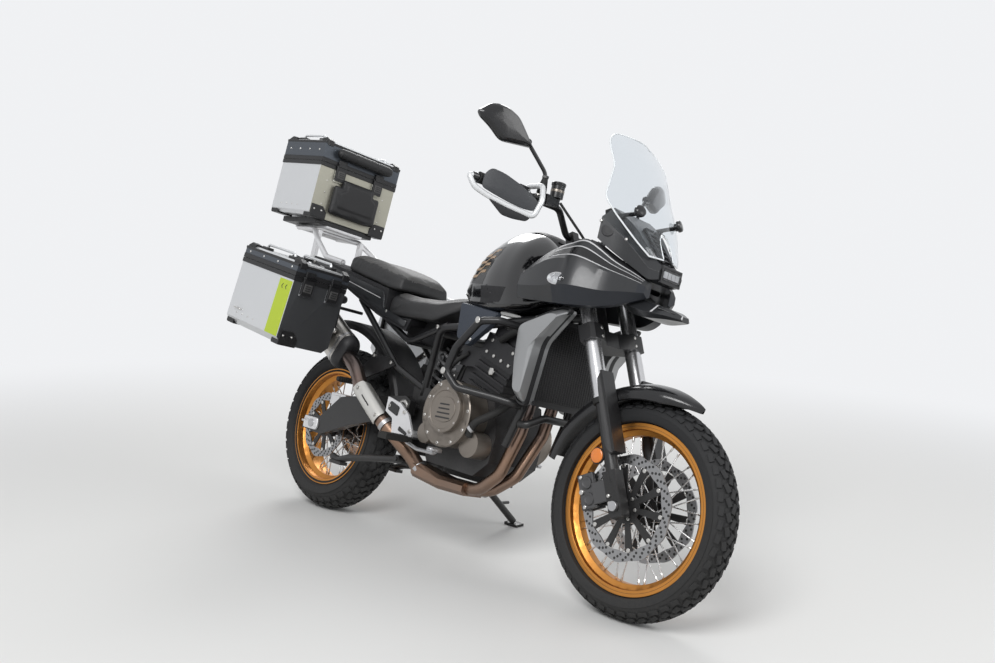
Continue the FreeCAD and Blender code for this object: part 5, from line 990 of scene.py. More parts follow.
HALF_FORK = 105.0
FORK_AXIS = aim(ALONG_FORK[:, 2])
SEAL, FORK_TOP = station_of(640), station_of(1078)


def fork_guard(side):
    """A bowed sheet: an arc of +-78 degrees about the leg, narrower at its ends, given a wall of 3 mm."""
    stations = station_of(470) + (station_of(700) - station_of(470)) * np.linspace(0, 1, 26)
    along = np.linspace(0, 1, 26)
    reach = np.radians(78) * np.interp(along, [0, 0.06, 0.2, 0.8, 0.93, 1], [0.72, 0.92, 1.0, 0.86, 0.8, 0.5])
    angles = reach[:, None] * np.linspace(-1, 1, 19)[None, :]
    sheets = []
    for radius in (38.5, 35.5):
        ahead, aside = radius * np.cos(angles), side * HALF_FORK + (radius - 3) * np.sin(angles)
        local = np.stack([FORK_AHEAD + ahead, aside, stations[:, None] + 0 * angles], -1)
        sheets.append(local @ ALONG_FORK.T + (STEER_FOOT, 0, 0))
    return shell(sheets[0], sheets[1])


for label, side in SIDES:
    foot = fork_point(FORK_AHEAD, side * HALF_FORK, SEAL)
    length = FORK_TOP - SEAL
    tube_shape = lathe([(-12, 24), (-12, 26.4), (-3, 27.2), (0, 26.3), (length - 3, 26.3), (length, 25),
                        (length + 3, 24),
                        (length + 3, 20), (length + 8, 19), (length + 8, 8)], foot, FORK_AXIS, 56)
    ring = lathe([(-26, 22), (-26, 27), (-22, 28.4), (-10, 28.4), (-8, 26)], foot, FORK_AXIS, 48)
    hexagon = lathe([(length + 7, 11), (length + 16, 11), (length + 17, 9)], foot, FORK_AXIS, 6)
    piece("fork_tube_" + label, [(tube_shape, FORK_SILVER), (ring, RUBBER), (hexagon, GOLD)], "fork_tubes",
          ("fork_tubes",),
          angle=32)
welded("fork_legs", "fork_sliders", FORK_BLACK, bevel=2.5)
shapes = []
for side in (-1, 1):
    shapes.append((fork_guard(side), PLASTIC))
    for station in (482, 520):
        for aside in (-20, 20):
            at = fork_point(FORK_AHEAD + 33, side * HALF_FORK + aside, station_of(station))
            facing = aim(ALONG_FORK @ np.array([0.86, aside / 40, 0]))
            shapes.append((lathe([(0, 4.4), (2.5, 4), (3, 2)], at, facing, 10), BOLT))
    for station in (AXLE_STATION + 12, AXLE_STATION + 34):
        at = fork_point(FORK_AHEAD - 14, side * (HALF_FORK + 20), station)
        shapes.append((lathe([(0, 5.5), (5, 5.5), (6, 4)], at, aim((0, side, 0)), 12), BOLT))
    holder = fork_point(FORK_AHEAD - 34, side * (HALF_FORK + 17), AXLE_STATION + 162)
    shapes.append((lathe([(-5, 20), (-4, 25), (2, 25.5), (4, 24)], holder, aim((0, side, 0)), 36), PLASTIC))
    shapes.append((lathe([(0, 22.5), (6, 22), (8, 19), (8.6, 6)], holder, aim((0, side, 0)), 36), AMBER))
    arm = holder - np.array([0, side * 6, 0])
    shapes.append((block((44, 7, 16), arm + (16, 0, 2), ALONG_FORK, 2), PLASTIC))
piece("fork_trim", shapes, "fork_legs", angle=34)
welded("fork_clamps", "triple_clamps", FORK_BLACK, bevel=2.2)
shapes = []
for side in (-1, 1):
    for station in (station_of(824) - 14, station_of(824) + 14, station_of(1060)):
        at = fork_point(FORK_AHEAD + 30, side * (HALF_FORK - 18), station)
        shapes.append((lathe([(-6, 5.5), (1, 5.5), (2.5, 4)], at, aim(ALONG_FORK[:, 0]), 12), BOLT))
stem_nut = lathe([(12, 19), (22, 19), (24, 16)], fork_point(0, 0, station_of(1060) - 13), FORK_AXIS, 6)
shapes.append((stem_nut, BOLT))
piece("clamp_bolts", shapes, "fork_clamps", angle=34)

# %% [markdown]
# The mudguard is a thin arched sheet with a peak along its middle and turned-down edges. It is an arc about the
# axle: the angle runs along it, a small table gives the cross-section, and another narrows it to the pointed tip.

# %% Front mudguard
FENDER_SECTION = np.array([(-24, 1.0), (-10, 1.02), (1, 0.98), (10, 0.88), (16, 0.74), (21, 0.6), (27, 0.3),
                           (31, 0.06),
                           (31, -0.06), (27, -0.3), (21, -0.6), (16, -0.74), (10, -0.88), (1, -0.98), (-10, -1.02),
                           (-24, -1.0)])
angles = np.linspace(64.5, 165, 64)
narrow = np.interp(angles, [64.5, 66, 69, 75, 84, 95, 150, 165], [0.06, 0.18, 0.36, 0.62, 0.86, 1.0, 1.0, 0.9])
drop = np.interp(angles, [64.5, 70, 84, 150, 165], [0.12, 0.35, 1.0, 1.0, 0.9])
lift = np.interp(angles, [64.5, 72, 88, 165], [6, 3, 0, 0])
base_radius = FRONT_RADIUS + 20
rise, sideways = FENDER_SECTION.T
sheets = []
for inset in (0.0, 3.5):
    shaped = np.where(rise < 0, rise[None, :] * drop[:, None], rise[None, :] * (0.35 + 0.65 * narrow[:, None]))
    radius = base_radius + lift[:, None] + shaped - inset
    wide = 74 * sideways[None, :] * narrow[:, None] * (1 - inset / 74)
    turn = np.radians(angles)[:, None]
    along, upwards = FRONT_AXLE[0] + radius * np.cos(turn), FRONT_AXLE[2] + radius * np.sin(turn)
    sheets.append(np.stack([along, wide + 0 * turn, upwards], -1))
shapes = [(shell(sheets[0], sheets[1]), GLOSS)]
for side in (-1, 1):
    middle = fork_point(FORK_AHEAD, side * (HALF_FORK - 26.3 - 4.5), AXLE_STATION + FRONT_RADIUS + 4)
    shapes.append((block((60, 9, 54), middle, ALONG_FORK, 3), PLASTIC))
    for dx in (-20, 20):
        at = middle + ALONG_FORK @ np.array([dx, 0, -14]) + (0, side * 3, 0)
        shapes.append((bar(at, at + (0, side * 4, 0), 6, 12), BOLT))
piece("mudguard", shapes, "front_fender", ("front_fender",), angle=30)

# %% [markdown]
# The calipers grip the discs behind the legs. The solid block stays as their body, and the piston caps, the
# bridge bolts and the pad pin are turned parts set on it.

# %% Front calipers
welded("front_calipers", "caliper_bodies", CALIPER, bevel=4)
shapes = []
for side in (-1, 1):
    middle = fork_point(FORK_AHEAD - 118, side * FRONT_DISC_Y, AXLE_STATION + 76)
    for step in (-25, 25):
        at = middle + ALONG_FORK @ np.array([4, 0, step]) + (0, side * 22, 0)
        shapes.append((lathe([(-2, 20), (2, 20), (5, 18), (5.6, 14), (4.4, 12), (4.4, 4)], at, aim((0, side, 0)), 32),
                       CALIPER))
    for step in (-46, 46):
        at = middle + ALONG_FORK @ np.array([-16, 0, step]) + (0, side * 22, 0)
        shapes.append((lathe([(0, 6), (4, 6), (5, 4)], at, aim((0, side, 0)), 12), BOLT))
    at = middle + ALONG_FORK @ np.array([-18, 0, 0]) + (0, side * 23, 0)
    shapes.append((lathe([(0, 8), (7, 8), (8, 6)], at, aim((0, side, 0)), 12), BOLT))
piece("caliper_caps", shapes, "front_calipers", angle=34)

# %% [markdown]
# The cockpit turns with the fork. On the real machine rubber grips slide over a bent tube, aluminium loops guard
# the hands, and a plastic shield fills each loop. The solid model has the main shapes. Here the grips get their
# ribs, each loop becomes bright metal, and the mirror gets a rim and its glass.

# %% Points along the handlebar
BAR_MIDDLE = np.array([1059.0306, 0, 1134.2861])
BAR_ROOT, BAR_TIP = BAR_MIDDLE + (4, 150, 76), BAR_MIDDLE + (-72, 455, 88)
BAR_ALONG = unit(BAR_TIP - BAR_ROOT)


def flipped(pairs):
    """The mirror images of the shapes, in the same materials."""
    return [(mirrored(shape), material) for shape, material in pairs]


def both(pairs):
    """The shapes of the left side together with their mirror images on the right."""
    return pairs + flipped(pairs)


def on_bar(back, radius_profile, count=32):
    """A turned part on the left bar, from stations (distance inwards from the tip, radius)."""
    return lathe([(-distance, radius) for distance, radius in radius_profile], BAR_TIP - BAR_ALONG * back,
                 aim(BAR_ALONG),
                 count)


# %% Handlebar, grips and controls
GRIP_RIBS = 22
grip = [(-1, 6), (-1, 17.2), (0, 18.4), (3, 18.6)]
for k in range(GRIP_RIBS):
    start = 6 + 5.2 * k
    grip += [(start, 18.4), (start + 0.8, 17.5), (start + 4.0, 17.5), (start + 4.8, 18.4)]
grip += [(122, 19.6), (127, 19.6), (128.5, 17.5)]
end_weight = on_bar(0, [(-7, 4), (-7, 9), (-5, 12), (-0.5, 12.5)])
CLAMP = BAR_TIP - BAR_ALONG * 210
SWITCH = BAR_TIP - BAR_ALONG * 152
face_turn = np.column_stack([unit((-1, -0.24, 0)), BAR_ALONG, (0, 0, 1)])
pairs = [(on_bar(0, grip), RUBBER), (end_weight, GLOSS)]
pairs += [(block((5, 10, 7), SWITCH + (-24, 4, 10), face_turn, 1.5), PLASTIC),
          (block((5, 16, 6), SWITCH + (-24, -4, -4), face_turn, 1.5), GLOSS),
          (bar(SWITCH + (-22, 10, -14), SWITCH + (-28, 10, -14), 5, 16), GLOSS),
          (bar(SWITCH + (0, 0, 22), SWITCH + (0, 0, 25.5), 4, 12), BOLT)]
pairs.append((bar(CLAMP + (34, 16, 6), CLAMP + (34, 16, 12), 6, 14), BOLT))
shapes = both(pairs)
ORANGE = finish("orange red switch", (0.75, 0.09, 0.02), 0.35, spread=0.05, dust=0.02, bump=0.02)
right_switch = SWITCH * (1, -1, 1)
shapes.append((block((6, 15, 12), right_switch + (-23.5, -2, 12)), ORANGE))
pot = np.array([1081.8, -193.4, 1252.3])
shapes += [(lathe([(0, 23.2), (2, 24), (9, 24), (11, 22), (11.6, 8)], pot + (0, 0, 20), aim((0, 0, 1)), 36), GLOSS),
           (lathe([(0, 22.6), (6, 22.9), (8, 22.6)], pot + (0, 0, -2), aim((0, 0, 1)), 36), BRONZE),
           (lathe([(-1, 8), (0, 9.5), (1.6, 8.6), (2, 3)], pot + (-21.4, 6, -6), aim((-1, 0.25, 0)), 20), AMBER),
           (copies(lathe([(0, 2.6), (1.6, 2.2)], count=8), [pot + (12 * s, 14 * s, 31.4) for s in (-1, 1)],
                   [aim((0, 0, 1))] * 2), BOLT)]
piece("bar_fittings", shapes, "handlebar", angle=32)
welded("handlebar", "handlebar_tube", BLACK, bevel=1.4)
print("cockpit: grips with", GRIP_RIBS, "ribs")

# %% [markdown]
# Each guard is one closed tube that runs out from the tip of the bar, down in front of the fingers and up to the
# inner clamp. Making the tube a little thicker than the solid one lets the bright metal cover it, and the shields
# stay dark so that the loop reads as an outline.

# %% Hand guards
half = 455
inner = BAR_TIP - BAR_ALONG * 184
x0, z0 = BAR_MIDDLE[0], BAR_MIDDLE[2]
LOOP = [BAR_TIP + BAR_ALONG * 0.3, BAR_TIP + BAR_ALONG * 36, (x0 - 64, half + 17, z0 + 54),
        (x0 - 36, half - 20, z0 + 36),
        (x0 + 4, half - 74, z0 + 19), (x0 + 56, half - 144, z0 + 4), (x0 + 66, half - 158, z0 + 60),
        (x0 + 44, half - 170, z0 + 112), (inner[0], inner[1], z0 + 112), inner + (0, 0, 11.4)]
LOOP_METAL = finish("white silver guard", (0.66, 0.67, 0.68), 0.34, metal=0.35, spread=0.06, dust=0.06, bump=0.03)
loop_path = rounded_path(LOOP, 15, 7)
SHIELD_START = np.array([x0 - 50, half + 6])
SHIELD_ALONG = unit(np.array([x0 + 60, half - 152]) - SHIELD_START)
UPPER = [(6, 58), (8, 100), (27, 122), (70, 114), (122, 93), (165, 70), (188, 54), (183, 22), (142, 22), (101, 30),
         (50, 44)]
LOWER = [(34, 27), (66, 18), (101, 12), (174, 0), (163, -15), (120, -17), (84, -13)]


def shield(outline, ahead, behind, dome, bend):
    """A bowed sheet in the guard's upright plane: rings of the outline shrink to its middle as they rise."""
    outline = rounded_loop(outline, bend)
    normal = np.array([SHIELD_ALONG[1], -SHIELD_ALONG[0]]) * -1
    rings = []
    for share, depth in ((1, behind), (1.02, behind + 1.5), (1.02, ahead - 1.5), (1, ahead),
                         (0.85, ahead + dome * 0.4),
                         (0.6, ahead + dome * 0.75), (0.3, ahead + dome * 0.95)):
        ring = scaled(outline, share)
        plan = SHIELD_START + SHIELD_ALONG * ring[:, :1] + normal * depth
        rings.append(np.column_stack([plan, z0 + ring[:, 1]]))
    return loft(rings)


UPPER_GREY = finish("dark grey guard shield", (0.032, 0.034, 0.038), 0.42, spread=0.12, dust=0.06, texture="grain",
                    scale=700, bump=0.2)
pairs = [(tube(loop_path, 9.0, 16), LOOP_METAL), (shield(UPPER, 3.4, -3.4, 5, 14), UPPER_GREY),
         (shield(LOWER, 3.4, -3.4, 3, 10), PLASTIC)]
collar = bar(inner + (0, 0, -8), inner + (0, 0, 16), 12, 20)
end_cap = bar(BAR_TIP + BAR_ALONG * 1, BAR_TIP + BAR_ALONG * 22, 12.5, 20)
pairs += [(collar, LOOP_METAL), (end_cap, GLOSS), (bar(inner + (0, 0, 14), inner + (0, 0, 19), 6, 12), BOLT)]
piece("guards", both(pairs), "hand_guards", ("hand_guards",), angle=34, bevel=0.8)

# %% [markdown]
# A mirror is a kite-shaped housing whose back is domed, with the glass let into the face that looks back at the
# rider. The outline is rounded, then shrunk ring by ring to give both the bulge and the recess of the glass.

# %% Mirrors
MIRROR_OUTLINE = [(203, 272), (213, 287), (177, 320), (150, 327), (117, 325), (75, 308), (52, 283), (24, 250),
                  (6, 228),
                  (41, 225), (119, 218), (165, 252)]
start, end = BAR_MIDDLE + (-12, 305, 0), BAR_MIDDLE + (-83, 506, 0)
mirror_along = unit(end - start)
mirror_ahead = np.array([mirror_along[1], -mirror_along[0], 0])


def mirror_rings(rings, bend=16):
    """The mirror's outline at (share, ahead) rings, shrunk about its middle."""
    outline = rounded_loop(MIRROR_OUTLINE, bend)
    rows = []
    for share, ahead in rings:
        ring = scaled(outline, share)
        rows.append(start + mirror_along * ring[:, :1] + mirror_ahead * ahead + np.array([0, 0, 1]) * ring[:, 1:])
    return loft(rows)


housing = mirror_rings([(0.9, -9), (0.97, -9.5), (1.01, -7), (1.02, 0), (1.0, 8), (0.92, 14), (0.8, 18.6),
                        (0.5, 20.5),
                        (0.2, 21)])
glass = mirror_rings([(0.86, -9.4), (0.86, -10.4), (0.84, -10.6)])
rim = mirror_rings([(0.965, -10), (0.985, -10.4), (0.99, -8.8), (0.97, -8.8)])
base, stem_top, stem_turn = CLAMP + (30, 0, 13.3), BAR_MIDDLE + (-26, 322, 244), aim((0.06, -0.03, 1))
stem = rounded_path([base, base + (4, -2, 66), stem_top], 20, 7)
boot = lathe([(0, 15), (6, 16), (20, 14.5), (42, 11), (52, 9)], base + (0, 0, 2), stem_turn, 28)
nut = lathe([(0, 11), (8, 11)], base + (3, -1.5, 54), stem_turn, 6)
ball = lathe([(-11, 4), (-8, 10), (0, 13), (8, 10), (11, 4)], stem_top, aim(mirror_ahead), 24)
pairs = [(housing, GLOSS), (glass, MIRROR), (tube(stem, 6.6, 16), BLACK), (boot, RUBBER), (nut, BLACK),
         (ball, PLASTIC),
         (rim, CHARCOAL)]
piece("mirror_pair", both(pairs), "mirrors", ("mirrors",), angle=36, bevel=0.6)

# %% [markdown]
# Brake hoses and the clutch cable are clipped along the fork and move with it as one. Each is a tube of rubber
# along a smooth path, joined to the handlebar's body.

# %% Hoses along the fork
HOSES = (
    (pot + (4, 20, -30), (1120, -150, 1180), (1165, -90, 1110), (1195, -70, 1020)),
    (CLAMP + (34, 0, -6), (1100, 196, 1176), (1156, 118, 1094), (1192, 80, 1016)),
)
shapes = [(tube(rounded_path(path, 60, 12), 4.4, 12), RUBBER) for path in HOSES]
piece("bar_hoses", shapes, "handlebar", angle=40)

# %% [markdown]
# The tank is gloss black steel, broad in front of the knees. Its knee recess carries four brown strips bent
# like a Z. The strips have to lie on a curved side, so they are drawn in (x, z) and their y is read from the
# tank's own surface.

# %% Tank, knee recess and side panels
TANK_ROWS = [
    (668, (903, 92), (925, 105), (954, 74)), (700, (886, 106), (940, 128), (1016, 76)),
    (740, (862, 120), (958, 150), (1074, 74)), (800, (853, 130), (972, 168), (1120, 72)),
    (850, (849, 135), (980, 182), (1136, 78)), (905, (852, 138), (984, 189), (1137, 82)),
    (960, (859, 140), (985, 190), (1127, 84)), (1010, (872, 136), (976, 172), (1088, 84)),
    (1066, (898, 116), (960, 138), (1008, 80)),
]


def tank_section(x, low, middle, top):
    """Corners round the tank at x from (z, half width) at the bottom, middle and top."""
    (z0, y0), (z1, y1), (z2, y2) = low, middle, top
    half = [(y0, z0), (y0 * 0.15 + y1 * 0.85, z0 * 0.65 + z1 * 0.35), (y1, z1),
            (y1 * 0.66 + y2 * 0.34, z1 * 0.4 + z2 * 0.6),
            (y2, z2), (y2 * 0.35, z2 + 5)]
    return [(x, -y, z) for y, z in half] + [(x, y, z) for y, z in half[::-1]]


tank_rows = np.array([tank_section(*row) for row in TANK_ROWS], float)
tank_points = waves(waves(tank_rows, 56, False).transpose(1, 0, 2), 72, True).transpose(1, 0, 2)
tank_shape = loft(tank_points)
left_side = tank_points[tank_points[:, :, 1] > 60]


def tank_y(x, z):
    """The half width of the tank at (x, z): the mean of its nearest points, weighted by 1 / distance^2."""
    gap = (left_side[:, 0] - x) ** 2 + (left_side[:, 2] - z) ** 2
    near = np.argsort(gap)[:6]
    weight = 1 / (gap[near] + 4)
    return float((left_side[near, 1] * weight).sum() / weight.sum())


def on_tank(outline, side, rise, fill=6):
    """A thin sheet on the tank's side: the quad outline is filled with a grid that follows tank_y."""
    a, b, c, d = np.asarray(outline, float)
    u, v = np.linspace(0, 1, fill)[:, None, None], np.linspace(0, 1, fill)[None, :, None]
    flat = (1 - u) * ((1 - v) * a + v * b) + u * ((1 - v) * d + v * c)
    y = np.array([[tank_y(x, z) for x, z in row] for row in flat])
    top = np.stack([flat[..., 0], side * (y + rise), flat[..., 1]], -1)
    return shell(top, top - np.array([0, side * (rise + 2.5), 0]))


shapes = [(tank_shape, TANK)]
for side in (-1, 1):
    shapes.append((on_tank([(694, 940), (750, 1066), (862, 1074), (806, 934)], side, 0.6, 12), GLOSS))
    for k in range(4):
        low, x = 958 + 26 * k, 712 + 13 * k
        for outline in ([(x, low), (x + 2, low + 10), (x + 48, low + 10), (x + 44, low)],
                        [(x + 44, low), (x + 48, low + 10), (x + 68, low + 28), (x + 64, low + 18)],
                        [(x + 64, low + 18), (x + 68, low + 28), (x + 98, low + 28), (x + 94, low + 18)]):
            shapes.append((on_tank(outline, side, 1.4, 4), BROWN))
    shapes.append((on_tank([(806, 868), (800, 930), (940, 930), (900, 862)], side, 0.5, 8), PLASTIC))
spine = creased([(742, (0, 1080), (40, 1080), (52, 1086), (40, 1092), (0, 1094)),
                 (850, (0, 1134), (46, 1134), (60, 1142), (44, 1148), (0, 1150)),
                 (960, (0, 1127), (46, 1127), (60, 1134), (44, 1141), (0, 1143)),
                 (1052, (0, 1022), (42, 1022), (54, 1030), (40, 1038), (0, 1040))], 1)
shapes += [(spine, PLASTIC), (mirrored(spine), PLASTIC)]
CAP_X, CAP_TURN = 880, aim((0.04, 0, 1))
cap = lathe([(0, 30), (4, 31), (9, 29), (11, 22), (11.5, 8)], (CAP_X, 0, 1146), CAP_TURN, 40)
lip = lathe([(0, 38), (3, 38), (5, 35)], (CAP_X, 0, 1145), CAP_TURN, 40)
bolt_places = [(CAP_X + 34 * math.cos(a), 34 * math.sin(a), 1148) for a in np.radians(np.arange(0, 360, 60))]
bolts = copies(lathe([(0, 3), (2.6, 2.6)], count=8), bolt_places, [aim((0, 0, 1))] * len(bolt_places))
shapes += [(cap, GLOSS), (lip, PLASTIC), (bolts, BOLT)]
for k in range(5):
    shapes.append((block((9, 60, 7), (984 + 13 * k, 0, 1125 - 15 * k), turn_about((0, 1, 0), 52), 2), GLOSS))
piece("fuel_tank", shapes, "tank", ("tank",), angle=40)
for label, side in SIDES:
    shapes = [(panel([(712, 868), (905, 846), (880, 800), (785, 717), (724, 742)], side,
                     [(142.6, 1), (158, 0.99), (163, 0.95)], 14, 3), BLUE_GREY)]
    shapes.append((bar((800, side * 162, 742), (800, side * 168, 742), 6, 12), BOLT))
    piece("knee_panel_" + label, shapes, "side_panels", ("side_panels",))

# %% [markdown]
# The side cowls run from the tank past the fork to the nose, with a crease that rises and falls along them, and
# two pale lines over the top, with a third, wider pale line near the upper ridge that is a painted highlight. The
# shrouds below are the palest panels of the machine, framed by a dark lip.

# %% Cowls with their lines and indicators, and shrouds
COWL_ROWS = (
    (1006, (174, 902), (196, 900), (208, 940), (202, 975), (186, 990), (174, 990)),
    (1060, (168, 899), (200, 896), (220, 938), (212, 1000), (186, 1034), (168, 1030)),
    (1120, (160, 896), (205, 894), (229, 940), (220, 1024), (186, 1070), (162, 1063)),
    (1180, (160, 895), (210, 893), (236, 946), (223, 1034), (180, 1096), (162, 1088)),
    (1244, (160, 894), (212, 893), (236, 950), (222, 1030), (174, 1108), (162, 1100)),
    (1330, (112, 912), (150, 908), (184, 950), (176, 1012), (138, 1056), (118, 1048)),
    (1380, (76, 938), (102, 934), (130, 962), (124, 1002), (98, 1030), (80, 1026)),
    (1420, (52, 962), (64, 958), (84, 970), (82, 992), (66, 1007), (52, 1005)),
)
cowl_rows = np.array([[(x, y, z) for y, z in corners] for x, *corners in COWL_ROWS], float)
fine_rows = waves(cowl_rows, 60, False)


def cowl_line(start, end, place, width, rise):
    """A pale line on the cowl's upper face, at a share of the way between two corners."""
    keep = fine_rows[int(start * 59):int(end * 59)]
    edge_a, edge_b = keep[:, 3], keep[:, 4]
    normal = np.cross(edge_b - edge_a, np.gradient((edge_a + edge_b) / 2, axis=0))
    normal = unit(normal) * np.sign(normal[:, 2:3])
    top = np.stack([edge_a + (edge_b - edge_a) * share + normal * rise for share in (place - width, place + width)],
                   1)
    return shell(top, top - normal[:, None] * (rise + 1.5))


LAMP_X, LAMP_Z, LAMP_TURN = 1196, 966, aim((0.12, 1, 0.1))
for label, side in SIDES:
    body = loft(waves(cowl_rows, 44, False))
    # The lines at 0.2 and 0.62 are real pale lines; the wider one at 0.9, near the upper ridge, is a painted
    # highlight.
    pale_lines_and_ridge_highlight = [cowl_line(0.33, 0.97, place, width, 0.7) for place, width in ((0.2, 0.022), (0.62, 0.022), (0.9, 0.03))]
    inset = cowl_line(0.3, 0.95, 0.41, 0.17, 0.35)
    lens = squashed(lathe([(0, 22), (5, 21), (10, 16), (13, 7)], count=36), (1.5, 1, 0.78))
    lens = moved(lens, LAMP_TURN, (LAMP_X, 235, LAMP_Z))
    bezel = squashed(lathe([(0, 26), (3, 26), (4, 23)], count=36), (1.45, 1, 0.78))
    bezel = moved(bezel, LAMP_TURN, (LAMP_X, 233, LAMP_Z))
    diodes = joined([block((7, 3, 10), (LAMP_X - 14 + 10 * k, 238, LAMP_Z), edge=1) for k in range(4)])
    pairs = [(body, CHARCOAL)] + [(line, STRIPE) for line in pale_lines_and_ridge_highlight]
    pairs += [(inset, GLOSS), (bezel, STRIPE), (lens, LENS), (diodes, STRIPE)]
    if side < 0:
        pairs = flipped(pairs)
    cowl = piece("cowl_" + label, pairs, "side_cowls", ("side_cowls",), angle=24, bevel=1.6)
    cowl.data.materials.append(SKIRT)
    skirt_index = len(cowl.data.materials) - 1
    repaint(cowl, lambda middles, normals: np.where(
        middles[:, 2] < np.interp(middles[:, 0], [1006, 1100, 1244, 1420], [870, 895, 940, 985]), skirt_index, -1))

SHROUD = [(1052, 823), (1196, 884), (1241, 881), (1150, 770), (1128, 562), (1086, 572), (1062, 698)]
for label, side in SIDES:
    face = panel(SHROUD, side, [(150.6, 1), (176, 1), (206, 0.9), (222, 0.82)], 26, 8)
    lip_rings = side_rings(rounded_loop(SHROUD, 26), side, ((168, 1.0), (168, 1.03), (186, 1.03), (188, 0.99)))
    lip = grid(lip_rings, wrap_u=True, wrap_v=True)
    piece("shroud_" + label, [(face, SILVER), (lip, PLASTIC)], "shrouds", ("shrouds",), angle=30, bevel=1.2)

# %% [markdown]
# The nose is a narrow black housing between the cowls, and two thin webs close the gaps beside it. Its front
# slope has a ladder of small bars, and the LED lamp looks out of a square bezel under them. The beak ends in a
# pale tip with two slots.

# %% Nose, lamp and beak
NOSE_ROWS = [
    (1250, (-150, 1120), (-96, 1112), (96, 1112), (150, 1120), (148, 1190), (96, 1232), (-96, 1232), (-148, 1190)),
    (1290, (-132, 1092), (-84, 1084), (84, 1084), (132, 1092), (134, 1160), (88, 1208), (-88, 1208), (-134, 1160)),
    (1330, (-108, 1066), (-70, 1058), (70, 1058), (108, 1066), (116, 1130), (76, 1178), (-76, 1178), (-116, 1130)),
    (1376, (-90, 1040), (-60, 1034), (60, 1034), (90, 1040), (98, 1090), (64, 1128), (-64, 1128), (-98, 1090)),
    (1416, (-74, 1018), (-50, 1012), (50, 1012), (74, 1018), (80, 1052), (54, 1082), (-54, 1082), (-80, 1052)),
    (1444, (-58, 1022), (-44, 1016), (44, 1016), (58, 1022), (62, 1046), (46, 1066), (-46, 1066), (-62, 1046)),
]
shapes = [(creased(NOSE_ROWS, 1, 30), CHARCOAL)]
web = np.array([[(1240, 128, 1114), (1240, 182, 1088)], [(1290, 108, 1084), (1290, 164, 1062)],
                [(1330, 92, 1062), (1330, 146, 1036)], [(1390, 66, 1034), (1390, 106, 1010)]], float)
web_shape = shell(web, web - (0, 0, 4))
shapes += [(web_shape, PLASTIC), (mirrored(web_shape), PLASTIC)]
slope = turn_about((0, 1, 0), 48)
for k in range(7):
    shapes.append((block((5, 44, 7), (1418 - 15 * k, 0, 1088 + 16.5 * k), slope, 1.5), GLOSS))
for side in (-1, 1):
    rail = [(1428, side * 24, 1078), (1374, side * 26, 1136), (1330, side * 27, 1184)]
    shapes.append((tube(np.array(rail, float), 5, 8), GLOSS))
    shapes.append((lathe([(0, 21), (2, 22), (3.5, 20), (4, 12)], (1276, side * 136, 1150), aim((0.45, side, 0.12)),
                         32),
                   PLASTIC))
    shapes.append((bar((1256, side * 100, 1206), (1300, side * 100, 1206), 9, 20), PLASTIC))
    shapes.append((rivets([(1252, side * 152, 1176), (1336, side * 116, 1128)], (0.2, side, 0.1), 5, 3), BOLT))
bezel = hoop((-52, 52), (-27, 27), (0, 10), 8)
turn = np.column_stack([(0, 1, 0), (0, 0, 1), (1, 0, 0)])
shapes.append((outward(moved(bezel, turn, (1440, 0, 1041))), GLOSS))
piece("nose_housing", shapes, "nose", ("nose",), angle=28, bevel=1.2)
lens = block((5, 86, 32), (1449, 0, 1042), edge=1.5)
cells = joined([block((4, 18, 20), (1446.2, y, 1042), edge=1) for y in (-30, -10, 10, 30)])
lamp = [(lens, LENS), (cells, STRIPE), (block((3, 92, 40), (1445.2, 0, 1042), edge=0.5), GLOSS)]
piece("lamp_cells", lamp, "headlamp", ("headlamp",), angle=30)
BEAK_ROWS = [
    (1336.7, (-56, 924), (56, 924), (76, 940), (60, 984), (-60, 984), (-76, 940)),
    (1380, (-64, 908), (64, 908), (84, 926), (54, 964), (-54, 964), (-84, 926)),
    (1430, (-64, 901), (64, 901), (80, 917), (46, 948), (-46, 948), (-80, 917)),
    (1490, (-44, 904), (44, 904), (60, 914), (36, 938), (-36, 938), (-60, 914)),
    (1532, (-16, 905), (16, 905), (22, 910), (14, 921), (-14, 921), (-22, 910)),
]
shapes = [(creased(BEAK_ROWS, 1, 30), CHARCOAL)]
for side in (-1, 1):
    tip = np.array([(1448, side * 73, 918), (1533, side * 20, 911), (1531, side * 14, 921), (1450, side * 43, 944)],
                   float)
    top = waves(np.stack([tip[:2], tip[[3, 2]]]), 5, False)
    shapes.append((shell(top + (0, 0, 2.2), top - (0, 0, 2)), STRIPE))
    for k in range(2):
        start = np.array([1464 + 22 * k, side * (58 - 12 * k), 934 - 4 * k])
        shapes.append((bar(start, start + (26, -side * 14, -5), 2.6, 8), GLOSS))
piece("beak_panel", shapes, "beak", ("beak",), angle=24, bevel=1.2)

# %% [markdown]
# The screen is one bowed sheet of clear plastic, wider at the hips, with a notch between two tongues at its foot.
# Its width, bow and set-back are smooth functions of height, and the cells inside the notch are left out.
# A thin pale tube round its outline and along the notch is a painted highlight of the glass edge.

# %% Windscreen and instrument display
SCREEN_TABLE = np.array([  # z, x at the middle, half width, x at the edge
    (1088, 1430, 76, 1408), (1120, 1414, 108, 1381), (1160, 1394, 140, 1348), (1205, 1374, 172, 1313),
    (1246, 1356, 189, 1287), (1300, 1328, 170, 1272), (1357, 1300, 149, 1258), (1414, 1266, 150, 1230),
    (1446, 1243, 138, 1212), (1470, 1226, 112, 1200), (1481, 1218, 82, 1194)], float)
z, x_middle, half, x_edge = waves(SCREEN_TABLE, 66, False).T
u = np.sign(np.linspace(-1, 1, 41)) * np.abs(np.linspace(-1, 1, 41)) ** 1.15
bow = (1 - u ** 2)[None, :]
outer = np.stack([x_edge[:, None] + (x_middle - x_edge)[:, None] * bow, half[:, None] * u[None, :],
                  np.broadcast_to(z[:, None], (len(z), len(u)))], -1)
inner = outer - np.array([4.0, 0, 0.8])
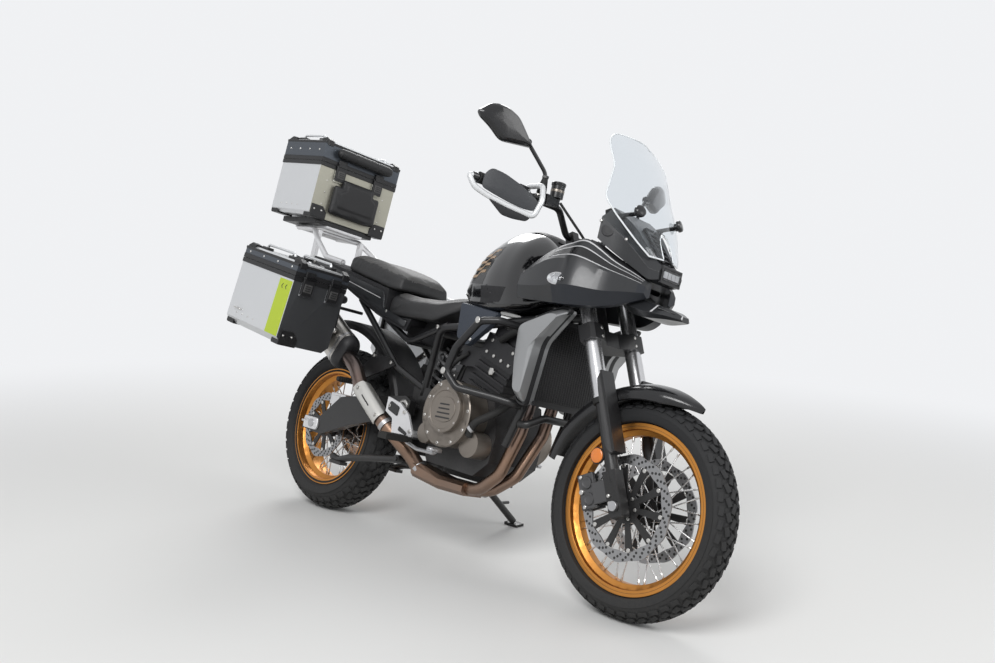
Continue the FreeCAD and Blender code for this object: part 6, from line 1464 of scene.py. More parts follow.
cell_y, cell_z = np.abs(outer[:-1, :-1, 1] + outer[1:, 1:, 1]) / 2, outer[:-1, :-1, 2]
notch = 26 * np.sqrt(np.clip(1 - (np.clip(cell_z - 1138, 0, None) / 30) ** 2, 0, 1))
keep = ~((cell_y < notch) & (cell_z < 1168))
# Painted highlight: a pale tube round the screen's outline stands in for the light that the glass edge catches.
SCREEN_EDGE_HIGHLIGHT = finish("painted screen edge highlight", (0.75, 0.78, 0.8), 0.25, spread=0.05, dust=0.0, bump=0.0)
ring = np.vstack([outer[0, 28:], outer[1:, -1], outer[-1, -2::-1], outer[-2::-1, 0], outer[0, 1:13]]) - (2, 0, 0.4)
shapes = [(shell(outer, inner, keep), SCREEN), (tube(ring, 2.8, 8), SCREEN_EDGE_HIGHLIGHT)]
# The notch's edge gets the same pale tube, also a painted highlight.
arch = np.array([(1406 - 0.45 * (h - 1110) + 2, y, h) for y, h in
                 [(26, 1092), (27, 1120), (26, 1140), (22, 1155), (12, 1166), (0, 1170), (-12, 1166), (-22, 1155),
                  (-26, 1140), (-27, 1120), (-26, 1092)]], float)
arch[:, 0] = np.interp(arch[:, 2], z, x_middle) - 3
shapes.append((tube(arch, 2.0, 6), SCREEN_EDGE_HIGHLIGHT))
for side, x, knob_z in ((-1, 1357, 1216), (1, 1350, 1228)):
    at = (x, side * 108, knob_z)
    knob = lathe([(-6, 9), (-6, 13), (2, 14), (3, 19), (8, 20), (14, 19), (17, 15), (18, 6)], at,
                 aim((0.86, side * 0.3, 0.4)),
                 30)
    shapes.append((knob, GLOSS))
    shapes.append((bar((1268, side * 100, 1206), (x, side * 106, knob_z - 4), 7, 14), PLASTIC))
piece("screen_sheet", shapes, "windscreen", ("windscreen",), angle=30)
tilt = turn_about((0, 1, 0), -18)
shapes = [(block((22, 150, 92), (1214, 0, 1192), tilt, 6), PLASTIC),
          (block((3, 130, 74), (1203, 0, 1196), tilt, 1), DARK_GLASS),
          (bar((1216, 0, 1180), (1249, 0, 1180), 14, 20), PLASTIC)]
piece("instrument_display", shapes, "display", ("display",), angle=30)

# %% [markdown]
# Seats and pads are foam under stretched vinyl. Their soft look comes from a cloth simulation: a slightly small
# copy of the form is remeshed into an even skin, blown up from inside by a little pressure, and each point is
# held near its start. Seams are pressed in afterwards, because the remesh would erase them.

# %% Padded pieces by cloth simulation
def inflated(points, faces, voxel, cap, hold, pressure=4.0):
    """The form after the simulation: new points and faces. hold(point array) gives the share of movement kept."""
    mesh = bpy.data.meshes.new("skin form")
    mesh.from_pydata((points / 1000).tolist(), [], faces)
    item = placed("skin form", mesh)
    remesh = item.modifiers.new("even skin", "REMESH")
    remesh.mode, remesh.voxel_size = "VOXEL", voxel / 1000
    even = bpy.data.meshes.new_from_object(item.evaluated_get(bpy.context.evaluated_depsgraph_get()))
    item.modifiers.clear()
    item.data = even
    start = mesh_points(even)
    cloth = item.modifiers.new("vinyl", "CLOTH")
    cloth.settings.use_pressure, cloth.settings.uniform_pressure_force = True, pressure
    cloth.settings.effector_weights.gravity = 0
    cloth.settings.quality = 6
    for frame_number in range(1, 21):
        bpy.context.scene.frame_set(frame_number)
    blown = bpy.data.meshes.new_from_object(item.evaluated_get(bpy.context.evaluated_depsgraph_get()))
    moved_to = mesh_points(blown)
    bpy.context.scene.frame_set(1)
    travel = moved_to - start
    far = np.linalg.norm(travel, axis=1, keepdims=True)
    travel *= np.minimum(1, cap / np.maximum(far, 1e-9)) * hold(start)[:, None]
    corners = [list(face.vertices) for face in even.polygons]
    bpy.data.objects.remove(item)
    return start + travel, corners


def mesh_points(mesh):
    """A mesh's points in mm, as an array."""
    flat = np.empty(len(mesh.vertices) * 3)
    mesh.vertices.foreach_get("co", flat)
    return flat.reshape(-1, 3) * 1000


def pressed(points, path, depth, width, inwards):
    """Points near a seam pushed inwards: depth * exp(-(distance / width)^2), distance to a dense path."""
    from_path = np.full(len(points), 1e9)
    for block_start in range(0, len(path), 40):
        gaps = np.linalg.norm(points[:, None] - path[None, block_start:block_start + 40], axis=2)
        from_path = np.minimum(from_path, gaps.min(1))
    return points + inwards * (depth * np.exp(-(from_path / width) ** 2))[:, None]


def cushion(name, points, corners, materials, rule, like, replaces):
    """The finished padded piece, with one material per face from rule(middles), and one subdivision."""
    mesh = bpy.data.meshes.new(name)
    mesh.from_pydata(parked(points).tolist(), [], corners)
    for material in materials:
        mesh.materials.append(material)
    middles = np.array([points[face].mean(0) for face in corners])
    mesh.polygons.foreach_set("material_index", rule(middles).astype(np.int32))
    mesh.polygons.foreach_set("use_smooth", np.ones(len(mesh.polygons), bool))
    item = placed(name, mesh)
    settle(item, like, replaces, levels=1)
    print("cushion", name, len(corners), "faces")
    return item


def flat_corners(shape):
    """The faces of a shape as one plain list."""
    return [face.tolist() for block in shape[1] for face in block]


# %% Rider's and passenger's seats
def seat_section(x, low, middle, top, dish):
    """Sixteen corners round a seat: flat base, full sides, and a top dished by some mm in the middle."""
    (z0, y0), (z1, y1), (z2, y2) = low, middle, top
    half = [(y0 * 0.4, z0), (y0, z0), (y1 * 0.99, z0 * 0.7 + z1 * 0.3), (y1, z1),
            (y1 * 0.8 + y2 * 0.2, z1 * 0.4 + z2 * 0.6),
            (y2 * 1.02, z2 * 0.88 + z1 * 0.12), (y2 * 0.84, z2), (y2 * 0.4, z2 - dish)]
    return [(x, -y, z) for y, z in half] + [(x, y, z) for y, z in half[::-1]]


def seat(name, rows, seam, replaces, side_material, top_material, base_at):
    """A seat from its rows: inflated, its seam pressed in, the top told from the sides by the seam's height."""
    rows = np.array([seat_section(*row) for row in rows], float)
    shape = skin(rows, 44, 60, 10)
    seam_path = waves(np.array(seam, float), 160, False)
    seam_path = np.vstack([seam_path, seam_path * (1, -1, 1)])

    def hold(points):
        """Little movement near the base, full movement above it."""
        return np.clip((points[:, 2] - base_at(points[:, 0])) / 25, 0, 1)

    points, corners = inflated(shape[0], flat_corners(shape), 6.0, 6.0, hold)
    points[:, 2] = np.maximum(points[:, 2], base_at(points[:, 0]))
    points = pressed(points, seam_path, 2.4, 4.0, np.array([[0.0, 0, -1]]))
    ends = np.array(seam, float)
    order = np.argsort(ends[:, 0])

    def rule(middles):
        """1 on the top panel, 0 on the sides."""
        height = np.interp(middles[:, 0], ends[order, 0], ends[order, 2])
        inside = np.abs(middles[:, 1]) < np.interp(middles[:, 0], ends[order, 0], ends[order, 1]) + 3
        return (middles[:, 2] > height - 1) & inside

    return cushion(name, points, corners, [side_material, top_material], rule, replaces, (replaces,))


seat("rider_cushion", [
    (284, (785, 112), (822, 126), (884, 98), 6), (330, (785, 118), (826, 136), (878, 108), 9),
    (420, (785, 128), (826, 153), (867, 118), 11), (500, (787, 128), (828, 152), (866, 112), 9),
    (560, (790, 122), (830, 142), (872, 96), 6), (620, (822, 104), (852, 118), (888, 76), 3),
    (662, (852, 80), (873, 88), (900, 56), 0),
], [(276, 92, 878), (330, 116, 864), (420, 130, 852), (500, 124, 851), (560, 106, 857), (620, 84, 875),
    (664, 58, 892)],
     "rider_seat", VINYL, VINYL_GREY, lambda x: np.interp(x, [280, 560, 664], [784.8, 788.6, 850.4]))


def pillion_base(x):
    """The passenger seat's flat base: the line of the solid seat's lowest corners."""
    return np.interp(x, [-66, 100, 278, 330], PILLION_LOW) + 0.6


PILLION_LOW = [952.3, 919.4, 886.6, 889.6]
seat("pillion_cushion", [
    (-64, (953, 80), (984, 92), (1014, 66), 0), (0, (940, 98), (970, 112), (1012, 84), 2),
    (100, (921, 114), (952, 129), (1000, 98), 4), (190, (904, 120), (934, 136), (984, 106), 4),
    (270, (889, 122), (916, 137), (964, 104), 2), (322, (890, 112), (912, 124), (946, 88), 0),
], [(-66, 68, 1001), (0, 92, 996), (100, 112, 981), (190, 120, 965), (270, 118, 945), (326, 92, 932)],
     "pillion_seat", VINYL, VINYL_GREY, pillion_base)

# %% [markdown]
# The top case has a stepped backrest pad, a wide field with a narrower one raised on it, and a soft roll along
# the lid. Both come from the same simulation, in the case's own frame, where x points at the passenger.

# %% Backrest pad and roll
TOP_BASE, TOP_PITCH = np.array([-276.0, 0, 1148]), 2.7
TOP_TURN = turn_about((0, 1, 0), TOP_PITCH)


def pad_rings(outline, rings, bend):
    """Rings of an outline in (y, z) at (x, share), from the case's face outwards."""
    outline = rounded_loop(outline, bend, 8)
    return loft([np.column_stack([np.full(len(outline), x), scaled(outline, share)]) for x, share in rings])


def in_top_case(points):
    """Case frame to upright machine."""
    return points @ TOP_TURN.T + TOP_BASE


def one_material(middles):
    """Face rule of a pad: every face takes the first material."""
    return np.zeros(len(middles))


wide = pad_rings([(-122, 28), (-122, 150), (-84, 150), (-84, 186), (84, 186), (84, 150), (122, 150), (122, 28),
                  (76, 24), (-76, 24)],
                 [(10.2, 0.97), (12, 1), (21, 1), (26, 0.975), (29, 0.93), (30.5, 0.86)], 12)
fields = pad_rings([(-96, 60), (-96, 128), (-66, 140), (-66, 170), (66, 170), (66, 140), (96, 128), (96, 60)],
                   [(28, 0.98), (31, 1), (33.6, 0.97), (35, 0.92)], 10)
pad = joined([wide, fields])
FLOOR = 10.0
points, corners = inflated(pad[0], flat_corners(pad), 4.5, 4.0, lambda p: np.clip((p[:, 0] - FLOOR) / 8, 0, 1))
points[:, 0] = np.maximum(points[:, 0], FLOOR)
cushion("backrest_cushion", in_top_case(points), corners, [PAD], one_material, "backrest_pad", ("backrest_pad",))
ROLL_X, ROLL_Z = 24.3, 282.0
along = np.linspace(-1, 1, 26)
swell = 22.5 * np.clip(1 - np.abs(along) ** 14, 0.12, 1) ** 0.5
turns = np.linspace(0, 2 * math.pi, 32, endpoint=False)
roll_rows = np.stack([ROLL_X + swell[:, None] * np.cos(turns), 0 * turns + 147 * along[:, None],
                      ROLL_Z + swell[:, None] * np.sin(turns)], -1)
roll = loft(roll_rows)
bands = [[(ROLL_X + 24 * math.cos(a), y, ROLL_Z + 24 * math.sin(a)) for a in np.linspace(0, 2 * math.pi, 24)]
         for y in (-62, 62)]
points, corners = inflated(roll[0], flat_corners(roll), 4.5, 3.0, lambda p: np.ones(len(p)))
axis_point = points * (0, 1, 0) + (ROLL_X, 0, ROLL_Z)
for path in bands:
    points = pressed(points, rounded_path(np.array(path, float), 4, 3), 2.6, 3.5, unit(axis_point - points))
cushion("roll_padding", in_top_case(points), corners, [PAD], one_material, "roll_cushion", ("roll_cushion",))

# %% [markdown]
# The engine stays the solid model's own: crankcase, fins and covers, bevelled so that their edges catch light.
# What makes it read as a real engine is the ring of bolts round each cover, the raised panel in the clutch
# cover, hoses and a mesh of fins on the radiator, all set on in front of the solid faces.

# %% Engine covers, bolts and hoses
welded("engine", "engine_block", ENGINE, bevel=1.8)
welded("engine_covers", "engine_side_covers", BRONZE, bevel=3.5)
HALF_CASE = 118.3
FACE = HALF_CASE + 92
HEAD_TURN = turn_about((0, 1, 0), 18)


def bolt_ring(middle, radius, count, side, start=0, size=5.5, tall=4):
    """Bolt heads on a circle about a sideways axis."""
    angles = np.radians(start) + np.arange(count) * 2 * math.pi / count
    places = [(middle[0] + radius * math.cos(a), middle[1], middle[2] + radius * math.sin(a)) for a in angles]
    head = lathe([(-0.5, size), (tall, size), (tall + 0.8, size * 0.8), (tall + 0.8, size * 0.5),
                  (tall * 0.5, size * 0.45)],
                 count=12)
    return copies(head, places, [aim((0, side, 0))] * count)


def round_slab(outline, y, thick, side, bend=14):
    """A raised flat panel with rounded corners on a side cover."""
    return panel(outline, side, [(y, 1), (y + thick * 0.6, 1), (y + thick, 0.965)], bend, 1.0)


rim = lathe([(-1, 112.5), (-1, 115), (5, 115.5), (8, 112), (8, 106)], (806, -FACE + 8, 482), aim((0, -1, 0)), 72)
lugs = bolt_ring((806, -FACE + 4, 482), 104, 10, -1, 12)
cap_rim = lathe([(0, 66), (0, 76), (3, 77), (4.5, 74), (4.5, 66), (2, 64)], (812, -FACE - 14, 492), aim((0, -1, 0)),
                64)
raised_panel = round_slab([(772, 456), (772, 514), (800, 536), (846, 536), (872, 500), (858, 462), (822, 448)], 224,
                          5, -1, 18)
rib_shapes = [round_slab([(780 + 4 * k, 462 + 15 * k), (780 + 4 * k, 467 + 15 * k), (850 - 4 * k, 469 + 15 * k),
                          (850 - 4 * k, 464 + 15 * k)], 228.5, 2.5, -1, 2) for k in range(4)]
plug = lathe([(0, 17), (4, 17), (5.5, 15), (5.5, 8), (3.5, 7)], (702, -HALF_CASE - 52, 400), aim((0, -1, 0)), 32)
pump_face = lathe([(0, 38), (0, 42), (3, 43), (5, 40), (5, 26), (9, 22), (9, 8)], (918, -HALF_CASE - 44, 398),
                  aim((0, -1, 0)), 40)
pump_bolts = bolt_ring((918, -HALF_CASE - 42, 398), 35, 5, -1, 20, 4.5)
shapes = [(rim, BRONZE), (lugs, BOLT), (cap_rim, BRONZE), (bolt_ring((812, -FACE - 14, 492), 71, 6, -1, 30, 4), BOLT),
          (raised_panel, BRONZE), (joined(rib_shapes), ENGINE), (plug, ENGINE), (pump_face, BRONZE),
          (pump_bolts, BOLT)]
left_face = HALF_CASE + 66
shapes += [(lathe([(-1, 84.5), (3, 86), (6, 84), (6, 78)], (868, left_face - 6, 440), aim((0, 1, 0)), 64), BRONZE),
           (bolt_ring((868, left_face - 2, 440), 76, 8, 1), BOLT),
           (lathe([(0, 40), (0, 50), (2, 50.5), (3, 48), (3, 40), (1.4, 38)], (868, HALF_CASE + 80, 440),
                  aim((0, 1, 0)), 48), BRONZE),
           (bolt_ring((622, HALF_CASE + 30, 470), 48, 5, 1, 10, 4.5), BOLT)]
for side in (-1, 1):
    for dx, dz in ((-60, -20), (-20, -20), (20, -20), (60, -20), (-56, 24), (56, 24)):
        at = np.array([902, side * 112, 716]) + HEAD_TURN @ np.array([dx, 0, dz])
        shapes.append((lathe([(0, 6), (4, 6), (4.8, 4)], at, aim((0, side, 0)), 12), BOLT))
    plug_nut = lathe([(0, 14), (3, 14), (4.5, 11), (4.5, 5)], (880, side * 112, 650), aim((0, side, 0)), 6)
    shapes.append((plug_nut, BOLT))
piece("engine_trim", shapes, "engine_covers", angle=32)
shapes = []
for path, radius in (
    ([(918, -190, 424), (930, -196, 470), (985, -150, 520), (1050, -128, 590), (1086, -120, 606)], 13),
    ([(900, -118, 760), (980, -130, 800), (1060, -110, 815), (1092, -104, 800)], 13),
    ([(700, 60, 590), (690, 110, 640), (740, 120, 700)], 9),
    ([(640, -60, 560), (650, -112, 600), (700, -118, 660), (742, -100, 700)], 8),
):
    shapes.append((tube(rounded_path(np.array(path, float), 40, 9), radius, 18), RUBBER))
for x, y, z in ((1078, -121, 604), (924, -194, 450), (1084, -106, 804)):
    shapes.append((lathe([(-5, 14.6), (-5, 15.6), (5, 15.6), (5, 14.6)], (x, y, z), aim((0.5, 0.2, 0.6)), 28, True),
                   STEEL))
shapes.append((block((104, 150, 74), (758, 0, 622), turn_about((0, 1, 0), 12), 9), ENGINE))
piece("engine_hoses", shapes, "engine", angle=40)
fins = [block((2, 284, 1.6), (1128, 0, 590 + 7.2 * k), edge=0.3) for k in range(35)]
tubes = [block((3, 2.4, 250), (1127.4, -138 + 12 * k, 712), edge=0.3) for k in range(24)]
tanks = [block((40, 16, 276), (1110, side * 151, 712), edge=4) for side in (-1, 1)]
ends = [block((38, 300, 12), (1110, 0, z), edge=4) for z in (573, 851)]
piece("radiator_core", [(joined(fins + tubes), RADIATOR), (joined(tanks + ends), PLASTIC)], "radiator", angle=30)
welded("radiator", "radiator_finished", RADIATOR)

# %% [markdown]
# The exhaust carries heat colours: the header pipes have turned copper brown, so their material mixes its tints by
# height on the machine. A pale shield covers the link pipe, and a black cap closes the front of the silencer.

# %% Exhaust with its heat shield, silencer and caps
welded("exhaust", "exhaust_pipes", HEADER, bevel=1.0)
shapes = []
for side in (-1, 1):
    port = lathe([(-4, 27), (-4, 31), (4, 31.5), (7, 26), (7, 21.5)], (1000, side * 62, 684.5),
                 aim((0.951, 0, -0.309)), 36)
    studs = [bar((1000, side * 62 + 26 * s, 684.5), (1012, side * 62 + 26 * s, 680.6), 4, 10) for s in (-1, 1)]
    shapes += [(port, STEEL), (joined(studs), BOLT)]
for x, y, z, d in ((886, -30, 252, (1, 0, -0.06)), (650, -127, 268, (-0.78, -0.17, 0.6)),
                   (478, -178, 389, (-0.77, -0.24, 0.52))):
    radius = 30 if x < 800 else 24
    clamp = lathe([(-8, radius - 2), (-8, radius), (8, radius), (8, radius - 2)], (x, y, z), aim(d), 36, True)
    shapes.append((clamp, STEEL))
piece("exhaust_trim", shapes, "exhaust", angle=34)


def arc_shield(path, radius, reach, widths):
    """A curved heat shield over a pipe: an arc of the circle about a path, with its ends narrowed, 2 mm thick."""
    path = rounded_path(np.array(path, float), 110, 10)
    at = np.linspace(0, 1, len(path))
    ahead = unit(np.gradient(path, axis=0))
    outwards = np.array([0.0, -1.0, 0.25])
    outwards = unit(outwards - ahead * (ahead @ outwards)[:, None])
    upwards = np.cross(ahead, outwards)
    angles = np.radians(reach) * np.interp(at, [0, 0.08, 0.25, 0.75, 0.92, 1], widths)[:, None] * np.linspace(-1, 1,
                                                                                                              21)
    arc = np.cos(angles)[..., None] * outwards[:, None] + np.sin(angles)[..., None] * upwards[:, None]
    sheets = [path[:, None] + r * arc for r in (radius, radius - 2)]
    return shell(sheets[0], sheets[1]), path, outwards


HEAT_PATH = [(456, -182, 404), (444, -184, 412), (380, -188, 455), (324, -190, 493), (312, -190, 502)]
shield_shape, shield_path, shield_out = arc_shield(HEAT_PATH, 35, 100, [0.55, 0.85, 1, 1, 0.85, 0.5])


def on_shield(share, lift):
    """A place on the shield's middle line, lifted from the pipe's centre."""
    index = int(len(shield_path) * share)
    return shield_path[index] + shield_out[index] * lift


shapes = [(shield_shape, SHIELD)]
for share in (0.22, 0.8):
    screw = lathe([(0, 8), (1.4, 8), (1.4, 4.5), (4, 4.5), (4.8, 3)], on_shield(share, 34.6), aim((0, -1, 0.25)), 16)
    shapes.append((screw, BOLT))
slot_turn = turn_about((0, 1, 0), 36) @ turn_about((1, 0, 0), -14)
for share in (0.42, 0.5, 0.58):
    shapes.append((block((24, 1.6, 5), on_shield(share, 34.8), slot_turn, 0.7), PLASTIC))
piece("heat_shield", shapes, "exhaust", angle=34)
SILENCER_RISE = math.degrees(math.atan2(99, 172))
SILENCER_TURN = turn_about((0, 1, 0), -90 + SILENCER_RISE)
SILENCER_FOOT = (186, -186, 602)


def oval_rings(rings, count=56):
    """An upright oval (two half circles of radius 40 set 30 apart from the middle) at (along, share) rings."""
    angles = np.linspace(0, 2 * math.pi, count, endpoint=False)
    x, y = 40 * np.cos(angles) + 30 * np.sign(np.cos(angles)), 40 * np.sin(angles)
    rows = [np.stack([x * share, y * share, np.full(count, along)], -1) for along, share in rings]
    return moved(loft(rows), SILENCER_TURN, SILENCER_FOOT)


body = oval_rings([(36, 0.99), (37, 1.004), (362, 1.004), (363, 0.99)])
front_cap = oval_rings([(-1, 0.5), (-1, 0.72), (4, 0.86), (14, 0.97), (24, 1.03), (40, 1.04), (42, 1.02)])
end_cap = oval_rings([(358, 1.02), (360, 1.04), (384, 1.035), (396, 0.96), (401, 0.84), (401, 0.62), (388, 0.58)])
outlet = lathe([(380, 22), (404, 22), (406, 20), (404, 18), (384, 18)], SILENCER_FOOT, aim(SILENCER_TURN[:, 2]), 40)
band = oval_rings([(52, 1.0), (52, 1.03), (62, 1.03), (62, 1.0)])
piece("silencer_can", [(body, NICKEL), (front_cap, PLASTIC), (end_cap, PLASTIC), (outlet, STEEL), (band, STEEL)],
      "silencer", ("silencer",), angle=34)

# %% [markdown]
# The luggage: three boxes of brushed aluminium sheet with black plastic edges. The boxes and their hinged lids
# come from the solid model, with the dark front faces told apart by their normal. Bands, latches, corner
# bumpers, tie-down caps and rivets are added in each box's own frame, so one function dresses all three.

# %% Parts that repeat on every box
def corner_bumper(x, y, along, side, reach, tall, drop):
    """A black cap round a lower corner: a plate on the end face and a plate on the side face, cut at an angle."""
    end_plate = plate([(0, 0), (reach, 0), (reach, tall * 0.55), (reach * 0.72, tall), (0, tall)], -2.5, 4.5,
                      edge=1.5)
    turn_end = np.column_stack([(0, -side, 0), (along, 0, 0), (0, 0, 1)])
    side_plate = plate([(0, 0), (reach * 0.62, 0), (reach * 0.62, tall * 0.6), (reach * 0.4, tall), (0, tall)], -2.5,
                       4.5,
                       edge=1.5)
    turn_side = np.column_stack([(-along, 0, 0), (0, side, 0), (0, 0, 1)])
    end_piece = moved(end_plate, turn_end, (x, y + side * 4, drop))
    side_piece = moved(side_plate, turn_side, (x + along * 4, y, drop))
    floor = block((reach * 0.62, reach, 6), (x - along * reach * 0.27, y - side * reach * 0.46, drop - 1), edge=1.5)
    heads = rivets([(x + along * 4.5, y - side * reach * share, drop + tall * 0.62) for share in (0.14, 0.62)],
                   (along, 0, 0))
    return [(outward(end_piece), CASE_BLACK), (outward(side_piece), CASE_BLACK), (floor, CASE_BLACK), (heads, BOLT)]


def latch(y, height, low):
    """A black over-centre latch with a grey square plate, a silver pull and its keeper on the lid."""
    body = block((11, 50, 62), (9, y, height - 30), edge=3)
    face = block((3, 34, 30), (15, y, height - 34), edge=1)
    slots = joined([block((2.4, 26, 3), (17, y, height - 42 + 8 * k), edge=0.5) for k in range(3)])
    pull = block((9, 46, 12), (14, y, height + 4), edge=2)
    keeper = block((10, 44, 24), (8, y, low + 14), edge=3)
    return [(body, CASE_BLACK), (face, VINYL_GREY), (slots, CASE_BLACK), (pull, GLOSS)], [(keeper, CASE_BLACK)]


def box_trim(length, half, height, lid, bevel, inner_side):
    """All trim of one box in its own frame: pairs for the shell and pairs for the lid.

    inner_side is -1 or 1 for the side that faces the machine, where bands lie flush, or 0 for none.
    """
    low, top = height + 0.4, height + 0.4 + lid
    y0 = -half - (0.3 if inner_side == -1 else 3)
    y1 = half + (0.3 if inner_side == 1 else 3)
    x0, x1 = -length - 1.2, 3
    trim = [(hoop((x0, x1), (y0, y1), (height - 17, height - 0.2), 4.5), CASE_BLACK)]
    cover = [(hoop((x0, x1), (y0, y1), (low + 0.2, low + 17), 4.5), CASE_BLACK),
             (hoop((x0 + 1, x1 - 1), (y0 + 1, y1 - 1), (low + 17, top - 15), 3), CASE_BAND),
             (hoop((x0, x1), (y0, y1), (top - 16, top - 6), 3.5), CASE_BLACK)]
    for side in (-1, 1):
        if side == inner_side:
            continue
        places = [(x, side * (half + 2), (low + top + 2) / 2) for x in np.linspace(-length + 36, -36, 4)]
        cover.append((rivets(places, (0, side, 0)), BOLT))
        for x, along in ((0, 1), (-length, -1)):
            trim += corner_bumper(x, side * (half - bevel * 0.55), along, side, 78, 52, bevel * 0.28 - 6)
        lower = [(x, side * (half + 0.3), bevel + 22) for x in np.linspace(-length + 66, -length + 190, 4)]
        trim.append((rivets(lower, (0, side, 0), 3.2, 1.6), BOLT))
    for y in (-half * 0.5, half * 0.5):
        latch_body, keeper = latch(y, height, low)
        trim += latch_body
        cover += keeper
    for side in (-1, 1):
        for share in (0.24, 0.76):
            cover.append((block((44, 30, 14), (-length * share, side * (half - 34), top + 4), edge=4), CASE_BLACK))
        for x, along in ((-20, 1), (20 - length, -1)):
            cap = plate([(-26, 0), (26, 0), (26, 22), (4, 34), (-26, 30)], -15, 15, edge=3)
            turn = np.column_stack([(along, 0, 0), (0, along, 0), (0, 0, 1)])
            cover.append((moved(cap, turn, (x, side * (half - 21), top - 22)), CASE_BLACK))
            cover.append((rivets([(x, side * (half - 4.5), top - 14)], (0, side, 0)), BOLT))
    return trim, cover


def in_box(pairs, base, pitch):
    """Pairs moved from a box's own frame to the upright machine."""
    turn = turn_about((0, 1, 0), pitch)
    return [(moved(shape, turn, base), material) for shape, material in pairs]


# %% The two side cases
def front_face(pitch):
    """Face rule for a box: 1 where the face looks forward, 0 elsewhere."""
    ahead = turn_about((0, 1, 0), pitch)[:, 0]
    return lambda middles, normals: (normals @ ahead > 0.7).astype(int)


CHEVRON = [(-7, 0), (0, 9), (4, 9), (-3, 0), (4, -9), (0, -9)]
CASE_PITCH = 7.9
for label, side in SIDES:
    base = (125, side * 363, 593)
    trim, cover = box_trim(378, 117, 256, 52, 24, -side)
    outer = side * 117
    trim.append((block((84, 1.6, 208), (-47, outer + side * 0.3, 128), edge=0.3), LIME))
    for k in range(2):
        trim.append((plate(CHEVRON, -0.5, 0.5, (-60 + k * 26, outer + side * 1.2, 206), edge=0.1), CASE_BLACK))
    wire = tube(rounded_path([(-330, outer, 62), (-330, outer + side * 9, 62), (-286, outer + side * 9, 62),
                              (-286, outer, 62)], 5), 2.4, 8)
    trim.append((wire, BOLT))
    welded("side_case_" + label, "side_case_shell_" + label, CASE, CASE_FRONT, bevel=1.5)
    repaint(bpy.data.objects["side_case_shell_" + label], front_face(CASE_PITCH))
    welded("side_case_lid_" + label, "side_case_cover_" + label, CASE, bevel=1.5)
    piece("side_case_trim_" + label, in_box(trim, base, CASE_PITCH), "side_case_" + label)
    piece("side_case_lid_trim_" + label, in_box(cover, base, CASE_PITCH), "side_case_lid_" + label)
print("side case trim done")

# %% The top case
trim, cover = box_trim(290, 200, 230, 92, 14, 0)
for side in (-1, 1):
    studs = [(0.3, side * 150, z) for z in (60, 110, 160)]
    trim.append((rivets(studs, (1, 0, 0), 3.2, 1.6), BOLT))
welded("top_case", "top_case_shell", CASE, TOP_FRONT, bevel=1.5)
repaint(bpy.data.objects["top_case_shell"], front_face(TOP_PITCH))
welded("top_case_lid", "top_case_cover", CASE, bevel=1.5)
piece("top_case_trim", in_box(trim, TOP_BASE, TOP_PITCH), "top_case")
piece("top_case_lid_trim", in_box(cover, TOP_BASE, TOP_PITCH), "top_case_lid")

# %% [markdown]
# Frame, bars, footrests and stands are welded tubes and castings that the solid model already has. They keep
# their form, get a small rounded edge, and are told apart by place: cast brackets pale, pegs rubber, levers steel.
# The bolts that hold them are turned heads set on the real joints.

# %% Frame, crash bars and bolts
welded("frame", "frame_tubes", BLACK, bevel=0.8)
welded("crash_bars", "guard_bars", BLACK, bevel=0.0)


def heads(places, direction, radius=6.5, tall=5):
    """Hexagon-socket bolt heads at some places, all facing one way."""
    head = lathe([(-1, radius), (tall, radius), (tall + 0.8, radius * 0.8), (tall + 0.8, radius * 0.45),
                  (tall * 0.4, radius * 0.4)],
                 count=14)
    return copies(head, places, [aim(direction)] * len(places))


shapes = []
for side in (-1, 1):
    washers = [lathe([(-1, 11), (1.5, 11), (2.5, 9)], at, aim((0, side, 0)), 20)
               for at in ((936, side * 279, 800), (846, side * 298.6, 618))]
    shapes.append((joined(washers), BOLT))
    shapes.append((heads([(1040, side * 115, 850), (820, side * 143, 800), (600, side * 141, 770)], (0, side, 0),
                         7.5), BOLT))
box = block((210, 128, 132), (452, 0, 772), turn_about((0, 1, 0), 8), 10)
lid = block((196, 134, 12), (446, 0, 822), turn_about((0, 1, 0), 8), 3)
shapes += [(box, PLASTIC), (lid, BLACK)]
piece("frame_bolts", shapes, "frame", angle=34)
shapes = []
for side in (-1, 1):
    for x, z in ((1064, 800), (1060, 560)):
        shapes.append((block((34, 26, 30), (x - 4, side * 122, z), edge=4), BLACK))
        shapes.append((heads([(x - 4, side * 135, z)], (0, side, 0)), BOLT))
piece("guard_bar_clamps", shapes, "crash_bars", angle=34)

# %% [markdown]
# A spring is a circle carried along a helix: the centre line is (R cos t, R sin t, pitch t), and its wire has a
# round section. It replaces the plain cylinder that stands for it in the solid model.

# %% Shock absorber
low_end, high_end = np.array([400.0, 0, 415]), np.array([585.0, 0, 752])
shock_along = unit(high_end - low_end)
shock_turn = aim(shock_along)
low_end, high_end = low_end + shock_along * 30.3, high_end - shock_along * 16.3
length = float(np.linalg.norm(high_end - low_end))
t = np.linspace(0, 1, 260)
wind = t * 6.5 * 2 * math.pi
coil = np.stack([35 * np.cos(wind), length * (0.29 + 0.58 * t), 35 * np.sin(wind)], -1)
spring = moved(tube(coil, 5.6, 10), shock_turn, low_end)
damper = lathe([(0, 14), (4, 20), (length * 0.3, 20), (length * 0.3, 11), (length * 0.62, 11), (length * 0.62, 22),
                (length - 4, 22), (length, 16)], low_end, shock_turn, 40)
cups = [lathe([(length * f, 30), (length * f, 42), (length * f + 8, 42), (length * f + 8, 30)], low_end, shock_turn,
              44)
        for f in (0.255, 0.885)]
SPRING_GREY = finish("grey spring paint", (0.16, 0.16, 0.165), 0.35, spread=0.2, dust=0.2, coat=0.3)
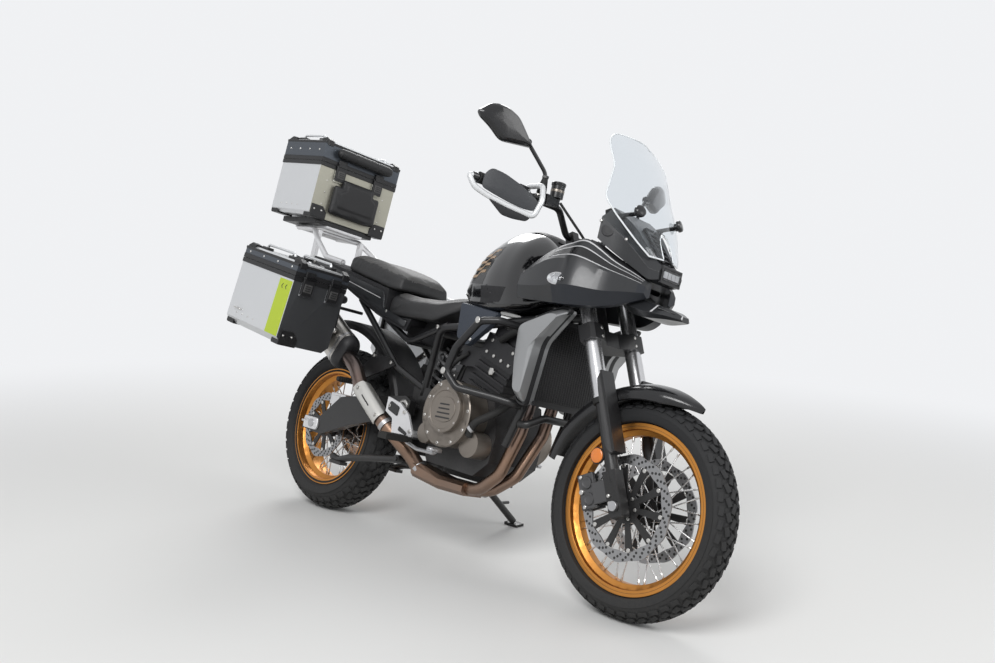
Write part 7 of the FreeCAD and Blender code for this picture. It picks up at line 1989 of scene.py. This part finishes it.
piece("spring_and_damper", [(spring, SPRING_GREY), (damper, BLACK), (joined(cups), BLACK)], "shock", ("shock",),
      angle=34)

# %% Swingarm, axle blocks and rear brake
welded("swingarm", "swingarm_arms", BLACK, bevel=3.5)
welded("rear_caliper", "rear_caliper_body", CAST_SILVER, bevel=3)
shapes = []
for side in (-1, 1):
    adjuster = side * 131
    axle_block = panel([(-52, 298), (34, 298), (40, 312), (34, 345), (-52, 345)], side,
                       [(145.3, 1), (151, 1), (153, 0.95)], 8, 0.6)
    shapes.append((axle_block, CAST_SILVER))
    shapes.append((bar((-92, adjuster, 321), (-58, adjuster, 321), 4.5, 12), BOLT))
    shapes.append((lathe([(0, 9), (7, 9)], (-72, adjuster, 321), aim((1, 0, 0)), 6), BOLT))
    marks = [block((1.2, 0.8, 10), (-40 + 9 * k, side * 153.4, 330), edge=0.2) for k in range(6)]
    shapes.append((joined(marks), PLASTIC))
    pivot_cap = lathe([(0, 24), (5, 24), (7, 21), (7, 12), (4, 10)], (514, side * 145, 469), aim((0, side, 0)), 32)
    shapes.append((pivot_cap, BOLT))
piece("axle_blocks", shapes, "swingarm", angle=34)
print("rear end: spring of", len(coil), "stations")

# %% Footrests, pegs and stands
welded("footrests", "footrest_castings", CAST_SILVER, RUBBER, STEEL, bevel=1.6)


def footrest_rule(middles, normals):
    """0 bracket, 1 rubber peg, 2 steel lever, told by place."""
    aside = np.abs(middles[:, 1])
    peg = (aside > 202) & (middles[:, 0] < 656) & (middles[:, 2] < 376) & (middles[:, 0] > 604)
    lever = (aside > 202) & (middles[:, 0] >= 656)
    return np.where(peg, 1, np.where(lever, 2, 0))


repaint(bpy.data.objects["footrest_castings"], footrest_rule)
shapes = []
for side in (-1, 1):
    ribs = [block((46, 4, 4), (630, side * (218 + 9 * k), 373), edge=1) for k in range(10)]
    shapes.append((joined(ribs), RUBBER))
    heel = panel([(498, 448), (556, 430), (560, 464), (508, 480)], side, [(200.8, 1), (203, 1), (203.6, 0.96)], 8,
                 0.3)
    shapes.append((heel, BLACK))
    slot = panel([(574, 384), (622, 372), (626, 382), (578, 400)], side, [(200.6, 1), (201.6, 1), (202, 0.96)], 6,
                 0.1)
    shapes.append((slot, BLACK))
    shapes.append((heads([(506, side * 200.5, 462), (590, side * 200.5, 450), (636, side * 200.5, 390)], (0, side, 0),
                         6.5, 4), BOLT))
    tip = rounded_path([(820, side * 250, 357), (826, side * 276, 358), (846, side * 276, 358),
                        (850, side * 250, 357)], 10)
    shapes.append((tube(tip, 4.5, 12), STEEL))
    teeth = [block((3, 40, 3), (824 + 5 * k, side * 250, 363), edge=0.6) for k in range(5)]
    shapes.append((joined(teeth), STEEL))
piece("footrest_trim", shapes, "footrests", angle=34)
welded("peg_hangers", "pillion_hangers", BLACK, RUBBER, bevel=2.0)
repaint(bpy.data.objects["pillion_hangers"],
        lambda middles, normals: (np.abs(middles[:, 1]) > 140).astype(int))
shapes = []
for side in (-1, 1):
    grips = [lathe([(-3, 10.5), (0, 11.5), (3, 10.5)], (203, side * (150 + 9 * k), 514), aim((0, side, 0)),
                   20) for k in range(8)]
    shapes.append((joined(grips), RUBBER))
    shapes.append((heads([(378, side * 132.3, 614), (272, side * 132.3, 628)], (0, side, 0), 7, 5), BOLT))
piece("pillion_pegs", shapes, "peg_hangers", angle=34)
welded("side_stand", "side_stand_leg", BLACK, bevel=1.2)
welded("centre_stand", "centre_stand_legs", BLACK, bevel=1.2)

# %% [markdown]
# The carrier is one pale casting with grab rails. Under the tail hang the lamp, the indicators and a blank plate
# on its holder. A lamp is a dark housing with a clear or red lens in front of it.

# %% Carrier, racks, tail lamp and plate
welded("rear_carrier", "carrier_casting", CAST_SILVER, bevel=2.2)
welded("case_racks", "case_rack_tubes", BLACK, bevel=0.5)
welded("top_case_plate", "top_case_base_plate", CASE_BLACK, bevel=3)
shapes = [(heads([(-330 - 60 * k, side * 70, 1126.2) for side in (-1, 1) for k in range(3)], (0, 0, 1), 6.5, 0.2),
           BOLT)]
pads = [block((60, 14, 1.2), (-360 - 70 * k, side * 36, 1126.4), edge=0.3) for side in (-1, 1) for k in range(2)]
shapes.append((joined(pads), PLASTIC))
piece("carrier_bolts", shapes, "rear_carrier", angle=34)
shapes = []
for side in (-1, 1):
    for x, z in ((-188, 864), (-188, 654), (128, 690)):
        shapes.append((lathe([(-4, 12), (0, 13), (5, 13), (7, 10)], (x, side * 237.7, z), aim((0, side, 0)), 20),
                       BOLT))
piece("rack_knobs", shapes, "case_racks", angle=34)
welded("plate_holder", "plate_holder_arm", PLASTIC, bevel=1.2)
BLANK = finish("blank plate", (0.72, 0.72, 0.7), 0.35, spread=0.04, dust=0.1, bump=0.02)
tilt = turn_about((0, 1, 0), 9)
plate_middle = np.array([-361.5, 0, 730]) + tilt @ np.array([-0.6, 0, 0])
shapes = [(block((2, 180, 140), plate_middle, tilt, 0.8), BLANK)]
frame_bars = [block((4, 188, 5), plate_middle + tilt @ np.array([-1, 0, z]), tilt, 1) for z in (-71, 71)]
shapes.append((joined(frame_bars), PLASTIC))
shapes.append((block((26, 60, 12), (-352, 0, 812), tilt, 3), PLASTIC))
for side in (-1, 1):
    stalk = bar((-336, side * 8, 842), (-342, side * 96, 846), 6, 16)
    foot, facing = (-318, side * 108, 848), aim((-1, side * 0.05, 0))
    body = lathe([(0, 10), (4, 17), (26, 20), (30, 19)], foot, facing, 28)
    lens = lathe([(28, 18.5), (34, 17), (40, 12), (42, 4)], foot, facing, 28)
    shapes += [(stalk, RUBBER), (body, PLASTIC), (lens, AMBER)]
piece("plate_and_indicators", shapes, "plate_holder", angle=34)
turn_back = np.column_stack([(0, 1, 0), (-1, 0, 0), (0, 0, 1)])
lamp_body = panel([(-64, -26), (64, -26), (76, 0), (64, 26), (-64, 26), (-76, 0)], 1, [(0, 1), (14, 1), (18, 0.96)],
                  10, 2)
lamp_lens = panel([(-58, -20), (58, -20), (68, 0), (58, 20), (-58, 20), (-68, 0)], 1,
                  [(16, 1), (22, 0.98), (25, 0.9)], 10,
                  3)
lamp_body, lamp_lens = [moved(shape, turn_back, (-258, 0, 962)) for shape in (lamp_body, lamp_lens)]
piece("tail_lamp", [(lamp_body, PLASTIC), (lamp_lens, RED)], "tail_unit", angle=34)

# %% [markdown]
# The tail panels under the seats are two charcoal mouldings with a step, over the solid tail unit.

# %% Tail panels
welded("tail_unit", "tail_shell", PLASTIC, bevel=2.5)
for label, side in SIDES:
    upper = panel([(426, 776), (284, 778), (262, 872), (-250, 980), (-262, 944), (20, 878), (236, 800), (418, 748)],
                  side,
                  [(140.3, 1), (144, 1), (147, 0.985)], 16, 2.5)
    shapes = [(upper, CHARCOAL)]
    groove = np.array([(250, side * 149.6, 846), (100, side * 149.8, 880), (-180, side * 149.2, 946)], float)
    shapes.append((tube(rounded_path(groove, 60, 9), 1.6, 8), STRIPE))
    shapes.append((heads([(300, side * 147, 800), (-230, side * 147, 962)], (0, side, 0), 5.5, 2.5), BOLT))
    piece("tail_panel_" + label, shapes, "tail_unit", angle=34)

# %% [markdown]
# An inner mudguard hangs under the tail. It is an arc about the rear axle with turned-down edges, well clear of
# the tyre, and it closes the view between the frame's rails.

# %% Inner mudguard
angle = np.radians(np.linspace(20, 100, 30))[:, None]
sideways, turned = np.array([(-84, -30), (-84, -8), (-76, 0), (76, 0), (84, -8), (84, -30)], float).T
sheets = []
for radius in (428.0, 424.5):
    reach = radius + turned[None, :]
    sheets.append(np.stack([REAR_AXLE[0] + reach * np.cos(angle), sideways[None, :] + 0 * angle,
                            REAR_AXLE[2] + reach * np.sin(angle)], -1))
piece("inner_mudguard", [(shell(sheets[0], sheets[1]), PLASTIC)], "tail_unit", angle=34)

# %% Sizes and end
low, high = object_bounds()
print("visual model, metres:", [round(b - a, 3) for a, b in zip(low, high)])
